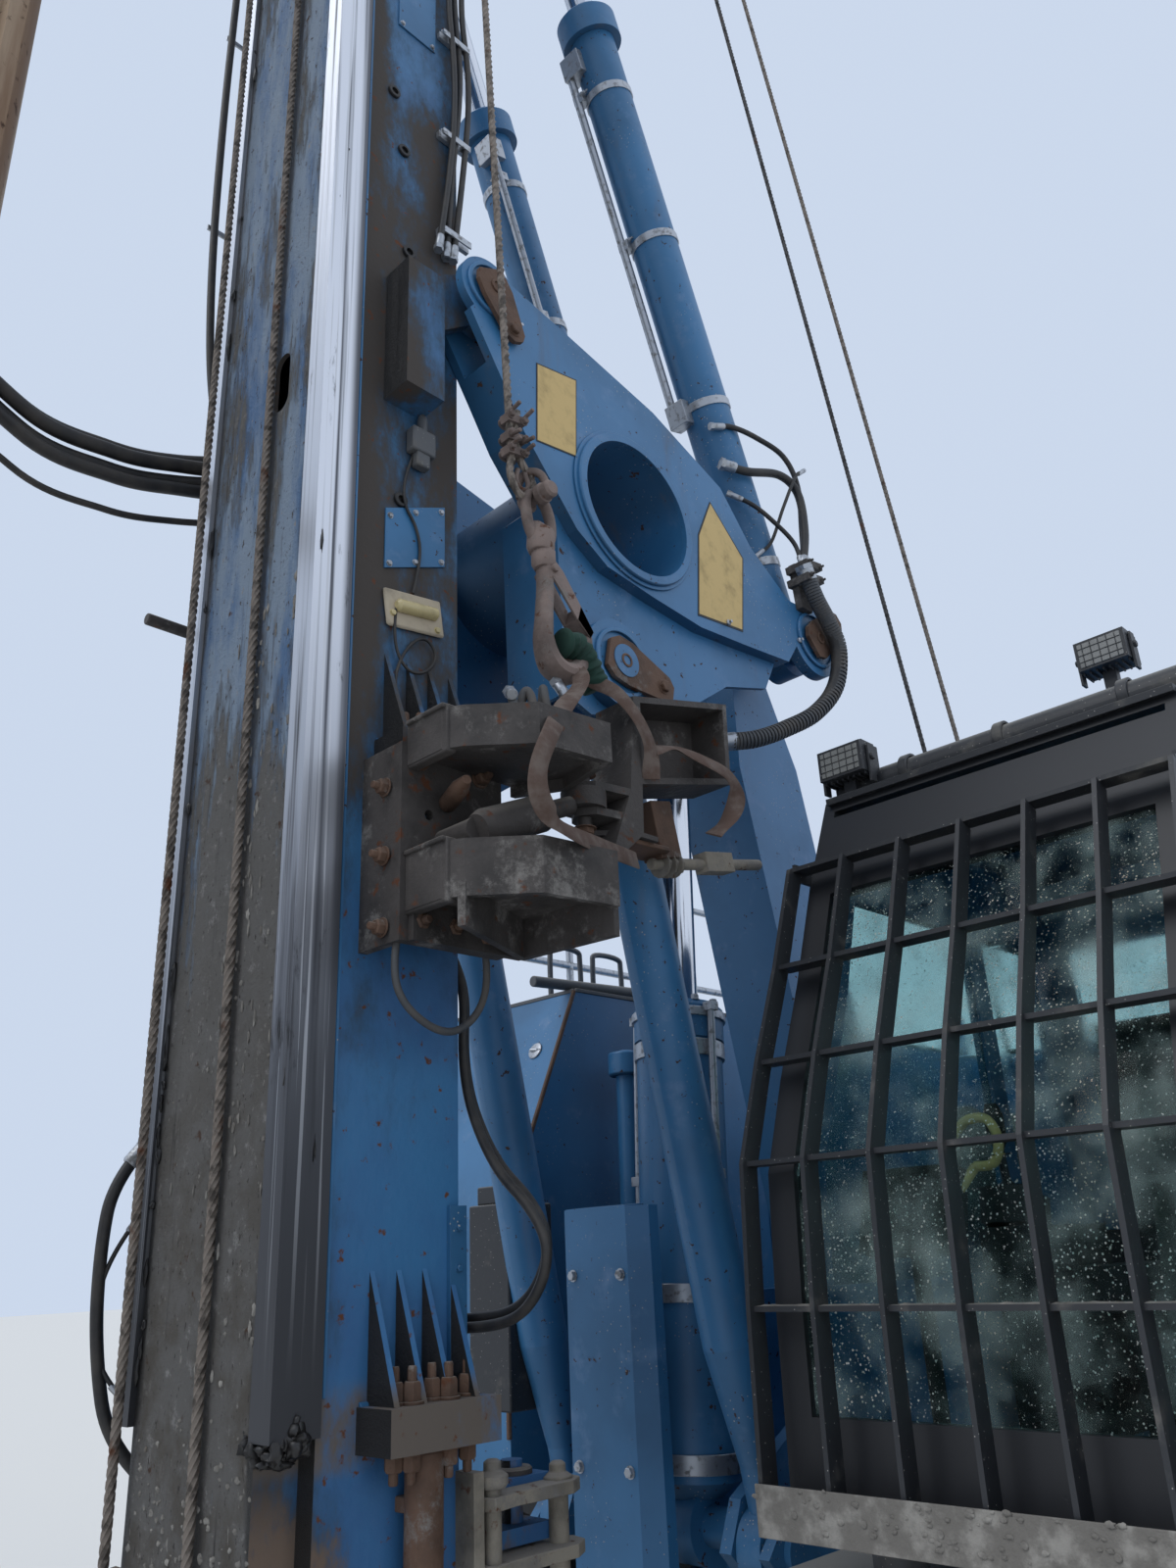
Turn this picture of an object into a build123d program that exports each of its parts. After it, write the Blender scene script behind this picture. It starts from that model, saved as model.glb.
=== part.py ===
# Rotary piling rig on tracks: parallelogram-carried mast, rotary drive, kelly bar
# Millimetres, +Z up, +X forward, +Y to the operator's left
# Origin: middle of the footprint, on the ground
import os
from math import atan2, cos, degrees, hypot, pi, radians, sin

from build123d import *

os.makedirs("parts", exist_ok=True)

# Fits
RUN = 0.3                   # gap of a pin in its eye and of a ring in its bore
SLIDE = 0.5                 # gap of a guide shoe on its rail
CLEAR = 6                   # gap between pieces that pass each other

# Tracks
TRACK_LENGTH = 4900
TRACK_WIDTH_ALL = 4100      # outside to outside
SHOE_WIDTH = 700
TRACK_HEIGHT = 900
SHOES = 56
GROUSER = 36
SHOE_THICK = 22
CHAIN_THICK = 44
ROLLER_R = 90
CARRIER_R = 65
ROLLERS = 8
WHEEL_WIDTH = 200
TRACK_FRAME_WIDTH = 330
YOKE_THICK = 32

# Carbody and slew ring
CARBODY_HALF_LENGTH = 1050
CARBODY_HALF_WIDTH = 760
CARBODY_BOTTOM = 400
CARBODY_TOP = 890
CROSSBEAM_WIDTH = 360
RING_OUTER_R = 720
RING_BORE_R = 520
RING_HEIGHT = 66

# Turret, lengths from the slew axis
DECK_GAP = 10
DECK_PLATE = 40
DECK_HALF_WIDTH = 720
DECK_REAR = 3300
DECK_AHEAD = 1110
WEB_Y = 300                 # inner face of each main web
WEB_THICK = 40
WEB_HEIGHT = 360
PLATFORM_Z = 1130
PLATFORM_THICK = 30
PLATFORM_HALF_WIDTH = 1950
TAIL_REACH = 3800

# Linkage, from the slew axis and the ground
ARM_FOOT_AHEAD = 1360
ARM_FOOT_Z = 1100
ARM_LENGTH = 2524
ARM_LEAN = 11.9             # degrees forward
LINK_TOP_DX = 515           # arm head pin to mast pin
LINK_TOP_DZ = 1165
LINK_REAR_DX = -1145        # arm head pin to rear pin
LINK_REAR_DZ = 490
LUFF_PIN_DX = -820          # arm head pin to luffing rod pin
LUFF_PIN_DZ = 260
LINK_OUT_Y = 500            # outer face of each side
LINK_SKIN = 30
LINK_FORK_Y = 335           # inner face of the mast pin's fork
LINK_BASE_Y = 435           # inner face of the plate below the skin
LINK_BASE = 20
LINK_LEG_Y = 200            # inner face of the leg at the arm head
LINK_TUBE_R = 265
LINK_TUBE_WALL = 16
LINK_TUBE_DX = -115
LINK_TUBE_DZ = 620
PIN_R = 55
ARM_Y = 385
ARM_TUBE_R = 80
ARM_WALL = 16
ARM_EYE_WIDTH = 80
ARM_EYE_R = 105
UPPER_LINK_DEPTH = 400
UPPER_LINK_HALF_WIDTH = 160
UPPER_LINK_WALL = 16

# Cylinders
LUFF_FOOT_DX = -130         # arm foot pin to the luffing cylinder's foot pin
LUFF_BARREL_R = 148
LUFF_HEAD_R = 156
LUFF_ROD_R = 68
LUFF_BARREL_LENGTH = 1560
LUFF_EYE_WIDTH = 150
TILT_Y = 340
TILT_BARREL_R = 98
TILT_HEAD_R = 130
TILT_ROD_R = 58
TILT_BARREL_LENGTH = 2950
TILT_EYE_BEHIND = 150       # mast rear face to the rod's pin
TILT_EYE_ABOVE = 3765       # mast pin to the rod's pin
TILT_EYE_DRIFT = 14         # room round the pin in the rod's eye
LUFF_EYE_DRIFT = 9
BARREL_WALL = 18
GLAND_LENGTH = 130
EYE_WIDTH = 100

# Mast
MAST_WIDTH = 700
MAST_DEPTH = 500
MAST_WALL = 14
MAST_PIN_BEHIND = 5         # mast rear face to the mast pin
MAST_FOOT_Z = 980
SPLICE_LOW_Z = 1530
SPLICE_HIGH_Z = 3090
MAST_TOP_Z = 18400
MAST_SIDE_SET = 20          # side plate behind the rail's outer face
RAIL_WIDTH = 80
RAIL_DEPTH = 120
FLANGE_THICK = 45

# Mast head
HEAD_HEIGHT = 1000
SHEAVE_R = 350
SHEAVE_WIDTH = 60
SHEAVE_PIN_R = 45
HEAD_PLATE = 30
HOIST_BEHIND = 600          # mast front face to the hoist ropes at the head
AUX_Y = 560

# Drilling gear
DRILL_AHEAD = 1000          # mast front face to the drill axis
ROTARY_BOTTOM_Z = 8500
ROTARY_HEIGHT = 1650
ROTARY_R = 500
KELLY_R = 203
KELLY_RIB = 22
KELLY_BOTTOM_Z = 1500
KELLY_TOP_Z = 12700
STUB_SIDE = 200
STUB_LENGTH = 340

# Cab, from the slew axis
CAB_FRONT = 1900
CAB_REAR = 60
CAB_INNER_Y = 870
CAB_OUTER_Y = 1920
CAB_FLOOR_Z = 1290
CAB_ROOF_Z = 3100
CAB_WALL = 40
CAB_PAD_R = 60              # mounts under the cab's floor
CAB_PAD_IN = 160
GUARD_AHEAD = 100           # guard in front of the windscreen
GUARD_BAR = 12
GUARD_BAR_DEPTH = 55
GUARD_PITCH = 153

# Houses, from the slew axis
HOUSE_FRONT = 1380
HOUSE_SLOPE = 385           # top of the front edge behind its foot
HOUSE_KNEE_Z = 2000
HOUSE_REAR = -2410
HOUSE_INNER_Y = 650
HOUSE_TOP_Z = 2850
TANK_TOP_Z = 2500
SHEET = 8
ENGINE_HOUSE_TOP_Z = 2850
WEIGHT_BOTTOM_Z = 1060
WEIGHT_TOP_Z = 1950

# Winches, from the slew axis
WINCH_BEHIND = 1740         # hoist ropes at the drums
WINCH_Z = 2150
DRUM_R = 240
DRUM_FLANGE_R = 330

# Worked-out places
ARM_LEAN_RAD = radians(ARM_LEAN)
ARM_DX = ARM_LENGTH * sin(ARM_LEAN_RAD)
ARM_DZ = ARM_LENGTH * cos(ARM_LEAN_RAD)
MAST_FACE_AHEAD = (
    ARM_FOOT_AHEAD + ARM_DX + LINK_TOP_DX + MAST_DEPTH + MAST_PIN_BEHIND
)
FRONT_REACH = MAST_FACE_AHEAD + DRILL_AHEAD + ROTARY_R
SLEW_X = (TAIL_REACH - FRONT_REACH) / 2
FACE_X = SLEW_X + MAST_FACE_AHEAD
MAST_REAR_X = FACE_X - MAST_DEPTH
DRILL_X = FACE_X + DRILL_AHEAD
HALF_MAST = MAST_WIDTH / 2
TRACK_Y = (TRACK_WIDTH_ALL - SHOE_WIDTH) / 2
ARM_FOOT = (SLEW_X + ARM_FOOT_AHEAD, ARM_FOOT_Z)
ARM_HEAD = (ARM_FOOT[0] + ARM_DX, ARM_FOOT[1] + ARM_DZ)
MAST_PIN = (ARM_HEAD[0] + LINK_TOP_DX, ARM_HEAD[1] + LINK_TOP_DZ)
REAR_PIN = (ARM_HEAD[0] + LINK_REAR_DX, ARM_HEAD[1] + LINK_REAR_DZ)
REAR_FOOT = (ARM_FOOT[0] + LINK_REAR_DX, ARM_FOOT[1] + LINK_REAR_DZ)
LUFF_FOOT = (ARM_FOOT[0] + LUFF_FOOT_DX, ARM_FOOT[1])
LUFF_PIN = (ARM_HEAD[0] + LUFF_PIN_DX, ARM_HEAD[1] + LUFF_PIN_DZ)
TUBE_CENTRE = (ARM_HEAD[0] + LINK_TUBE_DX, ARM_HEAD[1] + LINK_TUBE_DZ)
TILT_EYE = (MAST_REAR_X - TILT_EYE_BEHIND, MAST_PIN[1] + TILT_EYE_ABOVE)
DECK_Z = CARBODY_TOP + RING_HEIGHT + DECK_GAP
DECK_TOP = DECK_Z + DECK_PLATE
WEB_TOP = DECK_TOP + WEB_HEIGHT
PLATFORM_TOP = PLATFORM_Z + PLATFORM_THICK


def side_plane(y):
    """Sketch plane at a place across the machine: x forward, y up, extruded to the right."""
    return Plane.XZ.offset(-y)


def shift(point, dx, dz):
    return (point[0] + dx, point[1] + dz)


def band(points, depth):
    """Outline of a bent sheet that follows the points, as thick as depth to their left."""
    offset_points = []
    for i, (px, pz) in enumerate(points):
        before = points[max(i - 1, 0)]
        after = points[min(i + 1, len(points) - 1)]
        ins = (px - before[0], pz - before[1]) if i else (after[0] - px, after[1] - pz)
        outs = (after[0] - px, after[1] - pz) if i < len(points) - 1 else ins
        n1 = (-ins[1] / hypot(*ins), ins[0] / hypot(*ins))
        n2 = (-outs[1] / hypot(*outs), outs[0] / hypot(*outs))
        mean = (n1[0] + n2[0], n1[1] + n2[1])
        scale = 2 * depth / (mean[0] ** 2 + mean[1] ** 2)
        offset_points.append((px + mean[0] * scale, pz + mean[1] * scale))
    return list(points) + offset_points[::-1]


def outline(points, plane):
    """Flat face inside straight lines through the points."""
    with BuildSketch(plane) as face:
        with BuildLine():
            Polyline(*points, close=True)
        make_face()
    return face.sketch


def disc(point, r, plane):
    """Round flat face at a point of a plane."""
    with BuildSketch(plane) as face:
        with Locations(point):
            Circle(r)
    return face.sketch


def plate(points, y_low, y_high, mode=Mode.ADD):
    """Plate across the machine, cut to the points of its side view."""
    extrude(outline(points, side_plane(y_high)), amount=y_high - y_low, mode=mode)


def bar_y(point, r, y_low, y_high, mode=Mode.ADD):
    """Round bar or bore across the machine."""
    extrude(disc(point, r, side_plane(y_high)), amount=y_high - y_low, mode=mode)


def box(x0, x1, y0, y1, z0, z1, mode=Mode.ADD):
    """Block between its six faces."""
    with BuildSketch(Plane.XY.offset(z0)) as foot:
        with Locations(((x0 + x1) / 2, (y0 + y1) / 2)):
            Rectangle(x1 - x0, y1 - y0)
    extrude(foot.sketch, amount=z1 - z0, mode=mode)


def upright(x, y, r, z0, z1, mode=Mode.ADD):
    """Round bar or bore that stands on end."""
    extrude(disc((x, y), r, Plane.XY.offset(z0)), amount=z1 - z0, mode=mode)


def tube(start, end, r, mode=Mode.ADD):
    """Round bar between two points."""
    run = Vector(*end) - Vector(*start)
    extrude(disc((0, 0), r, Plane(origin=start, z_dir=run)), amount=run.length, mode=mode)


def axis_plane(foot, head, y):
    """Plane through a cylinder's line: x is its radius, y runs from the foot to the head."""
    lean = Vector(head[0] - foot[0], 0, head[1] - foot[1]).normalized()
    return Plane(origin=(foot[0], y, foot[1]), x_dir=(lean.Z, 0, -lean.X), z_dir=(0, -1, 0))


def spin(profile, plane, mode=Mode.ADD):
    """Turned piece round the plane's y axis."""
    revolve(outline(profile, plane), axis=Axis(plane.origin, plane.y_dir), mode=mode)


# Root: tracks, frames, carbody, lower half of the slew ring
LOOP_R = TRACK_HEIGHT / 2
LOOP_HALF = TRACK_LENGTH / 2 - LOOP_R
CHAIN_R = LOOP_R - GROUSER - SHOE_THICK - CHAIN_THICK
STRAIGHT = 2 * LOOP_HALF
LOOP_LENGTH = 2 * STRAIGHT + 2 * pi * LOOP_R


def on_loop(s, height):
    """Point on the track loop at a run length s, at a height over the grousers' feet."""
    s = s % LOOP_LENGTH
    r = LOOP_R - GROUSER + height
    if s < STRAIGHT:
        return (SLEW_X - LOOP_HALF + s, LOOP_R + r)
    s -= STRAIGHT
    if s < pi * LOOP_R:
        a = pi / 2 - s / LOOP_R
        return (SLEW_X + LOOP_HALF + r * cos(a), LOOP_R + r * sin(a))
    s -= pi * LOOP_R
    if s < STRAIGHT:
        return (SLEW_X + LOOP_HALF - s, LOOP_R - r)
    a = -pi / 2 - (s - STRAIGHT) / LOOP_R
    return (SLEW_X - LOOP_HALF + r * cos(a), LOOP_R + r * sin(a))


# Side view of one shoe: share of the pitch, height over the shoe plate
SHOE_OUTLINE = (
    (-0.46, 0),
    (-0.16, 0),
    (-0.10, GROUSER),
    (0.04, GROUSER),
    (0.10, 0),
    (0.46, 0),
    (0.50, -SHOE_THICK * 0.7),
)


def track_outline():
    pitch = LOOP_LENGTH / SHOES
    return [
        on_loop((k + share) * pitch, height)
        for k in range(SHOES)
        for share, height in SHOE_OUTLINE
    ]


def track_solid(y_low):
    """One shoe loop; its inside is the path that the wheels and rollers run on."""
    plate(track_outline(), y_low, y_low + SHOE_WIDTH)
    with BuildSketch(side_plane(y_low + SHOE_WIDTH)) as inside:
        with Locations((SLEW_X, LOOP_R)):
            SlotCenterToCenter(STRAIGHT, 2 * CHAIN_R)
    extrude(inside.sketch, amount=SHOE_WIDTH, mode=Mode.SUBTRACT)


with BuildPart() as track_left:
    track_solid(TRACK_Y - SHOE_WIDTH / 2)
track_left.part.label = "track_left"
export_step(track_left.part, "parts/track_left.step")

with BuildPart() as track_right:
    track_solid(-TRACK_Y - SHOE_WIDTH / 2)
track_right.part.label = "track_right"
export_step(track_right.part, "parts/track_right.step")

# Wheels in the loop: place along the machine, radius, height of the axle
RUN_LOW_Z = LOOP_R - CHAIN_R
RUN_HIGH_Z = LOOP_R + CHAIN_R
ROLLER_Z = RUN_LOW_Z + RUN + ROLLER_R
CARRIER_Z = RUN_HIGH_Z - RUN - CARRIER_R
FRAME_LOW_Z = ROLLER_Z + ROLLER_R + RUN
FRAME_HIGH_Z = CARRIER_Z - CARRIER_R - RUN
FRAME_HALF = LOOP_HALF - CHAIN_R - 80
ROLLER_PITCH = 2 * (FRAME_HALF - ROLLER_R) / (ROLLERS - 1)
WHEEL_AXLE_R = 60
track_turners = [
    (LOOP_HALF, CHAIN_R - RUN, LOOP_R),
    (-LOOP_HALF, CHAIN_R - RUN, LOOP_R),
    (FRAME_HALF / 2, CARRIER_R, CARRIER_Z),
    (-FRAME_HALF / 2, CARRIER_R, CARRIER_Z),
]
for k in range(ROLLERS):
    track_turners.append((-FRAME_HALF + ROLLER_R + k * ROLLER_PITCH, ROLLER_R, ROLLER_Z))

with BuildPart() as track_wheels:
    for side in (1, -1):
        for ahead, wheel_r, axle_z in track_turners:
            centre = (SLEW_X + ahead, axle_z)
            y_mid = side * TRACK_Y
            half = WHEEL_WIDTH / 2
            bar_y(centre, wheel_r, y_mid - half, y_mid + half)
            if wheel_r > ROLLER_R:
                reach = TRACK_FRAME_WIDTH / 2 - YOKE_THICK - RUN
                bar_y(centre, WHEEL_AXLE_R, y_mid - reach, y_mid + reach)
track_wheels.part.label = "track_wheels"
export_step(track_wheels.part, "parts/track_wheels.step")

# Track frames: box beam with sloped ends, yoke plates that hold the end wheels
with BuildPart() as track_frames:
    for side in (1, -1):
        y_low = side * TRACK_Y - TRACK_FRAME_WIDTH / 2
        y_high = y_low + TRACK_FRAME_WIDTH
        frame_side = [
            (SLEW_X - FRAME_HALF, FRAME_LOW_Z),
            (SLEW_X + FRAME_HALF, FRAME_LOW_Z),
            (SLEW_X + FRAME_HALF, LOOP_R + 40),
            (SLEW_X + FRAME_HALF - 160, FRAME_HIGH_Z),
            (SLEW_X - FRAME_HALF + 160, FRAME_HIGH_Z),
            (SLEW_X - FRAME_HALF, LOOP_R + 40),
        ]
        plate(frame_side, y_low, y_high)
        for end in (1, -1):
            yoke = [
                (SLEW_X + end * (FRAME_HALF - 200), LOOP_R - 110),
                (SLEW_X + end * (LOOP_HALF + 40), LOOP_R - 90),
                (SLEW_X + end * (LOOP_HALF + 110), LOOP_R),
                (SLEW_X + end * (LOOP_HALF + 40), LOOP_R + 90),
                (SLEW_X + end * (FRAME_HALF - 200), LOOP_R + 110),
            ]
            plate(yoke, y_low, y_low + YOKE_THICK)
            plate(yoke, y_high - YOKE_THICK, y_high)
track_frames.part.label = "track_frames"
export_step(track_frames.part, "parts/track_frames.step")

# Carbody: middle box with bevelled flanks, two crossbeams that reach the track frames
BEAM_REACH = TRACK_Y - TRACK_FRAME_WIDTH / 2
BEAM_BOTTOM = FRAME_LOW_Z + 30
BEAM_TOP = FRAME_HIGH_Z - 40
with BuildPart() as carbody:
    with BuildSketch(Plane.XY.offset(CARBODY_BOTTOM)) as carbody_plan:
        with Locations((SLEW_X, 0)):
            Rectangle(2 * CARBODY_HALF_LENGTH, 2 * CARBODY_HALF_WIDTH)
        chamfer(carbody_plan.vertices(), 220)
    extrude(amount=CARBODY_TOP - CARBODY_BOTTOM)
    chamfer(carbody.faces().sort_by(Axis.Z)[-1].edges(), 60)
    box(SLEW_X - CARBODY_HALF_LENGTH + 260, SLEW_X + CARBODY_HALF_LENGTH - 260,
        -CARBODY_HALF_WIDTH + 60, CARBODY_HALF_WIDTH - 60, CARBODY_BOTTOM + 30,
        CARBODY_TOP - 50, Mode.SUBTRACT)
    for end in (1, -1):
        beam_x = SLEW_X + end * (CARBODY_HALF_LENGTH - CROSSBEAM_WIDTH / 2)
        x0 = beam_x - CROSSBEAM_WIDTH / 2
        box(x0, x0 + CROSSBEAM_WIDTH, -BEAM_REACH, BEAM_REACH, BEAM_BOTTOM, BEAM_TOP)
carbody.part.label = "carbody"
export_step(carbody.part, "parts/carbody.step")

with BuildPart() as slew_ring:
    upright(SLEW_X, 0, RING_OUTER_R, CARBODY_TOP, CARBODY_TOP + RING_HEIGHT)
    upright(SLEW_X, 0, RING_BORE_R, CARBODY_TOP, CARBODY_TOP + RING_HEIGHT, Mode.SUBTRACT)
slew_ring.part.label = "slew_ring"
export_step(slew_ring.part, "parts/slew_ring.step")

# Turret: inner ring, deck plate, two main webs with the linkage pins, side platforms
LUG_Y = WEB_Y + WEB_THICK
LUG_R = 120
ARM_EYE_HIGH = ARM_Y + ARM_EYE_WIDTH / 2
OUTER_LUG_Y = ARM_EYE_HIGH + CLEAR
OUTER_LUG = 35
web_side = [
    (SLEW_X - DECK_REAR, DECK_TOP),
    (SLEW_X + CARBODY_HALF_LENGTH, DECK_TOP),
    (ARM_FOOT[0], ARM_FOOT[1] - LUG_R),
    (ARM_FOOT[0] + LUG_R, ARM_FOOT[1]),
    (ARM_FOOT[0] + LUG_R * 0.5, ARM_FOOT[1] + LUG_R),
    (REAR_FOOT[0] + 2 * LUG_R, REAR_FOOT[1] + LUG_R),
    (REAR_FOOT[0] - LUG_R, REAR_FOOT[1] + LUG_R),
    (REAR_FOOT[0] - 4 * LUG_R, WEB_TOP),
    (SLEW_X - DECK_REAR, WEB_TOP),
]
outer_lug_side = [
    (SLEW_X + CARBODY_HALF_LENGTH - 200, DECK_TOP),
    (ARM_FOOT[0], ARM_FOOT[1] - LUG_R),
    (ARM_FOOT[0] + LUG_R, ARM_FOOT[1]),
    (ARM_FOOT[0], ARM_FOOT[1] + LUG_R),
    (SLEW_X + CARBODY_HALF_LENGTH - 200, PLATFORM_TOP),
]
with BuildPart() as turret_frame:
    upright(SLEW_X, 0, RING_BORE_R - RUN, CARBODY_TOP + CLEAR, DECK_Z)
    with BuildSketch(Plane.XY.offset(DECK_Z)):
        with Locations((SLEW_X + (DECK_AHEAD - DECK_REAR) / 2, 0)):
            Rectangle(DECK_REAR + DECK_AHEAD, 2 * DECK_HALF_WIDTH)
    extrude(amount=DECK_PLATE)
    for side in (1, -1):
        inner = side * WEB_Y
        outer = side * (WEB_Y + WEB_THICK)
        plate(web_side, min(inner, outer), max(inner, outer))
        near = side * OUTER_LUG_Y
        far = side * (OUTER_LUG_Y + OUTER_LUG)
        plate(outer_lug_side, min(near, far), max(near, far))
    bar_y(LUFF_FOOT, PIN_R, -LUG_Y, LUG_Y)
    bar_y(REAR_FOOT, PIN_R, -LUG_Y - 20, LUG_Y + 20)
    bar_y(ARM_FOOT, PIN_R, WEB_Y - 10, OUTER_LUG_Y + OUTER_LUG + 20)
    bar_y(ARM_FOOT, PIN_R, -OUTER_LUG_Y - OUTER_LUG - 20, -WEB_Y + 10)
turret_frame.part.label = "turret_frame"
export_step(turret_frame.part, "parts/turret_frame.step")

with BuildPart() as platforms:
    for side in (1, -1):
        y_in = side * DECK_HALF_WIDTH
        y_out = side * PLATFORM_HALF_WIDTH
        front = SLEW_X + (CAB_FRONT if side > 0 else HOUSE_FRONT + 60)
        box(SLEW_X - DECK_REAR, front, min(y_in, y_out), max(y_in, y_out),
            PLATFORM_Z, PLATFORM_TOP)
        for ahead in (-2900, -1700, -500, 300, 1000):
            x_rib = SLEW_X + ahead
            rib = [(y_in, DECK_Z), (y_in, PLATFORM_Z), (y_out * 0.9, PLATFORM_Z)]
            face = outline(rib, Plane.YZ.offset(x_rib))
            extrude(face, amount=30)
    for x in (SLEW_X + CAB_REAR + CAB_PAD_IN, SLEW_X + CAB_FRONT - CAB_PAD_IN):
        for y in (CAB_INNER_Y + CAB_PAD_IN, CAB_OUTER_Y - CAB_PAD_IN):
            upright(x, y, CAB_PAD_R, PLATFORM_TOP - 1, CAB_FLOOR_Z)
platforms.part.label = "platforms"
export_step(platforms.part, "parts/platforms.step")

# Lower arms: a tapered tube each side between two eyes
def leaning(point, along, across, lean=ARM_LEAN_RAD):
    """Point at a run along a leaning member and off its line."""
    return (
        point[0] + along * sin(lean) + across * cos(lean),
        point[1] + along * cos(lean) - across * sin(lean),
    )


ARM_NECK = 210
ARM_TAPER = 520
ARM_HEAD_TAPER = 340
ARM_FOOT_R = 42
with BuildPart() as lower_arms:
    for side in (1, -1):
        y_mid = side * ARM_Y
        line = axis_plane(ARM_FOOT, ARM_HEAD, y_mid)
        shell = [
            (0, 0),
            (ARM_FOOT_R, 0),
            (ARM_FOOT_R, ARM_NECK),
            (ARM_TUBE_R, ARM_TAPER),
            (ARM_TUBE_R, ARM_LENGTH - ARM_HEAD_TAPER),
            (ARM_FOOT_R, ARM_LENGTH - ARM_NECK),
            (ARM_FOOT_R, ARM_LENGTH),
            (0, ARM_LENGTH),
        ]
        hollow = [
            (0, ARM_TAPER),
            (ARM_TUBE_R - ARM_WALL, ARM_TAPER),
            (ARM_TUBE_R - ARM_WALL, ARM_LENGTH - ARM_TAPER),
            (0, ARM_LENGTH - ARM_TAPER),
        ]
        spin(shell, line)
        spin(hollow, line, Mode.SUBTRACT)
        half = ARM_EYE_WIDTH / 2
        for end in (ARM_FOOT, ARM_HEAD):
            bar_y(end, ARM_EYE_R, y_mid - half, y_mid + half)
            bar_y(end, PIN_R + RUN, y_mid - 2 * half, y_mid + 2 * half, Mode.SUBTRACT)
lower_arms.part.label = "lower_arms"
export_step(lower_arms.part, "parts/lower_arms.step")

# Upper link: flat-faced box column between two eyes
LINK_EYE_R = 115
half_link = UPPER_LINK_DEPTH / 2
link_outline = [
    leaning(REAR_FOOT, -60, -LINK_EYE_R * 0.8),
    leaning(REAR_FOOT, 420, -half_link),
    leaning(REAR_FOOT, ARM_LENGTH - 420, -half_link),
    leaning(REAR_FOOT, ARM_LENGTH + 60, -LINK_EYE_R * 0.8),
    leaning(REAR_FOOT, ARM_LENGTH + 60, LINK_EYE_R * 0.8),
    leaning(REAR_FOOT, ARM_LENGTH - 420, half_link),
    leaning(REAR_FOOT, 420, half_link),
    leaning(REAR_FOOT, -60, LINK_EYE_R * 0.8),
]
inner_half = half_link - UPPER_LINK_WALL
link_hollow = [
    leaning(REAR_FOOT, 430, -inner_half),
    leaning(REAR_FOOT, ARM_LENGTH - 430, -inner_half),
    leaning(REAR_FOOT, ARM_LENGTH - 430, inner_half),
    leaning(REAR_FOOT, 430, inner_half),
]
with BuildPart() as upper_link:
    reach = UPPER_LINK_HALF_WIDTH
    plate(link_outline, -reach, reach)
    plate(link_hollow, -reach + UPPER_LINK_WALL, reach - UPPER_LINK_WALL, Mode.SUBTRACT)
    for end in (REAR_FOOT, REAR_PIN):
        bar_y(end, LINK_EYE_R, -reach, reach)
        bar_y(end, PIN_R + RUN, -reach, reach, Mode.SUBTRACT)
upper_link.part.label = "upper_link"
export_step(upper_link.part, "parts/upper_link.step")

# Triangle: skins over base plates, inner fork plates, edge webs, legs at the arm heads, a cross tube
BOSS_R = 150
TOP_BOSS_R = 122
WEB_SHEET = 16
TUBE_PROUD = 12
TUBE_BELOW = 245
TUBE_BEHIND = 325
TUBE_BEHIND_Z = 60
LINK_PIN_PROUD = 25
BASE_OUT_Y = LINK_BASE_Y + LINK_BASE
TUBE_END_Y = LINK_OUT_Y + TUBE_PROUD
SKIN_Y = LINK_OUT_Y - LINK_SKIN
skin_front = [
    shift(MAST_PIN, 88, -120),
    shift(MAST_PIN, -37, -327),
    shift(MAST_PIN, -127, -482),
    shift(ARM_HEAD, 170, 419),
    shift(ARM_HEAD, 38, 337),
    shift(ARM_HEAD, -176, 309),
    shift(ARM_HEAD, -427, 286),
    shift(ARM_HEAD, -660, 304),
    shift(REAR_PIN, 200, -160),
]
skin_rear = [
    shift(REAR_PIN, -18, 135),
    shift(REAR_PIN, 149, 124),
    shift(REAR_PIN, 229, 176),
    shift(REAR_PIN, 368, 271),
    shift(REAR_PIN, 525, 468),
    shift(MAST_PIN, -767, -57),
    shift(MAST_PIN, -351, 32),
    shift(MAST_PIN, -63, 90),
]
fork_side = (
    skin_front[:5]
    + [shift(TUBE_CENTRE, 0, -TUBE_BELOW), shift(TUBE_CENTRE, -TUBE_BEHIND, TUBE_BEHIND_Z)]
    + skin_rear[5:]
)
leg_top = shift(ARM_HEAD, 220, 550)
leg_low = shift(ARM_HEAD, 205, -150)
leg_side = [
    leg_top,
    leg_low,
    shift(ARM_HEAD, 100, -190),
    shift(ARM_HEAD, -90, -150),
    shift(ARM_HEAD, -280, -20),
    shift(ARM_HEAD, -280, 330),
    shift(ARM_HEAD, 20, 630),
    shift(ARM_HEAD, 150, 625),
]
base_side = [
    leg_top,
    leg_low,
    shift(ARM_HEAD, 100, -190),
    shift(ARM_HEAD, -90, -150),
    shift(ARM_HEAD, -310, -70),
    shift(ARM_HEAD, -600, 130),
    shift(LUFF_PIN, -20, -60),
    shift(REAR_PIN, 215, -130),
    shift(REAR_PIN, 255, 60),
    shift(TUBE_CENTRE, -TUBE_BEHIND, TUBE_BEHIND_Z),
    shift(ARM_HEAD, 20, 630),
    shift(ARM_HEAD, 150, 625),
]
cross_web = [shift(ARM_HEAD, -262, 40), shift(LUFF_PIN, 160, 40)]
LUFF_LUG_R = 95
LUFF_LUG = 50
LINK_PIN_END = LINK_OUT_Y + LINK_PIN_PROUD


def both_sides(points, y_near, y_far):
    """The same plate on both sides, between two distances from the middle."""
    plate(points, y_near, y_far)
    plate(points, -y_far, -y_near)


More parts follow.
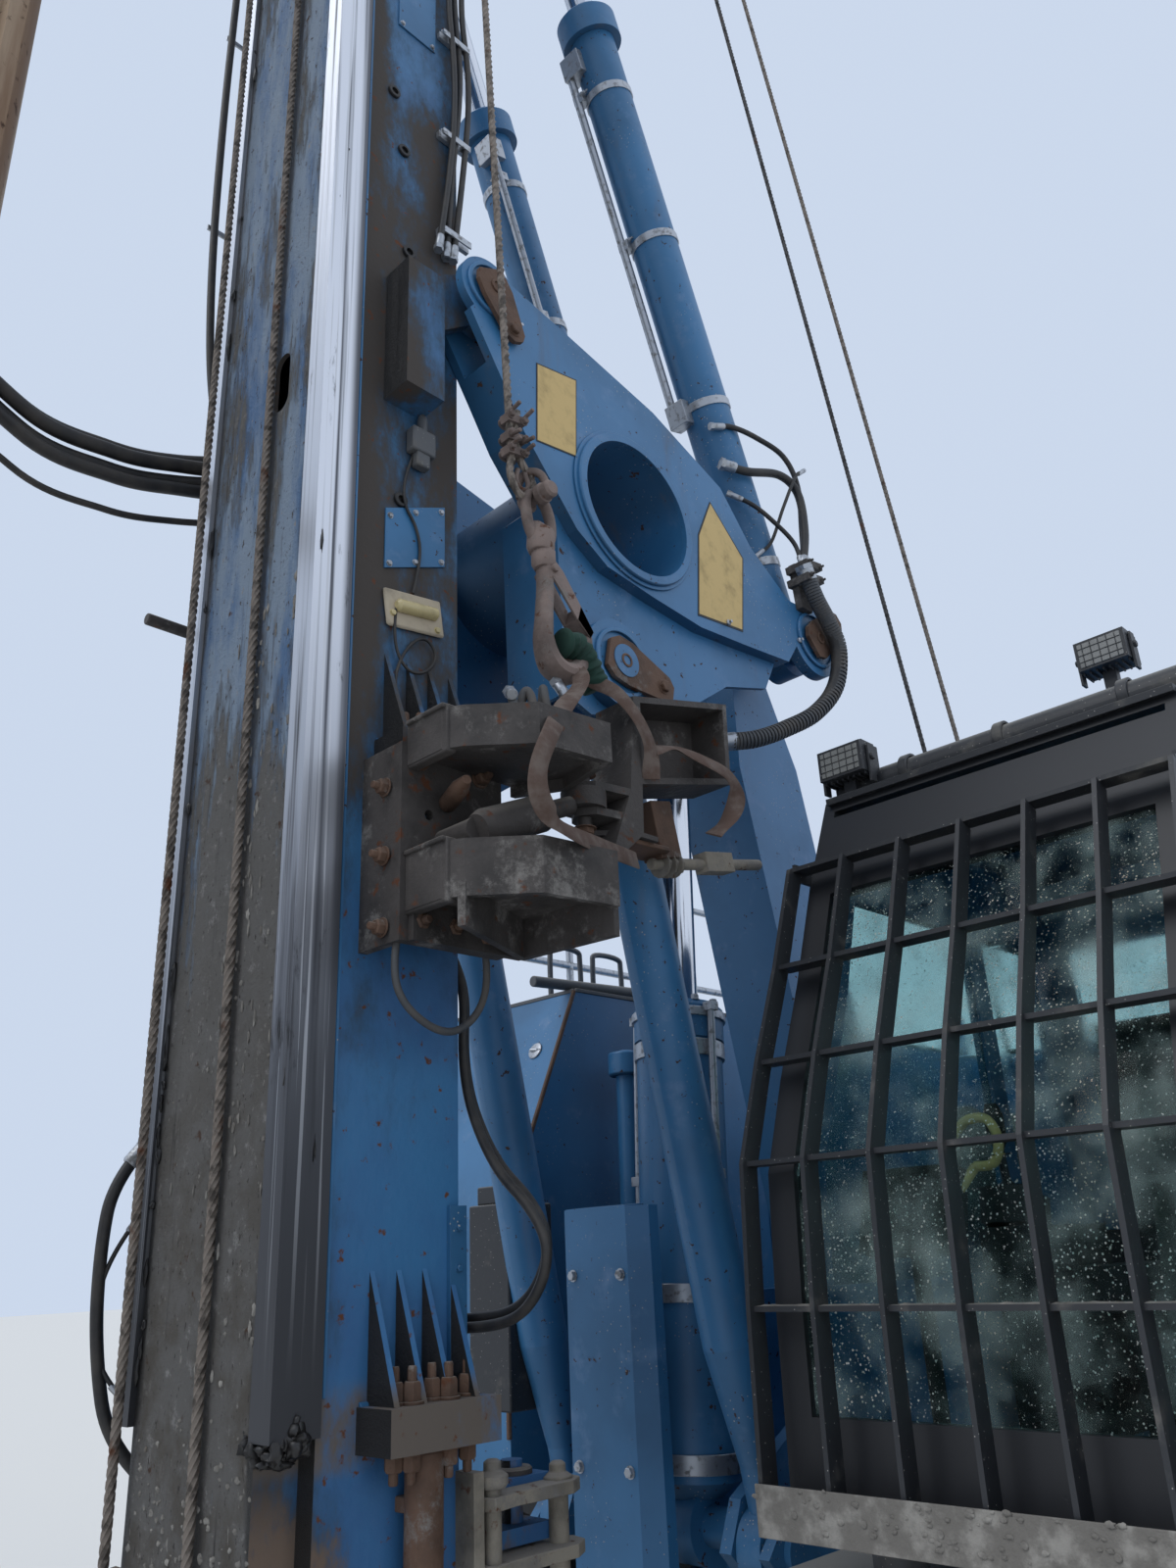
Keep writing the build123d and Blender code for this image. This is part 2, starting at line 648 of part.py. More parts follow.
def both_bars(point, r, y_near, y_far, mode=Mode.ADD):
    """The same bar or bore on both sides."""
    bar_y(point, r, y_near, y_far, mode)
    bar_y(point, r, -y_far, -y_near, mode)


with BuildPart() as triangle_link:
    both_sides(skin_front + skin_rear, SKIN_Y, LINK_OUT_Y)
    both_sides(fork_side, LINK_FORK_Y, LINK_FORK_Y + LINK_SKIN)
    both_sides(base_side, LINK_BASE_Y, BASE_OUT_Y)
    both_sides(leg_side, LINK_LEG_Y, LINK_LEG_Y + LINK_SKIN)
    web_top = (skin_front[0][0] * 0.3 + skin_front[1][0] * 0.7,
               skin_front[0][1] * 0.3 + skin_front[1][1] * 0.7)
    fork_web = [web_top] + skin_front[1:5]
    both_sides(band(fork_web[::-1], WEB_SHEET), LINK_FORK_Y, LINK_OUT_Y)
    both_sides(band(skin_front[:2:-1], WEB_SHEET), LINK_BASE_Y, LINK_OUT_Y)
    both_sides(band(skin_rear[:2:-1], WEB_SHEET), LINK_BASE_Y, LINK_OUT_Y)
    leg_web = [leg_low, leg_top, leg_side[-1], leg_side[-2]]
    both_sides(band(leg_web, WEB_SHEET), LINK_LEG_Y, BASE_OUT_Y)
    plate(band(cross_web[::-1], -WEB_SHEET), -BASE_OUT_Y, BASE_OUT_Y)
    both_bars(MAST_PIN, TOP_BOSS_R, SKIN_Y, LINK_OUT_Y)
    both_bars(MAST_PIN, TOP_BOSS_R, LINK_FORK_Y, LINK_FORK_Y + LINK_SKIN)
    both_bars(ARM_HEAD, BOSS_R, LINK_BASE_Y, LINK_OUT_Y)
    both_bars(ARM_HEAD, BOSS_R, LINK_LEG_Y, LINK_LEG_Y + LINK_SKIN)
    both_bars(REAR_PIN, BOSS_R, BASE_OUT_Y, LINK_OUT_Y)
    bar_y(TUBE_CENTRE, LINK_TUBE_R, -TUBE_END_Y, TUBE_END_Y)
    bar_y(TUBE_CENTRE, LINK_TUBE_R - LINK_TUBE_WALL, -TUBE_END_Y, TUBE_END_Y, Mode.SUBTRACT)
    lug = [
        shift(LUFF_PIN, 230, 80),
        shift(LUFF_PIN, -60, LUFF_LUG_R),
        shift(LUFF_PIN, -LUFF_LUG_R, 0),
        shift(LUFF_PIN, 0, -LUFF_LUG_R),
        shift(LUFF_PIN, 230, -40),
    ]
    lug_y = LUFF_EYE_WIDTH / 2 + CLEAR
    both_sides(lug, lug_y, lug_y + LUFF_LUG)
    bar_y(LUFF_PIN, PIN_R, -lug_y - LUFF_LUG, lug_y + LUFF_LUG)
    bar_y(REAR_PIN, PIN_R, -LINK_PIN_END, LINK_PIN_END)
    both_bars(ARM_HEAD, PIN_R, LINK_LEG_Y, LINK_PIN_END)
    both_bars(MAST_PIN, PIN_R, LINK_FORK_Y, LINK_PIN_END)
triangle_link.part.label = "triangle_link"
export_step(triangle_link.part, "parts/triangle_link.step")

# Cylinders: turned barrel with a gland at its head, rod with a piston inside it
PISTON = 120
PISTON_BEHIND = 320         # piston to gland at rest
BARREL_FOOT = 160
ROD_EYE_WALL = 32


def barrel(foot, head, y_mid, r, head_r, rod_r, length, eye_width):
    """Barrel from its foot eye to its gland, open where the rod runs."""
    line = axis_plane(foot, head, y_mid)
    bore_r = r - BARREL_WALL
    gland_z = length - GLAND_LENGTH
    spin([(0, PIN_R + 15), (r * 0.6, PIN_R + 15), (r, PIN_R + 60), (r, gland_z),
          (head_r, gland_z), (head_r, length - 20), (head_r - 20, length), (0, length)], line)
    bar_y(foot, PIN_R + 50, y_mid - eye_width / 2, y_mid + eye_width / 2)
    spin([(0, BARREL_FOOT), (bore_r, BARREL_FOOT), (bore_r, gland_z), (rod_r + RUN, gland_z),
          (rod_r + RUN, length), (0, length)], line, Mode.SUBTRACT)
    bar_y(foot, PIN_R + RUN, y_mid - r, y_mid + r, Mode.SUBTRACT)


def rod(foot, head, y_mid, r, rod_r, length, bore_r, eye_width):
    """Rod from its piston, half a stroke below the gland, to its eye."""
    line = axis_plane(foot, head, y_mid)
    reach = hypot(head[0] - foot[0], head[1] - foot[1])
    piston_r = r - BARREL_WALL - RUN
    start = length - GLAND_LENGTH - PISTON_BEHIND
    spin([(0, start - PISTON), (piston_r, start - PISTON), (piston_r, start),
          (rod_r, start), (rod_r, reach - bore_r - 4), (0, reach - bore_r - 4)], line)
    bar_y(head, bore_r + ROD_EYE_WALL, y_mid - eye_width / 2, y_mid + eye_width / 2)
    bar_y(head, bore_r, y_mid - eye_width, y_mid + eye_width, Mode.SUBTRACT)


with BuildPart() as luffing_barrel:
    barrel(LUFF_FOOT, LUFF_PIN, 0, LUFF_BARREL_R, LUFF_HEAD_R, LUFF_ROD_R,
           LUFF_BARREL_LENGTH, LUFF_EYE_WIDTH)
luffing_barrel.part.label = "luffing_barrel"
export_step(luffing_barrel.part, "parts/luffing_barrel.step")

with BuildPart() as luffing_rod:
    rod(LUFF_FOOT, LUFF_PIN, 0, LUFF_BARREL_R, LUFF_ROD_R, LUFF_BARREL_LENGTH,
        PIN_R + LUFF_EYE_DRIFT, LUFF_EYE_WIDTH)
luffing_rod.part.label = "luffing_rod"
export_step(luffing_rod.part, "parts/luffing_rod.step")

TILT_PIN_R = 45
with BuildPart() as mast_cylinder_barrels:
    for side in (1, -1):
        barrel(REAR_PIN, TILT_EYE, side * TILT_Y, TILT_BARREL_R, TILT_HEAD_R, TILT_ROD_R,
               TILT_BARREL_LENGTH, EYE_WIDTH)
mast_cylinder_barrels.part.label = "mast_cylinder_barrels"
export_step(mast_cylinder_barrels.part, "parts/mast_cylinder_barrels.step")

with BuildPart() as mast_cylinder_rods:
    for side in (1, -1):
        rod(REAR_PIN, TILT_EYE, side * TILT_Y, TILT_BARREL_R, TILT_ROD_R,
            TILT_BARREL_LENGTH, TILT_PIN_R + TILT_EYE_DRIFT, EYE_WIDTH)
mast_cylinder_rods.part.label = "mast_cylinder_rods"
export_step(mast_cylinder_rods.part, "parts/mast_cylinder_rods.step")

# Mast: welded box in three lengths, with bolted splice flanges on its flanks
SIDE_Y = HALF_MAST - MAST_SIDE_SET
CORNER_Y = HALF_MAST - RAIL_WIDTH


def mast_length(z0, z1):
    """Box section with stepped front corners that the rails sit in."""
    box(MAST_REAR_X, FACE_X - 15, -SIDE_Y, SIDE_Y, z0, z1)
    box(MAST_REAR_X + MAST_WALL, FACE_X - 15 - MAST_WALL, -SIDE_Y + MAST_WALL,
        SIDE_Y - MAST_WALL, z0 + MAST_WALL, z1 - MAST_WALL, Mode.SUBTRACT)
    for side in (1, -1):
        y_a, y_b = side * CORNER_Y, side * (SIDE_Y + 5)
        box(FACE_X - RAIL_DEPTH, FACE_X, min(y_a, y_b), max(y_a, y_b), z0, z1, Mode.SUBTRACT)
        y_c, y_d = side * (CORNER_Y - MAST_WALL), side * CORNER_Y
        box(FACE_X - RAIL_DEPTH - MAST_WALL, FACE_X - 15 - MAST_WALL, min(y_c, y_d),
            max(y_c, y_d), z0, z1)
        y_e = side * SIDE_Y
        box(FACE_X - RAIL_DEPTH - MAST_WALL, FACE_X - RAIL_DEPTH, min(y_c, y_e),
            max(y_c, y_e), z0, z1)


FLANGE_FRONT = 220          # behind the mast face
FLANGE_REACH = 125          # past the flank
GUSSETS = 4
GUSSET_THICK = 14
GUSSET_HEIGHT = 270


def splice_flange(z, up):
    """Half flange each side; the one above the joint has upright gussets."""
    z0, z1 = (z, z + FLANGE_THICK) if up else (z - FLANGE_THICK, z)
    for side in (1, -1):
        y_a, y_b = side * (SIDE_Y - 1), side * (SIDE_Y + FLANGE_REACH)
        box(MAST_REAR_X - 20, FACE_X - FLANGE_FRONT, min(y_a, y_b), max(y_a, y_b), z0, z1)
        run = MAST_DEPTH - FLANGE_FRONT - 60
        for k in range(GUSSETS if up else 0):
            x = MAST_REAR_X + 20 + run * k / (GUSSETS - 1)
            gusset = [(y_a, z1), (side * (SIDE_Y + FLANGE_REACH * 0.8), z1),
                      (y_a, z1 + GUSSET_HEIGHT)]
            extrude(outline(gusset, Plane.YZ.offset(x)), amount=GUSSET_THICK)


FOOT_LUG_BEHIND = 350
with BuildPart() as mast_foot:
    mast_length(MAST_FOOT_Z, SPLICE_LOW_Z)
    splice_flange(SPLICE_LOW_Z, False)
    for side in (1, -1):
        for lug_z in (1245, 1345):
            y_a, y_b = side * (SIDE_Y - 120), side * SIDE_Y
            box(MAST_REAR_X - FOOT_LUG_BEHIND * 0.8, MAST_REAR_X + 5, min(y_a, y_b),
                max(y_a, y_b), lug_z, lug_z + 36)
        upright(MAST_REAR_X - FOOT_LUG_BEHIND * 0.6, side * (SIDE_Y - 60), 26, 1215, 1411)
mast_foot.part.label = "mast_foot"
export_step(mast_foot.part, "parts/mast_foot.step")

with BuildPart() as mast_lower:
    mast_length(SPLICE_LOW_Z, SPLICE_HIGH_Z)
    splice_flange(SPLICE_LOW_Z, True)
    splice_flange(SPLICE_HIGH_Z, False)
mast_lower.part.label = "mast_lower"
export_step(mast_lower.part, "parts/mast_lower.step")

MAST_BRACKET_LOW = 4250
MAST_BRACKET_HIGH = 4730
BRACKET_REAR = 360          # behind the mast face
BRACKET_OUT_Y = LINK_BASE_Y + 10
PIN_LUG_Y = 385
PIN_LUG = 40
PIN_LUG_R = 108
SLOT_Y = 95
SLOT_Z = 4345
with BuildPart() as mast_main:
    mast_length(SPLICE_HIGH_Z, MAST_TOP_Z)
    splice_flange(SPLICE_HIGH_Z, True)
    with BuildSketch(Plane.YZ.offset(FACE_X - 60)):
        with Locations((SLOT_Y, SLOT_Z)):
            SlotOverall(210, 80, rotation=90)
    extrude(amount=60, mode=Mode.SUBTRACT)
    bracket = [
        (FACE_X - FLANGE_FRONT, MAST_BRACKET_LOW),
        (FACE_X - FLANGE_FRONT, MAST_BRACKET_HIGH),
        (FACE_X - BRACKET_REAR, MAST_BRACKET_HIGH),
        (FACE_X - BRACKET_REAR, MAST_BRACKET_LOW),
    ]
    both_sides(bracket, SIDE_Y - 1, BRACKET_OUT_Y)
    pin_lug = [
        (FACE_X - FLANGE_FRONT - 60, MAST_BRACKET_HIGH - 260),
        (FACE_X - FLANGE_FRONT - 60, MAST_BRACKET_HIGH - 20),
        shift(MAST_PIN, 40, PIN_LUG_R * 0.92),
        shift(MAST_PIN, -40, PIN_LUG_R * 0.92),
        shift(MAST_PIN, -40, -PIN_LUG_R * 0.92),
        shift(MAST_PIN, 30, -PIN_LUG_R * 0.97),
    ]
    both_sides(pin_lug, PIN_LUG_Y, PIN_LUG_Y + PIN_LUG)
    both_bars(MAST_PIN, PIN_LUG_R, PIN_LUG_Y, PIN_LUG_Y + PIN_LUG)
    both_bars(MAST_PIN, PIN_R + RUN, PIN_LUG_Y - 1, PIN_LUG_Y + PIN_LUG + 1, Mode.SUBTRACT)
    rod_lug = [
        (MAST_REAR_X - 20, TILT_EYE[1] - 220),
        shift(TILT_EYE, -70, -40),
        shift(TILT_EYE, -70, 40),
        (MAST_REAR_X - 20, TILT_EYE[1] + 220),
    ]
    lug_gap = max(EYE_WIDTH / 2, TILT_ROD_R) + CLEAR
    for side in (1, -1):
        y_a, y_b = side * (TILT_Y - lug_gap - 25), side * (TILT_Y + lug_gap + 25)
        box(MAST_REAR_X - 40, MAST_REAR_X + 2, min(y_a, y_b), max(y_a, y_b),
            TILT_EYE[1] - 230, TILT_EYE[1] + 230)
        for lug_y in (TILT_Y - lug_gap - 25, TILT_Y + lug_gap):
            y_a, y_b = side * lug_y, side * (lug_y + 25)
            plate(rod_lug, min(y_a, y_b), max(y_a, y_b))
        y_a, y_b = side * (TILT_Y - lug_gap - 35), side * (TILT_Y + lug_gap + 35)
        bar_y(TILT_EYE, TILT_PIN_R, min(y_a, y_b), max(y_a, y_b))
mast_main.part.label = "mast_main"
export_step(mast_main.part, "parts/mast_main.step")

with BuildPart() as mast_rails:
    for side in (1, -1):
        y_a, y_b = side * CORNER_Y, side * HALF_MAST
        box(FACE_X - RAIL_DEPTH, FACE_X, min(y_a, y_b), max(y_a, y_b), SPLICE_LOW_Z,
            MAST_TOP_Z - 200)
mast_rails.part.label = "mast_rails"
export_step(mast_rails.part, "parts/mast_rails.step")

# Mast head: side plates from the hoist ropes' side to over the drill axis, sheave pins
REAR_SHEAVE = (FACE_X - HOIST_BEHIND + SHEAVE_R, MAST_TOP_Z + 560)
FRONT_SHEAVE = (DRILL_X - SHEAVE_R, MAST_TOP_Z + 560)
AUX_SHEAVE = (FACE_X + 50 - SHEAVE_R, MAST_TOP_Z + 560)
HEAD_PLATE_Y = 160
head_side = [
    (MAST_REAR_X, MAST_TOP_Z + 60),
    (FACE_X, MAST_TOP_Z + 60),
    (FRONT_SHEAVE[0] + 160, FRONT_SHEAVE[1] - 160),
    (FRONT_SHEAVE[0] + 160, FRONT_SHEAVE[1] + 120),
    (MAST_REAR_X + 80, MAST_TOP_Z + HEAD_HEIGHT - 260),
    (MAST_REAR_X, MAST_TOP_Z + 660),
]
with BuildPart() as mast_head:
    box(MAST_REAR_X, FACE_X, -HALF_MAST, HALF_MAST, MAST_TOP_Z, MAST_TOP_Z + 60)
    for side in (1, -1):
        y_a, y_b = side * HEAD_PLATE_Y, side * (HEAD_PLATE_Y + HEAD_PLATE)
        plate(head_side, min(y_a, y_b), max(y_a, y_b))
    for centre in (REAR_SHEAVE, FRONT_SHEAVE):
        bar_y(centre, SHEAVE_PIN_R, -HEAD_PLATE_Y - 50, HEAD_PLATE_Y + 50)
    bar_y((MAST_REAR_X + 60, MAST_TOP_Z + 120), 40, -HEAD_PLATE_Y - 5, HEAD_PLATE_Y + 5)
    aux_plate = [
        (AUX_SHEAVE[0] - 120, MAST_TOP_Z + 60),
        (AUX_SHEAVE[0] + 120, MAST_TOP_Z + 60),
        shift(AUX_SHEAVE, 80, 80),
        shift(AUX_SHEAVE, -80, 80),
    ]
    for y_a in (AUX_Y - SHEAVE_WIDTH / 2 - CLEAR - HEAD_PLATE, AUX_Y + SHEAVE_WIDTH / 2 + CLEAR):
        plate(aux_plate, y_a, y_a + HEAD_PLATE)
    box(AUX_SHEAVE[0] - 120, AUX_SHEAVE[0] + 120, HALF_MAST - 5, AUX_Y + 66, MAST_TOP_Z,
        MAST_TOP_Z + 62)
    bar_y(AUX_SHEAVE, SHEAVE_PIN_R, AUX_Y - 80, AUX_Y + 80)
mast_head.part.label = "mast_head"
export_step(mast_head.part, "parts/mast_head.step")


def sheave(centre, y_mid):
    """Grooved wheel on its pin."""
    turned = Plane(origin=(centre[0], y_mid, centre[1]), x_dir=(1, 0, 0), z_dir=(0, 0, 1))
    half = SHEAVE_WIDTH / 2
    spin([(SHEAVE_PIN_R + RUN, -half), (SHEAVE_R + 20, -half), (SHEAVE_R + 20, -half * 0.7),
          (SHEAVE_R - 15, -6), (SHEAVE_R - 15, 6), (SHEAVE_R + 20, half * 0.7),
          (SHEAVE_R + 20, half), (SHEAVE_PIN_R + RUN, half)], turned)


# Rope wheel name, centre, place across
HOIST_Y = 60
sheave_places = (
    ("sheave_main_rear", REAR_SHEAVE, -HOIST_Y),
    ("sheave_main_front", FRONT_SHEAVE, -HOIST_Y),
    ("sheave_aux_rear", REAR_SHEAVE, HOIST_Y),
    ("sheave_aux_side", AUX_SHEAVE, AUX_Y),
)
for sheave_name, centre, y_mid in sheave_places:
    with BuildPart() as rope_wheel:
        sheave(centre, y_mid)
    rope_wheel.part.label = sheave_name
    export_step(rope_wheel.part, f"parts/{sheave_name}.step")

# Guide shoes that wrap the rails, shared by the rotary carriage and the kelly guide
SHOE_PAD = 60
SHOE_LENGTH = 260


def guide_shoes(z_mid):
    """Jaws round both rails, open to the mast, with sliding pads."""
    for side in (1, -1):
        y_rail = side * HALF_MAST
        y_in = side * (CORNER_Y + SLIDE + 6)
        y_out = side * (HALF_MAST + SHOE_PAD)
        z0 = z_mid - SHOE_LENGTH / 2
        z1 = z_mid + SHOE_LENGTH / 2
        box(FACE_X + SLIDE, FACE_X + SLIDE + SHOE_PAD, min(y_in, y_out), max(y_in, y_out),
            z0, z1)
        y_gap = side * (HALF_MAST + SLIDE)
        box(FACE_X - RAIL_DEPTH - 46, FACE_X + SLIDE + 1, min(y_gap, y_out),
            max(y_gap, y_out), z0, z1)


# Rotary drive: carriage on the rails, gearbox round the kelly, three motors, flange below
ROTARY_TOP_Z = ROTARY_BOTTOM_Z + ROTARY_HEIGHT
CARRIAGE_X = FACE_X + SLIDE + SHOE_PAD
DRIVE_BORE_R = KELLY_R + KELLY_RIB + CLEAR
GEARBOX_LOW = ROTARY_BOTTOM_Z + 420
GEARBOX_HIGH = ROTARY_BOTTOM_Z + 1080
with BuildPart() as rotary_carriage:
    for z_mid in (ROTARY_BOTTOM_Z + 300, ROTARY_TOP_Z - 160):
        guide_shoes(z_mid)
    box(CARRIAGE_X - 1, CARRIAGE_X + 90, -HALF_MAST - SHOE_PAD, HALF_MAST + SHOE_PAD,
        ROTARY_BOTTOM_Z + 160, ROTARY_TOP_Z)
    for side in (1, -1):
        y_a, y_b = side * 240, side * 290
        arm = [
            (CARRIAGE_X + 80, ROTARY_BOTTOM_Z + 160),
            (DRILL_X - ROTARY_R, GEARBOX_LOW + 60),
            (DRILL_X - 380, GEARBOX_LOW + 60),
            (DRILL_X - 380, GEARBOX_HIGH - 60),
            (DRILL_X - ROTARY_R, GEARBOX_HIGH - 60),
            (CARRIAGE_X + 80, ROTARY_TOP_Z - 60),
        ]
        plate(arm, min(y_a, y_b), max(y_a, y_b))
rotary_carriage.part.label = "rotary_carriage"
export_step(rotary_carriage.part, "parts/rotary_carriage.step")

MOTOR_R = 125
MOTOR_RING_R = 365
with BuildPart() as rotary_drive:
    upright(DRILL_X, 0, ROTARY_R, GEARBOX_LOW, GEARBOX_HIGH)
    chamfer(rotary_drive.faces().sort_by(Axis.Z)[-1].edges(), 30)
    upright(DRILL_X, 0, 330, ROTARY_BOTTOM_Z + 120, GEARBOX_LOW)
    upright(DRILL_X, 0, 400, ROTARY_BOTTOM_Z, ROTARY_BOTTOM_Z + 120)
    upright(DRILL_X, 0, 300, GEARBOX_HIGH, ROTARY_TOP_Z - 150)
    for angle in (60, 180, 300):
        x = DRILL_X + MOTOR_RING_R * cos(radians(angle))
        y = MOTOR_RING_R * sin(radians(angle))
        upright(x, y, MOTOR_R, GEARBOX_HIGH - 1, ROTARY_TOP_Z)
    upright(DRILL_X, 0, DRIVE_BORE_R, ROTARY_BOTTOM_Z, ROTARY_TOP_Z, Mode.SUBTRACT)
    for side in (1, -1):
        y_a, y_b = side * 235, side * 295
        box(DRILL_X - 480, DRILL_X - 380 + RUN, min(y_a, y_b), max(y_a, y_b),
            GEARBOX_LOW + 50, GEARBOX_HIGH - 50, Mode.SUBTRACT)
    bolt_ring = [(365 * cos(radians(a)), 365 * sin(radians(a))) for a in range(0, 360, 30)]
    with BuildSketch(Plane.XY.offset(ROTARY_BOTTOM_Z)):
        for dx, dy in bolt_ring:
            with Locations((DRILL_X + dx, dy)):
                Circle(13)
    extrude(amount=121, mode=Mode.SUBTRACT)
rotary_drive.part.label = "rotary_drive"
export_step(rotary_drive.part, "parts/rotary_drive.step")

# Kelly: ribbed outer tube, inner tubes above, square stub with a cross pin hole below
with BuildPart() as kelly_bar:
    upright(DRILL_X, 0, KELLY_R, KELLY_BOTTOM_Z + STUB_LENGTH + 60, KELLY_TOP_Z)
    with BuildSketch(Plane.XY.offset(KELLY_BOTTOM_Z + STUB_LENGTH + 60)):
        with Locations((DRILL_X, 0)):
            with PolarLocations(KELLY_R + KELLY_RIB / 2 - 8, 3):
                Rectangle(KELLY_RIB + 16, 60)
    extrude(amount=KELLY_TOP_Z - KELLY_BOTTOM_Z - STUB_LENGTH - 60)
    upright(DRILL_X, 0, KELLY_R - 22, KELLY_BOTTOM_Z + STUB_LENGTH + 200, KELLY_TOP_Z,
            Mode.SUBTRACT)
    half = STUB_SIDE / 2
    box(DRILL_X - half, DRILL_X + half, -half, half, KELLY_BOTTOM_Z, KELLY_BOTTOM_Z
        + STUB_LENGTH + 80)
    bar_y((DRILL_X, KELLY_BOTTOM_Z + 110), 30, -half, half, Mode.SUBTRACT)
    upright(DRILL_X, 0, 200, KELLY_TOP_Z, KELLY_TOP_Z + 400)
    upright(DRILL_X, 0, 140, KELLY_TOP_Z + 400, KELLY_TOP_Z + 620)
kelly_bar.part.label = "kelly_bar"
export_step(kelly_bar.part, "parts/kelly_bar.step")

with BuildPart() as kelly_guide:
    z0 = KELLY_TOP_Z + 70
    z1 = z0 + 260
    guide_shoes(z0 + 60)
    box(CARRIAGE_X - 1, CARRIAGE_X + 60, -HALF_MAST - SHOE_PAD, HALF_MAST + SHOE_PAD, z0 - 70,
        z1)
    box(CARRIAGE_X, DRILL_X, -200, 200, z0 + 40, z1 - 40)
    upright(DRILL_X, 0, 290, z0 + 20, z1 - 20)
    upright(DRILL_X, 0, 200 + RUN, z0, z1, Mode.SUBTRACT)
kelly_guide.part.label = "kelly_guide"
export_step(kelly_guide.part, "parts/kelly_guide.step")

SWIVEL_Z = KELLY_TOP_Z + 620
with BuildPart() as swivel:
    upright(DRILL_X, 0, 90, SWIVEL_Z + RUN, SWIVEL_Z + 300)
    box(DRILL_X - 60, DRILL_X + 60, -35, 35, SWIVEL_Z + 300, SWIVEL_Z + 460)
    bar_y((DRILL_X, SWIVEL_Z + 400), 25, -50, 50, Mode.SUBTRACT)
swivel.part.label = "swivel"
export_step(swivel.part, "parts/swivel.step")

# Luffing cylinder's cover: bent sheet on a leg from the deck
COVER_AHEAD = 1600
COVER_HALF = 180
COVER_TOP = 1990
COVER_SHEET = 8
COVER_BEND = 50
with BuildPart() as front_cover:
    front = SLEW_X + COVER_AHEAD
    plan = [(front - 90, -COVER_HALF), (front - COVER_BEND, -COVER_HALF),
            (front, -COVER_HALF + COVER_BEND), (front, COVER_HALF - COVER_BEND),
            (front - COVER_BEND, COVER_HALF), (front - 90, COVER_HALF)]
    leg_top = ARM_FOOT_Z - PIN_R - 50 - CLEAR
    leg_low = leg_top - 45
    extrude(outline(band(plan, COVER_SHEET), Plane.XY.offset(leg_low)),
            amount=COVER_TOP - leg_low)
    box(SLEW_X + DECK_AHEAD, front - COVER_SHEET + 1, -15, 15, leg_low, leg_top)
front_cover.part.label = "front_cover"
export_step(front_cover.part, "parts/front_cover.step")

# Cab: bent front line from the floor to the roof, walls with their windows cut through
CAB_LINE = [
    (SLEW_X + CAB_FRONT, CAB_FLOOR_Z),
    (SLEW_X + CAB_FRONT - 10, 1720),
    (SLEW_X + CAB_FRONT - 30, 2020),
    (SLEW_X + CAB_FRONT - 120, 2250),
    (SLEW_X + CAB_FRONT - 240, 2510),
    (SLEW_X + CAB_FRONT - 360, 2810),
    (SLEW_X + CAB_FRONT - 500, CAB_ROOF_Z),
]
CAB_BACK_X = SLEW_X + CAB_REAR


def inset(points, depth):
    """Far edge of a bent sheet, put back in the order of its points."""
    return band(points, depth)[len(points):][::-1]


cab_outer = CAB_LINE + [(CAB_BACK_X + 60, CAB_ROOF_Z), (CAB_BACK_X, CAB_ROOF_Z - 80),
                        (CAB_BACK_X, CAB_FLOOR_Z)]
inner_line = inset(CAB_LINE, CAB_WALL)
cab_inner = (
    [(inner_line[0][0], CAB_FLOOR_Z + CAB_WALL)]
    + inner_line[1:6]
    + [(inner_line[5][0] - 80, CAB_ROOF_Z - CAB_WALL), (CAB_BACK_X + CAB_WALL, CAB_ROOF_Z
        - CAB_WALL), (CAB_BACK_X + CAB_WALL, CAB_FLOOR_Z + CAB_WALL)]
)
FRAME = 75                  # pillar beside a window
SCREEN_LINE = [(CAB_LINE[1][0] + 3, 1500)] + CAB_LINE[1:5] + [
    (SLEW_X + CAB_FRONT - 345, 2772)]
DOOR_REAR_X = SLEW_X + 800
DOOR_SILL_Z = CAB_FLOOR_Z + 70
door_outline = [
    (DOOR_REAR_X, DOOR_SILL_Z),
    (CAB_LINE[1][0] - 150, DOOR_SILL_Z),
    (CAB_LINE[1][0] - 150, 1720),
    (CAB_LINE[2][0] - 150, 2020),
    (CAB_LINE[4][0] - 150, 2510),
    (CAB_LINE[5][0] - 150, 2800),
    (DOOR_REAR_X, 2840),
]


def drawn_in(points, y, gap):
    """Closed outline on a side plane, drawn in by a gap all round."""
    with BuildSketch(side_plane(y)) as face:
        with BuildLine():
            Polyline(*points, close=True)
        make_face()
        offset(amount=-gap, kind=Kind.INTERSECTION, mode=Mode.REPLACE)
    return face.sketch


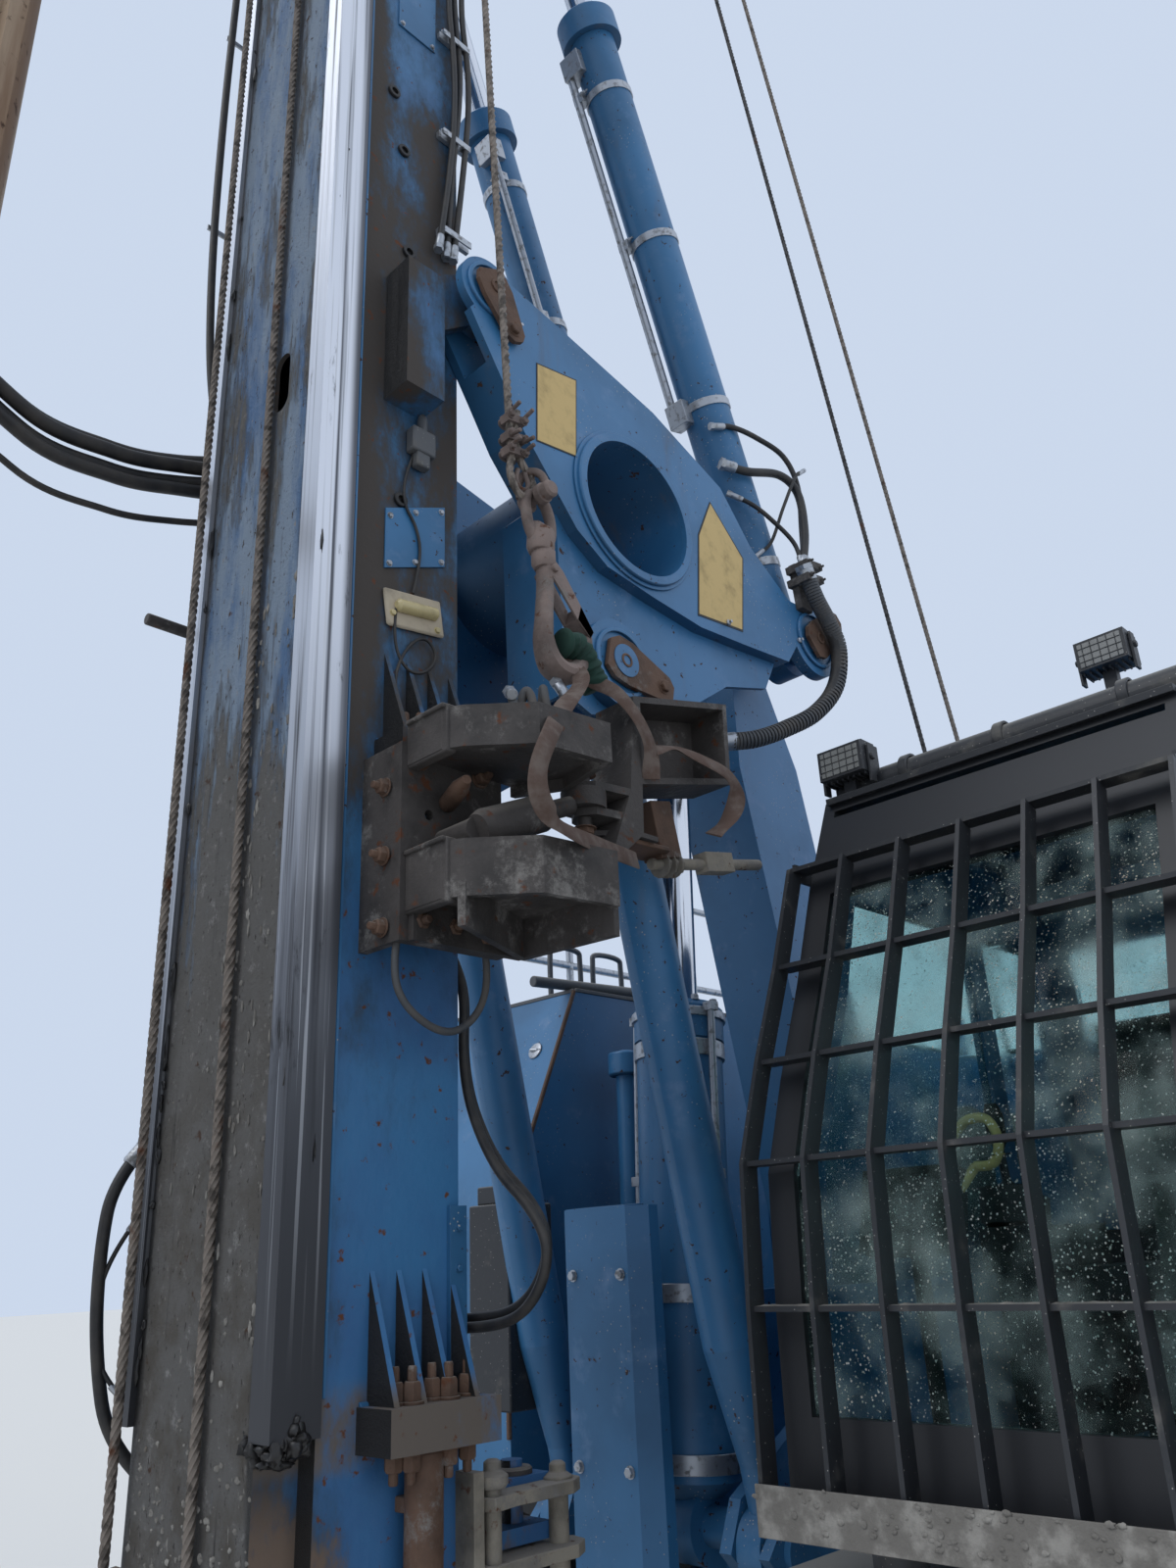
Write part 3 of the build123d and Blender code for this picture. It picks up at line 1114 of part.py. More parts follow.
side_window = [
    (CAB_BACK_X + 640, 1760),
    (CAB_LINE[1][0] - 190, 1760),
    (CAB_LINE[2][0] - 190, 2040),
    (CAB_LINE[4][0] - 190, 2510),
    (CAB_LINE[5][0] - 170, 2790),
    (CAB_BACK_X + 640, 2790),
]
rear_side_window = [
    (CAB_BACK_X + 150, 1900),
    (CAB_BACK_X + 550, 1900),
    (CAB_BACK_X + 550, 2790),
    (CAB_BACK_X + 150, 2790),
]
GLASS = 10
screen_cut = band(inset(SCREEN_LINE, -40), CAB_WALL + 90)
with BuildPart() as cab_shell:
    plate(cab_outer, CAB_INNER_Y, CAB_OUTER_Y)
    plate(cab_inner, CAB_INNER_Y + CAB_WALL, CAB_OUTER_Y - CAB_WALL, Mode.SUBTRACT)
    plate(screen_cut, CAB_INNER_Y + FRAME, CAB_OUTER_Y - FRAME, Mode.SUBTRACT)
    for window in (side_window, rear_side_window):
        plate(window, CAB_INNER_Y - 1, CAB_INNER_Y + CAB_WALL + 1, Mode.SUBTRACT)
    plate(rear_side_window, CAB_OUTER_Y - CAB_WALL - 1, CAB_OUTER_Y + 1, Mode.SUBTRACT)
    plate(door_outline, CAB_OUTER_Y - CAB_WALL - 1, CAB_OUTER_Y + 1, Mode.SUBTRACT)
    box(CAB_BACK_X - 1, CAB_BACK_X + CAB_WALL + 1, CAB_INNER_Y + 120, CAB_OUTER_Y - 120, 2000,
        2800, Mode.SUBTRACT)
    HINGE_X = DOOR_REAR_X - 2
    HINGE_Y = CAB_OUTER_Y + 30
    for hinge_z in (1600, 2500):
        upright(HINGE_X, HINGE_Y, 12, hinge_z - 60, hinge_z + 60)
        for z in (hinge_z - 75, hinge_z + 45):
            box(HINGE_X - 40, HINGE_X - 5, CAB_OUTER_Y - 1, HINGE_Y + 12, z, z + 30)
            box(HINGE_X - 40, HINGE_X + 12, HINGE_Y - 12, HINGE_Y + 12, z, z + 30)
cab_shell.part.label = "cab_shell"
export_step(cab_shell.part, "parts/cab_shell.step")

with BuildPart() as cab_glass:
    pane = band(inset(SCREEN_LINE, 15), GLASS)
    plate(pane, CAB_INNER_Y + FRAME + RUN, CAB_OUTER_Y - FRAME - RUN)
    for window in (side_window, rear_side_window):
        extrude(drawn_in(window, CAB_INNER_Y + 30, RUN), amount=GLASS)
    extrude(drawn_in(rear_side_window, CAB_OUTER_Y - 20, RUN), amount=GLASS)
    box(CAB_BACK_X + 20, CAB_BACK_X + 20 + GLASS, CAB_INNER_Y + 120 + RUN,
        CAB_OUTER_Y - 120 - RUN, 2000 + RUN, 2800 - RUN)
cab_glass.part.label = "cab_glass"
export_step(cab_glass.part, "parts/cab_glass.step")

DOOR_FRAME = 90
with BuildPart() as cab_door:
    extrude(drawn_in(door_outline, CAB_OUTER_Y, CLEAR), amount=CAB_WALL)
    extrude(drawn_in(door_outline, CAB_OUTER_Y + 1, DOOR_FRAME), amount=CAB_WALL + 2,
            mode=Mode.SUBTRACT)
    box(DOOR_REAR_X + CLEAR, CAB_LINE[1][0] - 150 - CLEAR, CAB_OUTER_Y - CAB_WALL,
        CAB_OUTER_Y, 1660, 1720)
    for hinge_z in (1600, 2500):
        upright(HINGE_X, HINGE_Y, 22, hinge_z - 45 + RUN, hinge_z + 45 - RUN)
        box(HINGE_X, HINGE_X + 45, HINGE_Y - 22, HINGE_Y, hinge_z - 45 + RUN,
            hinge_z + 45 - RUN)
        box(HINGE_X + 20, HINGE_X + 45, CAB_OUTER_Y - 1, HINGE_Y, hinge_z - 45 + RUN,
            hinge_z + 45 - RUN)
        upright(HINGE_X, HINGE_Y, 12 + RUN, hinge_z - 46, hinge_z + 46, Mode.SUBTRACT)
    box(CAB_LINE[1][0] - 230, CAB_LINE[1][0] - 205, CAB_OUTER_Y - 1, CAB_OUTER_Y + 40, 1800,
        2000)
cab_door.part.label = "cab_door"
export_step(cab_door.part, "parts/cab_door.step")

with BuildPart() as cab_door_glass:
    extrude(drawn_in(door_outline, CAB_OUTER_Y - 20, DOOR_FRAME + RUN), amount=GLASS)
    box(DOOR_REAR_X, CAB_LINE[1][0] - 150, CAB_OUTER_Y - CAB_WALL, CAB_OUTER_Y, 1660 - RUN,
        1720 + RUN, Mode.SUBTRACT)
cab_door_glass.part.label = "cab_door_glass"
export_step(cab_door_glass.part, "parts/cab_door_glass.step")

# Seat with its console boxes, on the cab floor
SEAT_X = SLEW_X + 620
CAB_MID_Y = (CAB_INNER_Y + CAB_OUTER_Y) / 2
with BuildPart() as cab_seat:
    box(SEAT_X - 180, SEAT_X + 180, CAB_MID_Y - 160, CAB_MID_Y + 160, CAB_FLOOR_Z + CAB_WALL,
        CAB_FLOOR_Z + 360)
    seat_side = [(SEAT_X - 270, 1650), (SEAT_X + 260, 1650), (SEAT_X + 280, 1770),
                 (SEAT_X - 120, 1770), (SEAT_X - 200, 2480), (SEAT_X - 320, 2480)]
    plate(seat_side, CAB_MID_Y - 240, CAB_MID_Y + 240)
    for side in (1, -1):
        y_a, y_b = CAB_MID_Y + side * 260, CAB_MID_Y + side * 400
        box(SEAT_X - 150, SEAT_X + 420, min(y_a, y_b), max(y_a, y_b), CAB_FLOOR_Z + CAB_WALL,
            1860)
cab_seat.part.label = "cab_seat"
export_step(cab_seat.part, "parts/cab_seat.step")

# Guard: bent flat bars up the front, crossbars at their bends, shelf below, stays to the cab
guard_line = inset([(CAB_LINE[0][0], CAB_FLOOR_Z + 10)] + CAB_LINE[1:6], -GUARD_AHEAD)
GUARD_HIGH = CAB_OUTER_Y + 10
GUARD_LOW = CAB_INNER_Y - 10
GUARD_BARS = int((GUARD_HIGH - GUARD_LOW) / GUARD_PITCH) + 1
with BuildPart() as cab_guard:
    upright_bar = band(guard_line, GUARD_BAR_DEPTH)
    step = (GUARD_HIGH - GUARD_LOW - GUARD_BAR) / (GUARD_BARS - 1)
    for k in range(GUARD_BARS):
        y = GUARD_LOW + k * step
        plate(upright_bar, y, y + GUARD_BAR)
    for x, z in guard_line[1:]:
        box(x - GUARD_BAR_DEPTH - 25, x - 14, GUARD_LOW, GUARD_HIGH, z - 6, z + 6)
    foot_x, foot_z = guard_line[0]
    box(foot_x - GUARD_AHEAD + RUN, foot_x + 4, GUARD_LOW, GUARD_HIGH, foot_z, foot_z + 14)
    for y in (GUARD_LOW, GUARD_HIGH - 30):
        box(CAB_LINE[0][0] + RUN, foot_x, y, y + 30, foot_z - 1, foot_z + 40)
        top_x, top_z = guard_line[5]
        stay = [(top_x - 30, top_z - 30), (top_x - 30, top_z + 20),
                (top_x - 260, top_z + 20), (top_x - 260, top_z - 30)]
        if y < CAB_MID_Y:
            plate(stay, GUARD_LOW, CAB_INNER_Y - RUN)
        else:
            plate(stay, CAB_OUTER_Y + RUN, GUARD_HIGH)
cab_guard.part.label = "cab_guard"
export_step(cab_guard.part, "parts/cab_guard.step")

# Work lamps and the rolled visor tube on the roof's front edge
VISOR_R = 48
VISOR_X = FACE_X - 1600
VISOR_Z = CAB_ROOF_Z + VISOR_R + RUN
# Lamp place along and across from the visor's inner end, foot of its body over the roof
LAMPS = ((110, -10, 60), (-350, 650, 330))
LAMP_HEIGHT = 95
with BuildPart() as cab_visor:
    bar_y((VISOR_X, VISOR_Z), VISOR_R, CAB_INNER_Y + 10, CAB_OUTER_Y)
    for dx, dy, lift in LAMPS:
        x, y = VISOR_X + dx, CAB_INNER_Y + 20 + dy
        z = CAB_ROOF_Z + lift
        box(x - 60, x - 30, y + 50, y + 90, CAB_ROOF_Z, z + 60)
        box(x - 80, x + 20, y, y + 150, z, z + LAMP_HEIGHT)
    box(VISOR_X - 20, VISOR_X + 60, CAB_INNER_Y + 60, CAB_INNER_Y + 100, CAB_ROOF_Z,
        CAB_ROOF_Z + 10)
cab_visor.part.label = "cab_visor"
export_step(cab_visor.part, "parts/cab_visor.step")

# Houses: sheet boxes on the platforms and the deck, with panel gaps and louvres
BEVEL = 45
LOUVRE_PITCH = 70
LOUVRES = 9
PANEL_GAP = 12


def louvres(x0, x1, y, z0, inward):
    """Row of slots through a side wall."""
    for k in range(LOUVRES):
        z = z0 + k * LOUVRE_PITCH
        y_a, y_b = y + inward, y - inward * 0.1
        box(x0, x1, min(y_a, y_b), max(y_a, y_b), z, z + 28, Mode.SUBTRACT)


def house_side(depth, drop):
    """Side view of the right house, drawn in by the sheet and lower by a drop."""
    x0, x1 = SLEW_X + HOUSE_REAR + depth, SLEW_X + HOUSE_FRONT - depth
    top = HOUSE_TOP_Z - drop
    return [(x0, PLATFORM_TOP + depth), (x1, PLATFORM_TOP + depth), (x1, HOUSE_KNEE_Z),
            (x1 - HOUSE_SLOPE, top), (x0, top)]


with BuildPart() as right_house:
    x0 = SLEW_X + HOUSE_REAR
    x1 = SLEW_X + HOUSE_FRONT - HOUSE_SLOPE
    y0, y1 = -PLATFORM_HALF_WIDTH, -HOUSE_INNER_Y
    plate(house_side(0, 0), y0, y1)
    chamfer(right_house.faces().sort_by(Axis.Z)[-1].edges().sort_by(Axis.Y)[0], BEVEL)
    plate(house_side(SHEET, BEVEL + SHEET), y0 + SHEET, y1 - SHEET, Mode.SUBTRACT)
    for share in (0.33, 0.66):
        x_gap = x0 + (x1 - x0) * share
        for y in (y0 - 1, y1 - 4):
            box(x_gap, x_gap + PANEL_GAP, y, y + 5, PLATFORM_TOP + 60, HOUSE_TOP_Z - 120,
                Mode.SUBTRACT)
    louvres(x0 + 120, x0 + 600, y0, HOUSE_TOP_Z - 900, SHEET + 1)
right_house.part.label = "right_house"
export_step(right_house.part, "parts/right_house.step")

with BuildPart() as left_tank:
    x1 = SLEW_X + CAB_REAR - 60
    y0, y1 = HOUSE_INNER_Y, PLATFORM_HALF_WIDTH
    box(x0, x1, y0, y1, PLATFORM_TOP, TANK_TOP_Z)
    chamfer(left_tank.faces().sort_by(Axis.Z)[-1].edges(), BEVEL)
    box(x0 + SHEET, x1 - SHEET, y0 + SHEET, y1 - SHEET, PLATFORM_TOP + SHEET,
        TANK_TOP_Z - BEVEL - SHEET, Mode.SUBTRACT)
    for share in (0.33, 0.66):
        x_gap = x0 + (x1 - x0) * share
        box(x_gap, x_gap + PANEL_GAP, y1 - 6, y1 + 1, PLATFORM_TOP + 60, TANK_TOP_Z - 120,
            Mode.SUBTRACT)
    upright(x0 + 500, y1 - 300, 70, TANK_TOP_Z - 1, TANK_TOP_Z + 50)
left_tank.part.label = "left_tank"
export_step(left_tank.part, "parts/left_tank.step")

ENGINE_FRONT = SLEW_X + HOUSE_REAR - 20
ENGINE_REAR = SLEW_X - DECK_REAR
with BuildPart() as engine_house:
    y0, y1 = -PLATFORM_HALF_WIDTH, PLATFORM_HALF_WIDTH
    box(ENGINE_REAR, ENGINE_FRONT, y0, y1, WEB_TOP, ENGINE_HOUSE_TOP_Z)
    chamfer(engine_house.faces().sort_by(Axis.Z)[-1].edges(), BEVEL)
    box(ENGINE_REAR + SHEET, ENGINE_FRONT - SHEET, y0 + SHEET, y1 - SHEET, WEB_TOP + SHEET,
        ENGINE_HOUSE_TOP_Z - BEVEL - SHEET, Mode.SUBTRACT)
    louvres(ENGINE_REAR + 150, ENGINE_FRONT - 150, y0, 1650, SHEET + 1)
    louvres(ENGINE_REAR + 150, ENGINE_FRONT - 150, y1, 1650, -SHEET - 1)
    for side in (1, -1):
        y_a, y_b = side * DECK_HALF_WIDTH, side * PLATFORM_HALF_WIDTH
        low, high = min(y_a, y_b), max(y_a, y_b)
        box(ENGINE_REAR, ENGINE_FRONT, low, high, PLATFORM_TOP, WEB_TOP)
        box(ENGINE_REAR + SHEET, ENGINE_FRONT - SHEET, low + SHEET, high - SHEET,
            PLATFORM_TOP + SHEET, WEB_TOP - SHEET, Mode.SUBTRACT)
    upright(ENGINE_REAR + 300, -1100, 60, ENGINE_HOUSE_TOP_Z - 1, ENGINE_HOUSE_TOP_Z + 350)
engine_house.part.label = "engine_house"
export_step(engine_house.part, "parts/engine_house.step")

with BuildPart() as engine_block:
    box(ENGINE_REAR + 130, ENGINE_FRONT - 130, -450, 450, WEB_TOP + SHEET, WEB_TOP + 850)
engine_block.part.label = "engine_block"
export_step(engine_block.part, "parts/engine_block.step")

# Counterweight: one casting across the tail with rounded corners
WEIGHT_HALF = 1850
with BuildPart() as counterweight:
    with BuildSketch(Plane.XY.offset(WEIGHT_BOTTOM_Z)) as weight_plan:
        with Locations((SLEW_X - (TAIL_REACH + DECK_REAR) / 2, 0)):
            Rectangle(TAIL_REACH - DECK_REAR, 2 * WEIGHT_HALF)
        fillet(weight_plan.vertices().sort_by(Axis.X)[:2], 300)
    extrude(amount=WEIGHT_TOP_Z - WEIGHT_BOTTOM_Z)
    chamfer(counterweight.faces().sort_by(Axis.Z)[-1].edges().sort_by(Axis.X)[:3], 60)
counterweight.part.label = "counterweight"
export_step(counterweight.part, "parts/counterweight.step")

# Winches: two drums between plates on the main webs
WINCH_SPLIT = 100           # each hoist rope from the middle of the pair, lengthwise
DRUM_HALF = WEB_Y - CLEAR
MAIN_AXLE = (SLEW_X - WINCH_BEHIND + WINCH_SPLIT + DRUM_R, WINCH_Z)
AUX_AXLE = (SLEW_X - WINCH_BEHIND - WINCH_SPLIT - DRUM_R, WINCH_Z)
with BuildPart() as winch_frame:
    frame_side = [
        (AUX_AXLE[0] - 170, WEB_TOP),
        (AUX_AXLE[0] - 130, WINCH_Z + 120),
        (MAIN_AXLE[0] + 160, WINCH_Z + 120),
        (MAIN_AXLE[0] + 420, WEB_TOP),
    ]
    for side in (1, -1):
        y_a, y_b = side * WEB_Y, side * (WEB_Y + WEB_THICK)
        plate(frame_side, min(y_a, y_b), max(y_a, y_b))
    bar_y((MAIN_AXLE[0] + 240, WEB_TOP + 200), 50, -WEB_Y - 1, WEB_Y + 1)
    for axle in (MAIN_AXLE, AUX_AXLE):
        bar_y(axle, PIN_R, -WEB_Y - WEB_THICK - 30, WEB_Y + WEB_THICK + 30)
winch_frame.part.label = "winch_frame"
export_step(winch_frame.part, "parts/winch_frame.step")

for drum_name, axle in (("main_winch_drum", MAIN_AXLE), ("aux_winch_drum", AUX_AXLE)):
    with BuildPart() as drum:
        bar_y(axle, DRUM_R, -DRUM_HALF, DRUM_HALF)
        for y in (-DRUM_HALF, DRUM_HALF - 20):
            bar_y(axle, DRUM_FLANGE_R, y, y + 20)
        bar_y(axle, DRUM_R - 40, -DRUM_HALF + 40, DRUM_HALF - 40, Mode.SUBTRACT)
        bar_y(axle, PIN_R + RUN, -DRUM_HALF, DRUM_HALF, Mode.SUBTRACT)
    drum.part.label = drum_name
    export_step(drum.part, f"parts/{drum_name}.step")

# Guide gear on the mast's left flank: bracket plates, two jaws, their cylinder, a box arm
GUIDE_FRONT_X = FACE_X - FLANGE_FRONT + 5
GUIDE_PLATE_Y = SIDE_Y + FLANGE_REACH + 2 * CLEAR
GUIDE_PLATE = 28
GUIDE_FACE_Y = GUIDE_PLATE_Y + GUIDE_PLATE
GUIDE_LOW = 2560
GUIDE_HIGH = 3070
with BuildPart() as guide_bracket:
    box(GUIDE_FRONT_X, GUIDE_FRONT_X + 26, SIDE_Y, GUIDE_PLATE_Y + 1, GUIDE_LOW, GUIDE_HIGH)
    box(GUIDE_FRONT_X - 300, GUIDE_FRONT_X + 26, GUIDE_PLATE_Y, GUIDE_FACE_Y, GUIDE_LOW,
        GUIDE_HIGH)
    for x, z in ((-60, 220), (-200, 220), (-60, 330), (-200, 330)):
        bar_y((GUIDE_FRONT_X + x, GUIDE_LOW + z), 14, GUIDE_PLATE_Y - 1, GUIDE_FACE_Y + 1,
              Mode.SUBTRACT)
guide_bracket.part.label = "guide_bracket"
export_step(guide_bracket.part, "parts/guide_bracket.step")

# Corners of a jaw's plan from its root's front, round its tip and back to the root
JAW_PLAN = ((10, 0), (10, 135), (-20, 185), (-150, 315), (-375, 340), (-420, 130), (-350, 0))
JAW_SKIN = 20
JAW_LIP = 30
JAW_LOW_Z = 2630
JAW_LOW_DEPTH = 140
JAW_HIGH_Z = 3005
JAW_HIGH_DEPTH = 110


def jaw_plan(depth):
    """Plan of a jaw, drawn in by a depth at its sides but not at its root."""
    corners = [(GUIDE_FRONT_X + dx, GUIDE_FACE_Y + RUN + dy) for dx, dy in JAW_PLAN]
    if depth:
        corners = inset(corners, depth)
        corners[0] = (corners[0][0], GUIDE_FACE_Y)
        corners[-1] = (corners[-1][0], GUIDE_FACE_Y)
    return corners


JAW_RIBS = (((0, 10), (-350, 10)), ((-350, 10), (-375, 325)), ((-15, 180), (-340, 20)))
with BuildPart() as guide_jaws:
    for z, jaw_depth in ((JAW_LOW_Z, JAW_LOW_DEPTH), (JAW_HIGH_Z, JAW_HIGH_DEPTH)):
        extrude(outline(jaw_plan(0), Plane.XY.offset(z)), amount=jaw_depth)
        extrude(outline(jaw_plan(JAW_SKIN), Plane.XY.offset(z - 1)), amount=JAW_LIP + 1,
                mode=Mode.SUBTRACT)
        extrude(outline(jaw_plan(JAW_SKIN), Plane.XY.offset(z + JAW_LIP + JAW_SKIN)),
                amount=jaw_depth - JAW_LIP - 2 * JAW_SKIN, mode=Mode.SUBTRACT)
    for (ax, ay), (bx, by) in JAW_RIBS:
        run = hypot(bx - ax, by - ay)
        nx, ny = -(by - ay) / run * JAW_SKIN / 2, (bx - ax) / run * JAW_SKIN / 2
        rib = [(ax + nx, ay + ny), (bx + nx, by + ny), (bx - nx, by - ny), (ax - nx, ay - ny)]
        foot = [(GUIDE_FRONT_X + x, GUIDE_FACE_Y + RUN + y) for x, y in rib]
        extrude(outline(foot, Plane.XY.offset(JAW_LOW_Z - 70)), amount=70 + JAW_LIP + 1)
guide_jaws.part.label = "guide_jaws"
export_step(guide_jaws.part, "parts/guide_jaws.step")

# Cylinder between the jaws, from the bracket's plate up to the box arm's clevis
GEAR_Y = GUIDE_FACE_Y + 125
JAW_CYLINDER_R = 50
JAW_ROD_R = 26
JAW_BARREL = 245
JAW_FOOT = (FACE_X - 325, JAW_LOW_Z + JAW_LOW_DEPTH + JAW_CYLINDER_R + CLEAR)
CLEVIS = (FACE_X - 700, 2990)
CLEVIS_R = 62
with BuildPart() as guide_cylinder:
    line = axis_plane(JAW_FOOT, CLEVIS, GEAR_Y)
    reach = hypot(CLEVIS[0] - JAW_FOOT[0], CLEVIS[1] - JAW_FOOT[1])
    tip = reach - CLEVIS_R + 4
    spin([(0, 0), (JAW_CYLINDER_R * 0.8, 0), (JAW_CYLINDER_R, 25),
          (JAW_CYLINDER_R, JAW_BARREL - 12), (JAW_CYLINDER_R * 0.8, JAW_BARREL),
          (JAW_ROD_R, JAW_BARREL), (JAW_ROD_R, tip), (0, tip)], line)
    bar_y(JAW_FOOT, 34, GUIDE_FACE_Y, GEAR_Y)
    upright(CLEVIS[0], GEAR_Y, CLEVIS_R, CLEVIS[1] - 26, CLEVIS[1] + 26)
    upright(CLEVIS[0], GEAR_Y, 20 + RUN, CLEVIS[1] - 27, CLEVIS[1] + 27, Mode.SUBTRACT)
guide_cylinder.part.label = "guide_cylinder"
export_step(guide_cylinder.part, "parts/guide_cylinder.step")

# Box arm behind the jaws: open square tube tipped up at the rear, clevis and stay plates
BOX_FRONT = FACE_X - 840
BOX_RUN = 450
BOX_TIP = radians(14)
BOX_HEIGHT = 275
BOX_WALL = 20
BOX_IN_Y = LINK_OUT_Y + 25 + 2 * CLEAR
BOX_OUT_Y = BOX_IN_Y + 150
BOX_FOOT_Z = 3057


def box_corner(along, up):
    return (
        BOX_FRONT - along * cos(BOX_TIP) - up * sin(BOX_TIP) * 0.2,
        BOX_FOOT_Z + along * sin(BOX_TIP) + up,
    )


with BuildPart() as guide_box:
    plate([box_corner(0, 0), box_corner(BOX_RUN, 0), box_corner(BOX_RUN, BOX_HEIGHT),
           box_corner(0, BOX_HEIGHT)], BOX_IN_Y, BOX_OUT_Y)
    wall = BOX_WALL
    plate([box_corner(wall, wall), box_corner(BOX_RUN - wall, wall),
           box_corner(BOX_RUN - wall, BOX_HEIGHT - wall), box_corner(wall, BOX_HEIGHT - wall)],
          BOX_IN_Y + wall, BOX_OUT_Y + 1, Mode.SUBTRACT)
    cheek = [box_corner(0, BOX_HEIGHT), box_corner(30, BOX_HEIGHT), box_corner(30, -150),
             box_corner(-70, -210), box_corner(-95, -190), box_corner(-20, -20)]
    plate(cheek, BOX_IN_Y, BOX_OUT_Y)
    for z in (CLEVIS[1] - 26 - RUN - 22, CLEVIS[1] + 26 + RUN):
        ear = [(BOX_FRONT + 15, BOX_IN_Y), (CLEVIS[0], GEAR_Y - 48), (CLEVIS[0] + 38, GEAR_Y),
               (CLEVIS[0], GEAR_Y + 48), (BOX_FRONT + 15, BOX_OUT_Y)]
        extrude(outline(ear, Plane.XY.offset(z)), amount=22)
    upright(CLEVIS[0], GEAR_Y, 20, CLEVIS[1] - 75, CLEVIS[1] + 75)
    stay = [(BOX_FRONT + 10, BOX_OUT_Y), (BOX_FRONT + 150, BOX_IN_Y + 40),
            (BOX_FRONT + 10, BOX_IN_Y), (BOX_FRONT - 80, BOX_IN_Y), (BOX_FRONT - 80, BOX_OUT_Y)]
    extrude(outline(stay, Plane.XY.offset(2905)), amount=14)
guide_box.part.label = "guide_box"
export_step(guide_box.part, "parts/guide_box.step")

# Handrails: posts and rails on the right house and the left tank
RAIL_R = 20
RAIL_HIGH = 1000
# Place across, foot of the posts, front post ahead of the slew axis
RAIL_ROWS = (
    (-PLATFORM_HALF_WIDTH + 80, HOUSE_TOP_Z, HOUSE_FRONT - HOUSE_SLOPE - 120),
    (PLATFORM_HALF_WIDTH - 80, TANK_TOP_Z, -160),
)
with BuildPart() as handrails:
    x0 = SLEW_X + HOUSE_REAR + 100
    for y, top, ahead in RAIL_ROWS:
        x1 = SLEW_X + ahead
        for k in range(4):
            x = x0 + (x1 - x0) * k / 3
            tube((x, y, top), (x, y, top + RAIL_HIGH), RAIL_R)
        for z in (top + RAIL_HIGH / 2, top + RAIL_HIGH):
            tube((x0 - RAIL_R, y, z), (x1 + RAIL_R, y, z), RAIL_R)
handrails.part.label = "handrails"
export_step(handrails.part, "parts/handrails.step")
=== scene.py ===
from math import atan2, cos, pi, radians, sin, tau
from random import Random

import bmesh
import bpy
from mathutils import Euler, Matrix, Vector


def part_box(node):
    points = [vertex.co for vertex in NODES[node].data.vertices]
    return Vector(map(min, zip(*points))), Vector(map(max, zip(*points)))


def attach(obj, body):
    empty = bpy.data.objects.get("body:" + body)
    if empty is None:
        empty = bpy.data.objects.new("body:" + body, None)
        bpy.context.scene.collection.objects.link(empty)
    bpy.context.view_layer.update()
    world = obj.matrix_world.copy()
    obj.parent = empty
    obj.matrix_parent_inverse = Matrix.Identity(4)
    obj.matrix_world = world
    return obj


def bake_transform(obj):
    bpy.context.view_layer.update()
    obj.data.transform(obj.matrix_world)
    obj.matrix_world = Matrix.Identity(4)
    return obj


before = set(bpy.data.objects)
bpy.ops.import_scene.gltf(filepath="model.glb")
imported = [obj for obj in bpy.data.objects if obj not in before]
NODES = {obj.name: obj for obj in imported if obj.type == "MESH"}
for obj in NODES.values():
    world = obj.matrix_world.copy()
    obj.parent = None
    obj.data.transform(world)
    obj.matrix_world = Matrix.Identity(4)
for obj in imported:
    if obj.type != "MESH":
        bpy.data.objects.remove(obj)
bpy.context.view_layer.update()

# Places worked out from the frame, in metres
MAST_LOW, MAST_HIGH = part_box("mast_main")
RAIL_LOW, RAIL_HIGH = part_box("mast_rails")
FACE_X = RAIL_HIGH.x
HALF_MAST = RAIL_HIGH.y
SIDE_Y = HALF_MAST - 0.02
MAST_REAR_X = FACE_X - 0.5
PLATE_X = FACE_X - 0.015
MAST_LOW_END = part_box("mast_foot")[0].z
SWIVEL_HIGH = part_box("swivel")[1]
SPLICE_LOW, SPLICE_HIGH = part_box("mast_lower")[0].z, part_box("mast_main")[0].z
GUIDE_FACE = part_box("guide_bracket")[1].y

# Cylinder lines: foot pin to rod pin, ahead of the mast's face and up
LUFF_FOOT, LUFF_TOP = Vector((FACE_X - 1.67, 0, 1.1)), Vector((FACE_X - 1.84, 0, 3.83))
TILT_FOOT, TILT_EYE = Vector((FACE_X - 2.165, 0, 4.06)), Vector((FACE_X - 0.65, 0, 8.5))
TILT_Y = 0.34
TILT_GLAND = TILT_FOOT + (TILT_EYE - TILT_FOOT).normalized() * 2.95
SLEW_X = FACE_X - 2.9004
HOUSE_PANEL = 1.14
CAB_FRONT_X = SLEW_X + 1.9
CAB_BEND_Z, CAB_LEAN = 2.02, 0.45

# Camera, solved from the photograph
CAMERA_PLACE = (FACE_X + 1.423, 2.69, 1.85)
CAMERA_AZIMUTH = radians(134)
CAMERA_PITCH = radians(21.9)
CAMERA_ROLL = radians(-2.67)
FOCAL_PX = 1201
FRAME_HEIGHT_PX = 1600
SENSOR = 36

# Colours, linear
BLUE = (0.034, 0.155, 0.33)
DEEP_BLUE = (0.018, 0.065, 0.17)
RUST = (0.1, 0.035, 0.014)
MUD = (0.13, 0.1, 0.075)
CEMENT = (0.36, 0.345, 0.32)
GREASE = (0.012, 0.011, 0.011)
OLD_STEEL = (0.16, 0.135, 0.115)


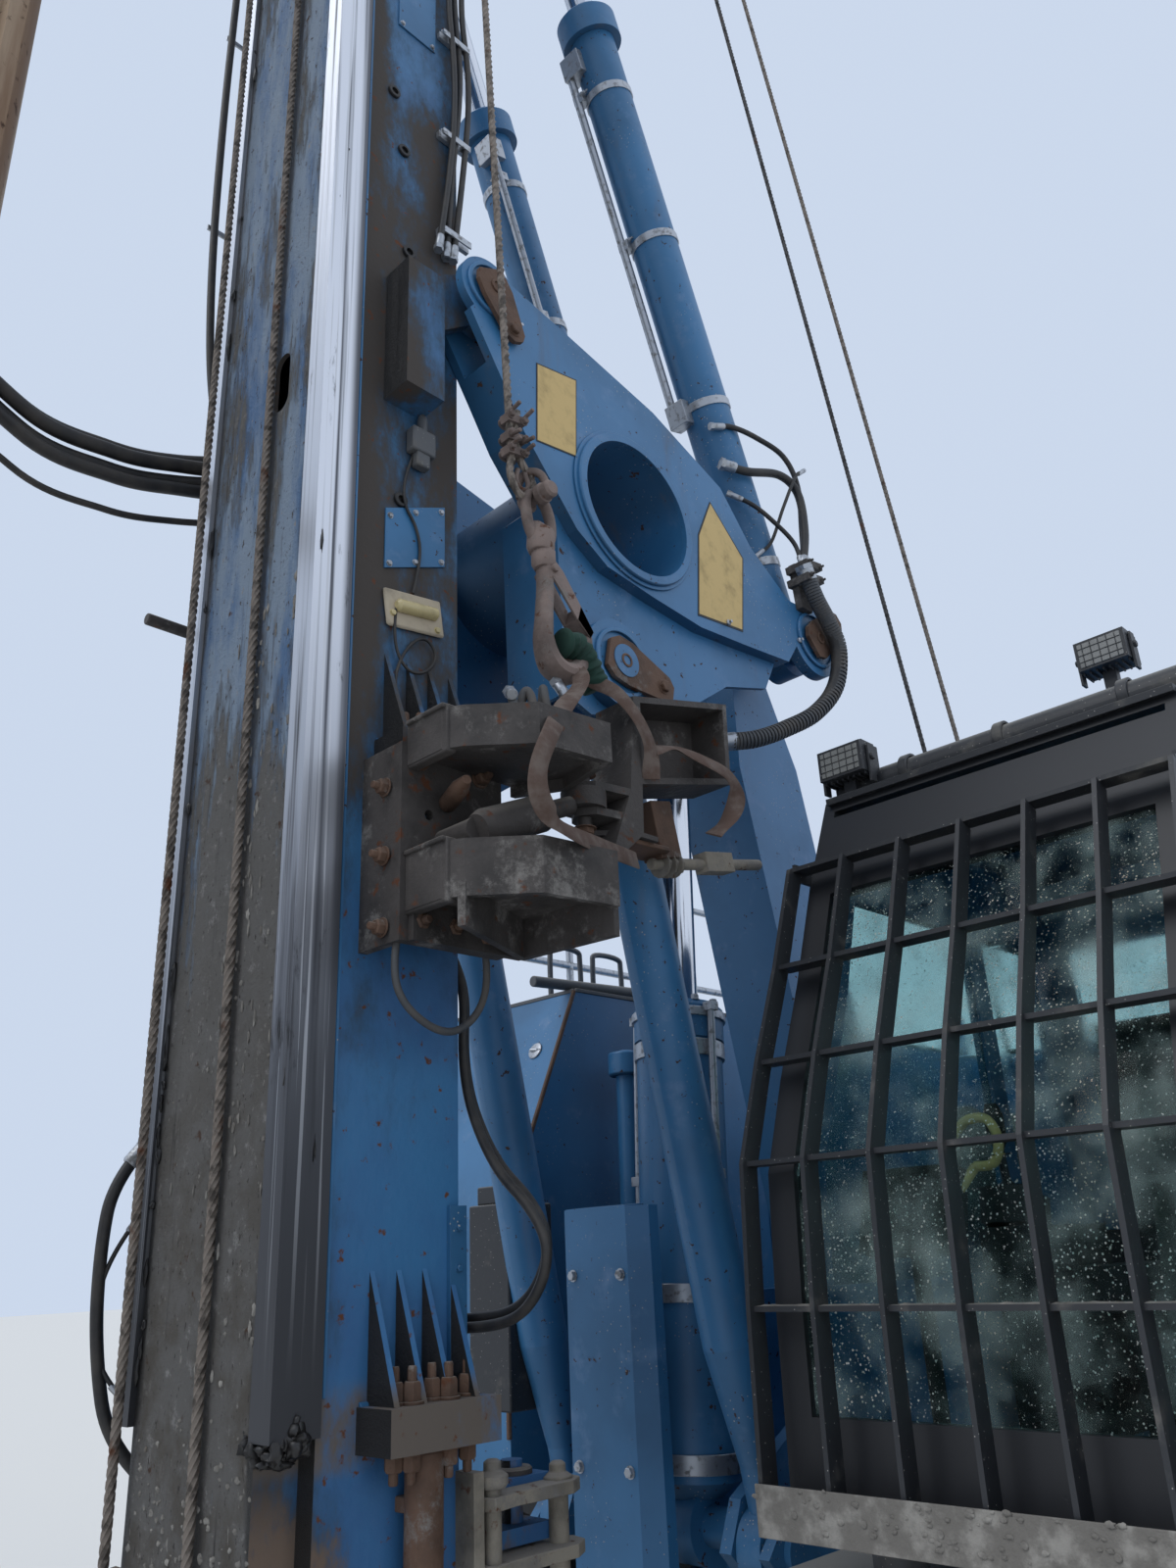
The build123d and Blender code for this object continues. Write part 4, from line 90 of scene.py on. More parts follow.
def place_camera():
    """Camera at the photograph's place, angle and lens."""
    data = bpy.data.cameras.new("camera")
    data.sensor_width = SENSOR
    data.lens = SENSOR * FOCAL_PX / FRAME_HEIGHT_PX
    data.clip_start = 0.05
    data.clip_end = 400
    camera = bpy.data.objects.new("camera", data)
    bpy.context.scene.collection.objects.link(camera)
    level = Vector((-sin(CAMERA_AZIMUTH), cos(CAMERA_AZIMUTH), 0))
    right = level.cross(Vector((0, 0, 1)))
    ahead = level * cos(CAMERA_PITCH) + Vector((0, 0, sin(CAMERA_PITCH)))
    up = right.cross(ahead)
    rolled = right * cos(CAMERA_ROLL) + up * sin(CAMERA_ROLL)
    top = rolled.cross(ahead)
    turn = Matrix((rolled, top, -ahead)).transposed().to_4x4()
    camera.matrix_world = Matrix.Translation(CAMERA_PLACE) @ turn
    bpy.context.scene.camera = camera


class Look:
    """Node graph of one procedural material, built a layer at a time."""

    def __init__(self, name, colour, rough=0.5, metal=0.0):
        self.mat = bpy.data.materials.new(name)
        self.mat.use_nodes = True
        self.tree = self.mat.node_tree
        self.shader = self.tree.nodes["Principled BSDF"]
        self.shader.inputs["Metallic"].default_value = metal
        self.where = self.node("ShaderNodeTexCoord").outputs["Object"]
        self.colour = self.rgb(colour)
        self.rough = self.value(rough)
        self.height = None

    def node(self, kind, **settings):
        made = self.tree.nodes.new(kind)
        for key, setting in settings.items():
            setattr(made, key, setting)
        return made

    def link(self, out, into):
        self.tree.links.new(out, into)

    def rgb(self, colour):
        made = self.node("ShaderNodeRGB")
        made.outputs[0].default_value = (*colour, 1)
        return made.outputs[0]

    def value(self, number):
        made = self.node("ShaderNodeValue")
        made.outputs[0].default_value = number
        return made.outputs[0]

    def stretched(self, stretch):
        if stretch == (1, 1, 1):
            return self.where
        scaled = self.node("ShaderNodeMapping")
        scaled.inputs["Scale"].default_value = stretch
        self.link(self.where, scaled.inputs["Vector"])
        return scaled.outputs[0]

    def noise(self, scale, detail=4, stretch=(1, 1, 1), rough=0.6):
        made = self.node("ShaderNodeTexNoise")
        made.inputs["Scale"].default_value = scale
        made.inputs["Detail"].default_value = detail
        made.inputs["Roughness"].default_value = rough
        self.link(self.stretched(stretch), made.inputs["Vector"])
        return made.outputs["Fac"]

    def cells(self, scale, stretch=(1, 1, 1)):
        made = self.node("ShaderNodeTexVoronoi")
        made.inputs["Scale"].default_value = scale
        self.link(self.stretched(stretch), made.inputs["Vector"])
        return made.outputs["Distance"]

    def fade(self, source, low, high):
        """Share from 0 at low to 1 at high, smooth between."""
        made = self.node("ShaderNodeMapRange", interpolation_type="SMOOTHSTEP")
        made.inputs["From Min"].default_value = low
        made.inputs["From Max"].default_value = high
        self.link(source, made.inputs["Value"])
        return made.outputs[0]

    def math(self, kind, a, b):
        made = self.node("ShaderNodeMath", operation=kind)
        for source, socket in ((a, made.inputs[0]), (b, made.inputs[1])):
            if isinstance(source, (int, float)):
                socket.default_value = source
            else:
                self.link(source, socket)
        return made.outputs[0]

    def along(self, axis):
        split = self.node("ShaderNodeSeparateXYZ")
        self.link(self.where, split.inputs[0])
        return split.outputs[axis]

    def facing(self, axis):
        split = self.node("ShaderNodeSeparateXYZ")
        self.link(self.node("ShaderNodeNewGeometry").outputs["Normal"], split.inputs[0])
        return split.outputs[axis]

    def layer(self, share, colour, rough=None):
        """Lays a colour, and a roughness, over what is there by a share."""
        mixed = self.node("ShaderNodeMix", data_type="RGBA")
        self.link(share, mixed.inputs[0])
        self.link(self.colour, mixed.inputs[6])
        if isinstance(colour, tuple):
            mixed.inputs[7].default_value = (*colour, 1)
        else:
            self.link(colour, mixed.inputs[7])
        self.colour = mixed.outputs[2]
        if rough is not None:
            blended = self.node("ShaderNodeMix")
            self.link(share, blended.inputs[0])
            self.link(self.rough, blended.inputs[2])
            blended.inputs[3].default_value = rough
            self.rough = blended.outputs[0]
        return self

    def raise_by(self, source, amount):
        scaled = self.math("MULTIPLY", source, amount)
        self.height = scaled if self.height is None else self.math("ADD", self.height, scaled)
        return self

    def done(self, strength=0.6, distance=0.01):
        self.link(self.colour, self.shader.inputs["Base Color"])
        self.link(self.rough, self.shader.inputs["Roughness"])
        if self.height is not None:
            bump = self.node("ShaderNodeBump")
            bump.inputs["Strength"].default_value = strength
            bump.inputs["Distance"].default_value = distance
            self.link(self.height, bump.inputs["Height"])
            self.link(bump.outputs[0], self.shader.inputs["Normal"])
        return self.mat


def blue_paint(name="blue_paint", dirt=0.5, rust=0.5, spatter=0.5, base=BLUE, trim=None):
    """Scuffed blue enamel with faded patches, painted shade on undersides, rust spots, runs of dirt
    and cement spatter.
    """
    look = Look(name, base, 0.42)
    look.layer(look.fade(look.noise(1.7, 5), 0.35, 0.75), tuple(c * 0.66 for c in base), 0.5)
    look.layer(look.fade(look.noise(9, 6), 0.56, 0.8), (0.1, 0.2, 0.36), 0.6)
    # Painted shade: faces turned downwards are darkened to a deep copy of the blue.
    under = look.fade(look.facing("Z"), -0.1, -0.7)
    look.layer(look.math("MULTIPLY", under, 0.7), tuple(c * 0.35 for c in base), 0.7)
    runs = look.fade(look.noise(7, 6, (1, 1, 0.16)), 0.68 - 0.2 * dirt, 0.95 - 0.2 * dirt)
    look.layer(look.math("MULTIPLY", runs, 0.75), MUD, 0.85)
    scuff = look.fade(look.noise(4.6, 10, (1, 1, 0.7), 0.8), 0.69 - 0.06 * dirt, 0.72)
    look.layer(scuff, (0.06, 0.045, 0.04), 0.85)
    specks = look.fade(look.noise(34, 5), 0.69 - 0.07 * rust, 0.71 - 0.07 * rust)
    look.layer(specks, (0.045, 0.022, 0.014), 0.9)
    splash = look.fade(look.cells(60), 0.13 + 0.09 * spatter, 0.06)
    patchy = look.fade(look.noise(3.1, 2), 0.5, 0.62)
    look.layer(look.math("MULTIPLY", splash, patchy), CEMENT, 0.95)
    if trim:
        look.layer(trim(look), (0.012, 0.013, 0.016), 0.5)
    look.raise_by(look.noise(60, 3), 0.12).raise_by(specks, -0.15)
    return look.done(0.35, 0.004)


def cab_front(look):
    """Share of black paint: the cab's bent front and the pillars beside it."""
    lean = look.math("MAXIMUM", look.math("SUBTRACT", look.along("Z"), CAB_BEND_Z), 0)
    ahead = look.math("ADD", look.along("X"), look.math("MULTIPLY", lean, CAB_LEAN))
    return look.fade(ahead, CAB_FRONT_X - 0.125, CAB_FRONT_X - 0.12)


def mast_face():
    """Mast front: worn blue under grey crust that thickens lower down, greasy by the rails."""
    look = Look("mast_face", (0.06, 0.17, 0.37), 0.55)
    y, z = look.along("Y"), look.along("Z")
    look.layer(look.fade(look.noise(5, 8, (1, 1, 0.2), 0.7), 0.36, 0.56), (0.27, 0.36, 0.48), 0.65)
    grime = look.noise(3.4, 10, (1, 1.7, 0.3), 0.74)
    crust = look.math("ADD", grime, look.math("MULTIPLY", look.fade(z, 3.9, 2.1), 0.24))
    thick = look.fade(crust, 0.53, 0.63)
    look.layer(thick, (0.19, 0.186, 0.18), 0.92)
    flecks = look.fade(look.noise(19, 9, rough=0.78), 0.55, 0.66)
    look.layer(look.math("MULTIPLY", flecks, thick), (0.36, 0.355, 0.35), 0.95)
    brown = look.math("MULTIPLY", look.fade(z, 3.2, 1.3), look.fade(look.noise(7, 9), 0.42, 0.62))
    look.layer(brown, (0.13, 0.117, 0.1), 0.95)
    look.layer(look.fade(look.noise(12, 9, (1, 1, 0.05), 0.72), 0.57, 0.66), (0.04, 0.036, 0.035),
               0.6)
    pits = look.fade(look.noise(46, 8, (1, 1, 0.6), 0.75), 0.58, 0.64)
    look.layer(pits, (0.06, 0.052, 0.048), 0.9)
    look.layer(look.fade(look.noise(34, 7, (1, 1, 0.5), 0.7), 0.62, 0.68), CEMENT, 0.95)
    look.layer(look.fade(look.noise(15, 6), 0.65, 0.72), (0.09, 0.045, 0.025), 0.9)
    sway = look.math("MULTIPLY", look.noise(6, 7, (1, 1, 0.3), 0.7), 0.09)
    edge = look.math("ADD", look.math("ABSOLUTE", y, 0), sway)
    look.layer(look.fade(edge, 0.285, 0.31), (0.022, 0.02, 0.019), 0.42)
    rub = look.math("ABSOLUTE", look.math("SUBTRACT", y, 0.055), 0)
    worn = look.fade(look.math("ADD", rub, sway), 0.085, 0.055)
    look.layer(look.math("MULTIPLY", worn, 0.8), (0.045, 0.041, 0.04), 0.7)
    look.raise_by(look.noise(30, 9, rough=0.8), 1.0).raise_by(look.noise(110, 4), 0.4)
    look.raise_by(look.math("MULTIPLY", look.noise(62, 8, rough=0.8), thick), 1.0)
    look.raise_by(thick, 0.35)
    return look.done(1.0, 0.022)


def mast_flank():
    """Mast side: painted shade in darker blue beside the linkage and near the rails, sooty brown
    under the linkage, clean blue at working height.
    """
    look = Look("mast_flank", BLUE, 0.45)
    z = look.along("Z")
    look.layer(look.fade(look.noise(1.9, 5), 0.35, 0.75), (0.03, 0.1, 0.25), 0.5)
    cloud = look.noise(4.2, 7, (1, 1, 0.45), 0.68)
    # Band beside the linkage and strip near the rails: mask for painted shade, and for soot where
    # it is deepest.
    high = look.math("MULTIPLY", look.fade(z, 2.7, 3.3), look.fade(z, 9.5, 5.0))
    edge = look.fade(look.along("X"), FACE_X - 0.3, FACE_X - 0.1)
    share = look.math("ADD", look.math("MULTIPLY", high, 0.26), look.math("MULTIPLY", edge, 0.2))
    shade_and_soot = look.math("ADD", cloud, share)
    # Painted shade: darker blue over that band and strip.
    look.layer(look.fade(shade_and_soot, 0.52, 0.8), (0.02, 0.055, 0.1), 0.7)
    # Soot: brown where the painted-shade mask is deepest.
    soot = look.fade(look.math("ADD", shade_and_soot, look.math("MULTIPLY", look.noise(38, 6), 0.12)),
                     0.72, 0.9)
    look.layer(soot, (0.05, 0.042, 0.037), 0.85)
    ledge = look.math("MULTIPLY", look.fade(z, 1.64, 1.58), look.fade(z, 1.44, 1.48))
    look.layer(look.math("MULTIPLY", ledge, look.fade(cloud, 0.3, 0.5)), (0.12, 0.1, 0.085), 0.95)
    look.layer(look.fade(look.noise(26, 5), 0.63, 0.7), RUST, 0.9)
    low = look.math("MULTIPLY", look.fade(z, 1.5, 1.3), look.fade(cloud, 0.5, 0.6))
    look.layer(low, (0.14, 0.1, 0.075), 0.9)
    look.raise_by(look.noise(45, 6), 0.5)
    return look.done(0.5, 0.006)


def rail_steel():
    """Guide rail rubbed bright where the shoes run, greasy outside and low down."""
    look = Look("rail_steel", (0.1, 0.105, 0.12), 0.42, 0.8)
    x, z = look.along("X"), look.along("Z")
    fine = look.noise(34, 4, (1, 1, 0.01))
    run = look.fade(x, FACE_X - 0.115, FACE_X - 0.085)
    run = look.math("MULTIPLY", run, look.fade(z, 1.9, 3.9))
    bare = look.math("MULTIPLY", run, look.fade(fine, 0.34, 0.52))
    look.layer(bare, (0.62, 0.64, 0.69), 0.28)
    scores = look.math("MULTIPLY", look.fade(look.noise(60, 3, (1, 1, 0.006)), 0.58, 0.62),
                       look.fade(z, 1.6, 2.0))
    look.layer(scores, (0.5, 0.51, 0.54), 0.3)
    look.layer(look.fade(look.noise(12, 6, (1, 1, 0.03)), 0.55, 0.66), (0.045, 0.045, 0.05), 0.5)
    low = look.math("MULTIPLY", look.fade(z, 3.0, 1.6), 0.7)
    look.layer(low, (0.05, 0.05, 0.053), 0.55)
    look.layer(look.fade(look.noise(6, 8, (1, 1, 0.2), 0.7), 0.6, 0.68), GREASE, 0.42)
    look.raise_by(fine, 0.4)
    return look.done(0.3, 0.003)


def old_steel(name="old_steel", base=OLD_STEEL, metal=0.15, crust=0.5):
    """Worn steel with remains of paint, cement dust on top, rust and dents."""
    look = Look(name, base, 0.75, metal)
    look.layer(look.fade(look.noise(6, 6), 0.4, 0.7), tuple(c * 0.45 for c in base), 0.7)
    look.layer(look.fade(look.noise(7, 11, rough=0.8), 0.58 - 0.1 * crust, 0.68),
               (0.2, 0.19, 0.18), 0.95)
    dust = look.math("MULTIPLY", look.fade(look.facing("Z"), 0.3, 0.9), crust)
    look.layer(dust, (0.28, 0.255, 0.225), 0.95)
    look.layer(look.fade(look.noise(21, 6), 0.6, 0.7), RUST, 0.9)
    look.raise_by(look.noise(24, 7, rough=0.7), 0.8).raise_by(look.noise(90, 3), 0.3)
    return look.done(0.7, 0.006)


def dark_paint(name="dark_paint", base=(0.018, 0.02, 0.024), dust=0.5):
    """Black paint, dusty on top and in patches."""
    look = Look(name, base, 0.5)
    look.layer(look.fade(look.noise(9, 6), 0.62 - 0.12 * dust, 0.8), (0.12, 0.115, 0.105), 0.85)
    top = look.math("MULTIPLY", look.fade(look.facing("Z"), 0.4, 0.95), dust)
    look.layer(top, (0.34, 0.33, 0.3), 0.95)
    look.layer(look.fade(look.cells(70), 0.12, 0.05), CEMENT, 0.9)
    look.raise_by(look.noise(50, 5), 0.4)
    return look.done(0.4, 0.004)


def rubber(name="rubber", base=(0.012, 0.012, 0.013), dust=0.35):
    look = Look(name, base, 0.55)
    dusty = look.math("MULTIPLY", look.fade(look.noise(12, 5), 0.35, 0.75), dust)
    look.layer(dusty, (0.11, 0.095, 0.08), 0.9)
    look.raise_by(look.noise(160, 2), 0.3)
    return look.done(0.3, 0.002)


def wire_rope_steel(name, base):
    look = Look(name, base, 0.6, 0.35)
    look.layer(look.fade(look.noise(30, 4), 0.45, 0.65), tuple(c * 0.35 for c in base), 0.7)
    look.layer(look.fade(look.noise(9, 5), 0.6, 0.75), RUST, 0.85)
    return look.done()


def chrome_rod():
    look = Look("chrome_rod", (0.6, 0.62, 0.66), 0.12, 1.0)
    look.layer(look.fade(look.noise(30, 3, (1, 1, 0.05)), 0.5, 0.8), (0.4, 0.41, 0.43), 0.25)
    look.layer(look.fade(look.noise(60, 4), 0.68, 0.74), (0.2, 0.18, 0.16), 0.6)
    return look.done()


def zinc():
    look = Look("zinc", (0.4, 0.42, 0.45), 0.4, 0.8)
    look.layer(look.fade(look.noise(40, 4), 0.5, 0.7), (0.2, 0.2, 0.2), 0.6)
    look.raise_by(look.noise(120, 2), 0.2)
    return look.done(0.3, 0.002)


def track_iron():
    look = Look("track_iron", (0.075, 0.06, 0.05), 0.8, 0.3)
    look.layer(look.fade(look.noise(7, 7), 0.42, 0.66), (0.16, 0.12, 0.085), 0.95)
    look.layer(look.fade(look.noise(16, 5), 0.6, 0.7), (0.28, 0.27, 0.27), 0.5)
    look.raise_by(look.noise(26, 8, rough=0.7), 1.0)
    return look.done(0.9, 0.012)


def kelly_steel():
    look = Look("kelly_steel", (0.2, 0.12, 0.07), 0.65, 0.4)
    look.layer(look.fade(look.noise(9, 6, (1, 1, 0.1)), 0.4, 0.65), (0.34, 0.25, 0.17), 0.6)
    look.layer(look.fade(look.noise(24, 5), 0.6, 0.7), (0.06, 0.03, 0.018), 0.9)
    look.raise_by(look.noise(50, 5), 0.5)
    return look.done(0.5, 0.004)


def cab_pane():
    """Tinted pane with dried cement spatter, cracks of dirt low down."""
    look = Look("cab_pane", (0.55, 0.72, 0.7), 0.04)
    dots = look.fade(look.cells(75), 0.2, 0.12)
    patch = look.fade(look.noise(2.2, 4), 0.42, 0.62)
    fine = look.fade(look.noise(130, 3), 0.66, 0.7)
    film = look.math("MULTIPLY", look.fade(look.noise(5, 6), 0.4, 0.8), 0.3)
    cracks = look.fade(look.cells(9, (1, 1, 1)), 0.02, 0.0)
    marks = look.math("MAXIMUM", look.math("MULTIPLY", dots, patch), fine)
    marks = look.math("MAXIMUM", marks, cracks)
    dirt = look.math("MAXIMUM", marks, film)
    look.layer(dirt, (0.5, 0.5, 0.46), 0.9)
    clear = look.math("SUBTRACT", 1.0, dirt)
    look.link(clear, look.shader.inputs["Transmission Weight"])
    look.shader.inputs["IOR"].default_value = 1.12
    return look.done()


def plain_plastic(name, base, rough=0.55):
    look = Look(name, base, rough)
    look.layer(look.fade(look.noise(14, 5), 0.45, 0.8), tuple(c * 0.6 for c in base), 0.7)
    look.raise_by(look.noise(140, 2), 0.2)
    return look.done(0.25, 0.001)


def webbing_cloth():
    look = Look("webbing_cloth", (0.085, 0.052, 0.04), 0.9)
    look.layer(look.fade(look.noise(18, 5), 0.4, 0.7), (0.14, 0.11, 0.095), 0.95)
    weave = look.node("ShaderNodeTexWave", wave_type="BANDS", bands_direction="Z")
    weave.inputs["Scale"].default_value = 130
    look.link(look.where, weave.inputs["Vector"])
    look.raise_by(weave.outputs["Fac"], 0.5)
    return look.done(0.5, 0.002)


def crust_look():
    """Dried cement and mud, pale and rough."""
    look = Look("cement_crust", (0.15, 0.142, 0.13), 0.95)
    look.layer(look.fade(look.noise(14, 6), 0.45, 0.65), (0.27, 0.26, 0.24), 0.95)
    look.layer(look.fade(look.noise(9, 5), 0.6, 0.75), (0.1, 0.085, 0.07), 0.95)
    look.raise_by(look.noise(60, 6), 0.8)
    return look.done(0.8, 0.006)


BLUE_PAINT = blue_paint()
CLEAN_BLUE = blue_paint("clean_blue", 0.25, 0.3, 0.3)
OLD_BLUE = blue_paint("old_blue", 0.7, 0.8, 0.6, (0.045, 0.14, 0.33))
GEAR_STEEL = old_steel("gear_steel", (0.062, 0.055, 0.052), 0.1, 0.6)
DARK = dark_paint()
HOSE = rubber()
ZINC = zinc()
CAST = old_steel("cast", (0.12, 0.115, 0.11), 0.3, 0.2)
GREY_PAINT = dark_paint("grey_paint", (0.075, 0.08, 0.088), 0.6)
GREY_HOSE = rubber("grey_hose", (0.05, 0.055, 0.062), 0.7)
RUBBER_BLACK = rubber("rubber_black", (0.008, 0.008, 0.009), 0.15)
DRY_ROPE = wire_rope_steel("dry_rope", (0.2, 0.17, 0.145))
WIRE_ROPE = wire_rope_steel("wire_rope", (0.07, 0.068, 0.068))
OLD_IRON = old_steel("old_iron", (0.24, 0.185, 0.165), 0.35, 0.4)
RUSTY = old_steel("rusty", (0.13, 0.075, 0.05), 0.2, 0.4)
CEMENTED = old_steel("cemented", (0.3, 0.27, 0.22), 0.15, 1.0)
STRAP = webbing_cloth()
GREEN_CLOTH = plain_plastic("green_cloth", (0.012, 0.045, 0.033), 0.9)
SIGN_YELLOW = plain_plastic("sign_yellow", (0.56, 0.4, 0.16), 0.6)
SIGN_EDGE = plain_plastic("sign_edge", (0.02, 0.02, 0.022), 0.6)
PLATE_CREAM = plain_plastic("plate_cream", (0.42, 0.36, 0.27), 0.7)
BLACK_GREASE = plain_plastic("black_grease", (0.012, 0.011, 0.011), 0.38)
CEMENT_CRUST = crust_look()
LAMP_LENS = plain_plastic("lamp_lens", (0.2, 0.205, 0.2), 0.25)
AMBER = plain_plastic("amber", (0.5, 0.1, 0.012), 0.35)
VIAL = plain_plastic("vial", (0.5, 0.42, 0.22), 0.25)

# Material of each frame node
NODE_LOOKS = (
    (track_iron(), ("track_left", "track_right")),
    (dark_paint("frame_paint", (0.03, 0.033, 0.04), 0.8), ("track_wheels", "track_frames",
                                                         "carbody")),
    (CAST, ("slew_ring", "engine_block", "sheave_main_rear", "sheave_main_front",
            "sheave_aux_rear", "sheave_aux_side", "main_winch_drum", "aux_winch_drum",
            "swivel")),
    (CLEAN_BLUE, ("right_house", "left_tank", "engine_house", "upper_link", "front_cover")),
    (blue_paint("cab_blue", 0.25, 0.3, 0.3, trim=cab_front), ("cab_shell", "cab_door")),
    (BLUE_PAINT, ("turret_frame", "lower_arms", "triangle_link", "luffing_barrel",
                  "mast_cylinder_barrels", "counterweight", "winch_frame", "mast_head",
                  "rotary_carriage", "rotary_drive", "kelly_guide")),
    (dark_paint("deck_paint", (0.07, 0.072, 0.075), 0.7), ("platforms",)),
    (cab_pane(), ("cab_glass", "cab_door_glass")),
    (plain_plastic("seat_cloth", (0.02, 0.02, 0.022), 0.8), ("cab_seat",)),
    (DARK, ("cab_guard", "cab_visor")),
    (zinc(), ("handrails",)),
    (chrome_rod(), ("luffing_rod", "mast_cylinder_rods")),
    (rail_steel(), ("mast_rails",)),
    (kelly_steel(), ("kelly_bar",)),
    (GEAR_STEEL, ("guide_bracket", "guide_jaws", "guide_cylinder", "guide_box")),
)


def wear_looks():
    for material, names in NODE_LOOKS:
        for name in names:
            mesh = NODES[name].data
            mesh.materials.clear()
            mesh.materials.append(material)
    face, flank = mast_face(), mast_flank()
    for name in ("mast_foot", "mast_lower", "mast_main"):
        mesh = NODES[name].data
        mesh.materials.clear()
        mesh.materials.append(face)
        mesh.materials.append(flank)
        for polygon in mesh.polygons:
            polygon.material_index = 0 if polygon.normal.x > 0.7 else 1


def stage_and_light():
    """Pale floor, pale surroundings, a broad soft key from above and a fill."""
    bpy.ops.mesh.primitive_plane_add(size=160, location=(0, 0, 0))
    floor = bpy.context.object
    floor.name = "floor"
    look = Look("floor_paint", (0.62, 0.62, 0.61), 0.9)
    floor.data.materials.append(look.done())
    world = bpy.data.worlds.new("world")
    bpy.context.scene.world = world
    world.use_nodes = True
    tree = world.node_tree
    back = tree.nodes["Background"]
    back.inputs["Color"].default_value = (0.8, 0.88, 1.0, 1)
    back.inputs["Strength"].default_value = 0.75
    seen = tree.nodes.new("ShaderNodeBackground")
    seen.inputs["Color"].default_value = (0.6, 0.69, 0.84, 1)
    rays = tree.nodes.new("ShaderNodeLightPath")
    share = rays.outputs["Is Camera Ray"]
    for ray in ("Is Transmission Ray", "Is Glossy Ray"):
        either = tree.nodes.new("ShaderNodeMath")
        either.operation = "MAXIMUM"
        tree.links.new(share, either.inputs[0])
        tree.links.new(rays.outputs[ray], either.inputs[1])
        share = either.outputs[0]
    mixed = tree.nodes.new("ShaderNodeMixShader")
    tree.links.new(share, mixed.inputs[0])
    tree.links.new(back.outputs[0], mixed.inputs[1])
    tree.links.new(seen.outputs[0], mixed.inputs[2])
    tree.links.new(mixed.outputs[0], tree.nodes["World Output"].inputs[0])
    for name, turn, strength, spread in (
        ("key", (radians(38), 0, radians(75)), 1.6, 50),
        ("fill", (radians(62), 0, radians(-150)), 0.35, 80),
    ):
        data = bpy.data.lights.new(name, "SUN")
        data.energy = strength
        data.angle = radians(spread)
        lamp = bpy.data.objects.new(name, data)
        lamp.rotation_euler = turn
        bpy.context.scene.collection.objects.link(lamp)


def at(dx, y, z):
    """Place measured from the mast's front face."""
    return Vector((FACE_X + dx, y, z))


def link_piece(made, body, material):
    """Puts a piece in the scene with its material and slot, on its body if it has one."""
    bpy.context.scene.collection.objects.link(made)
    if not made.data.materials:
        made.data.materials.append(material)
    if body:
        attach(made, body)
    return made


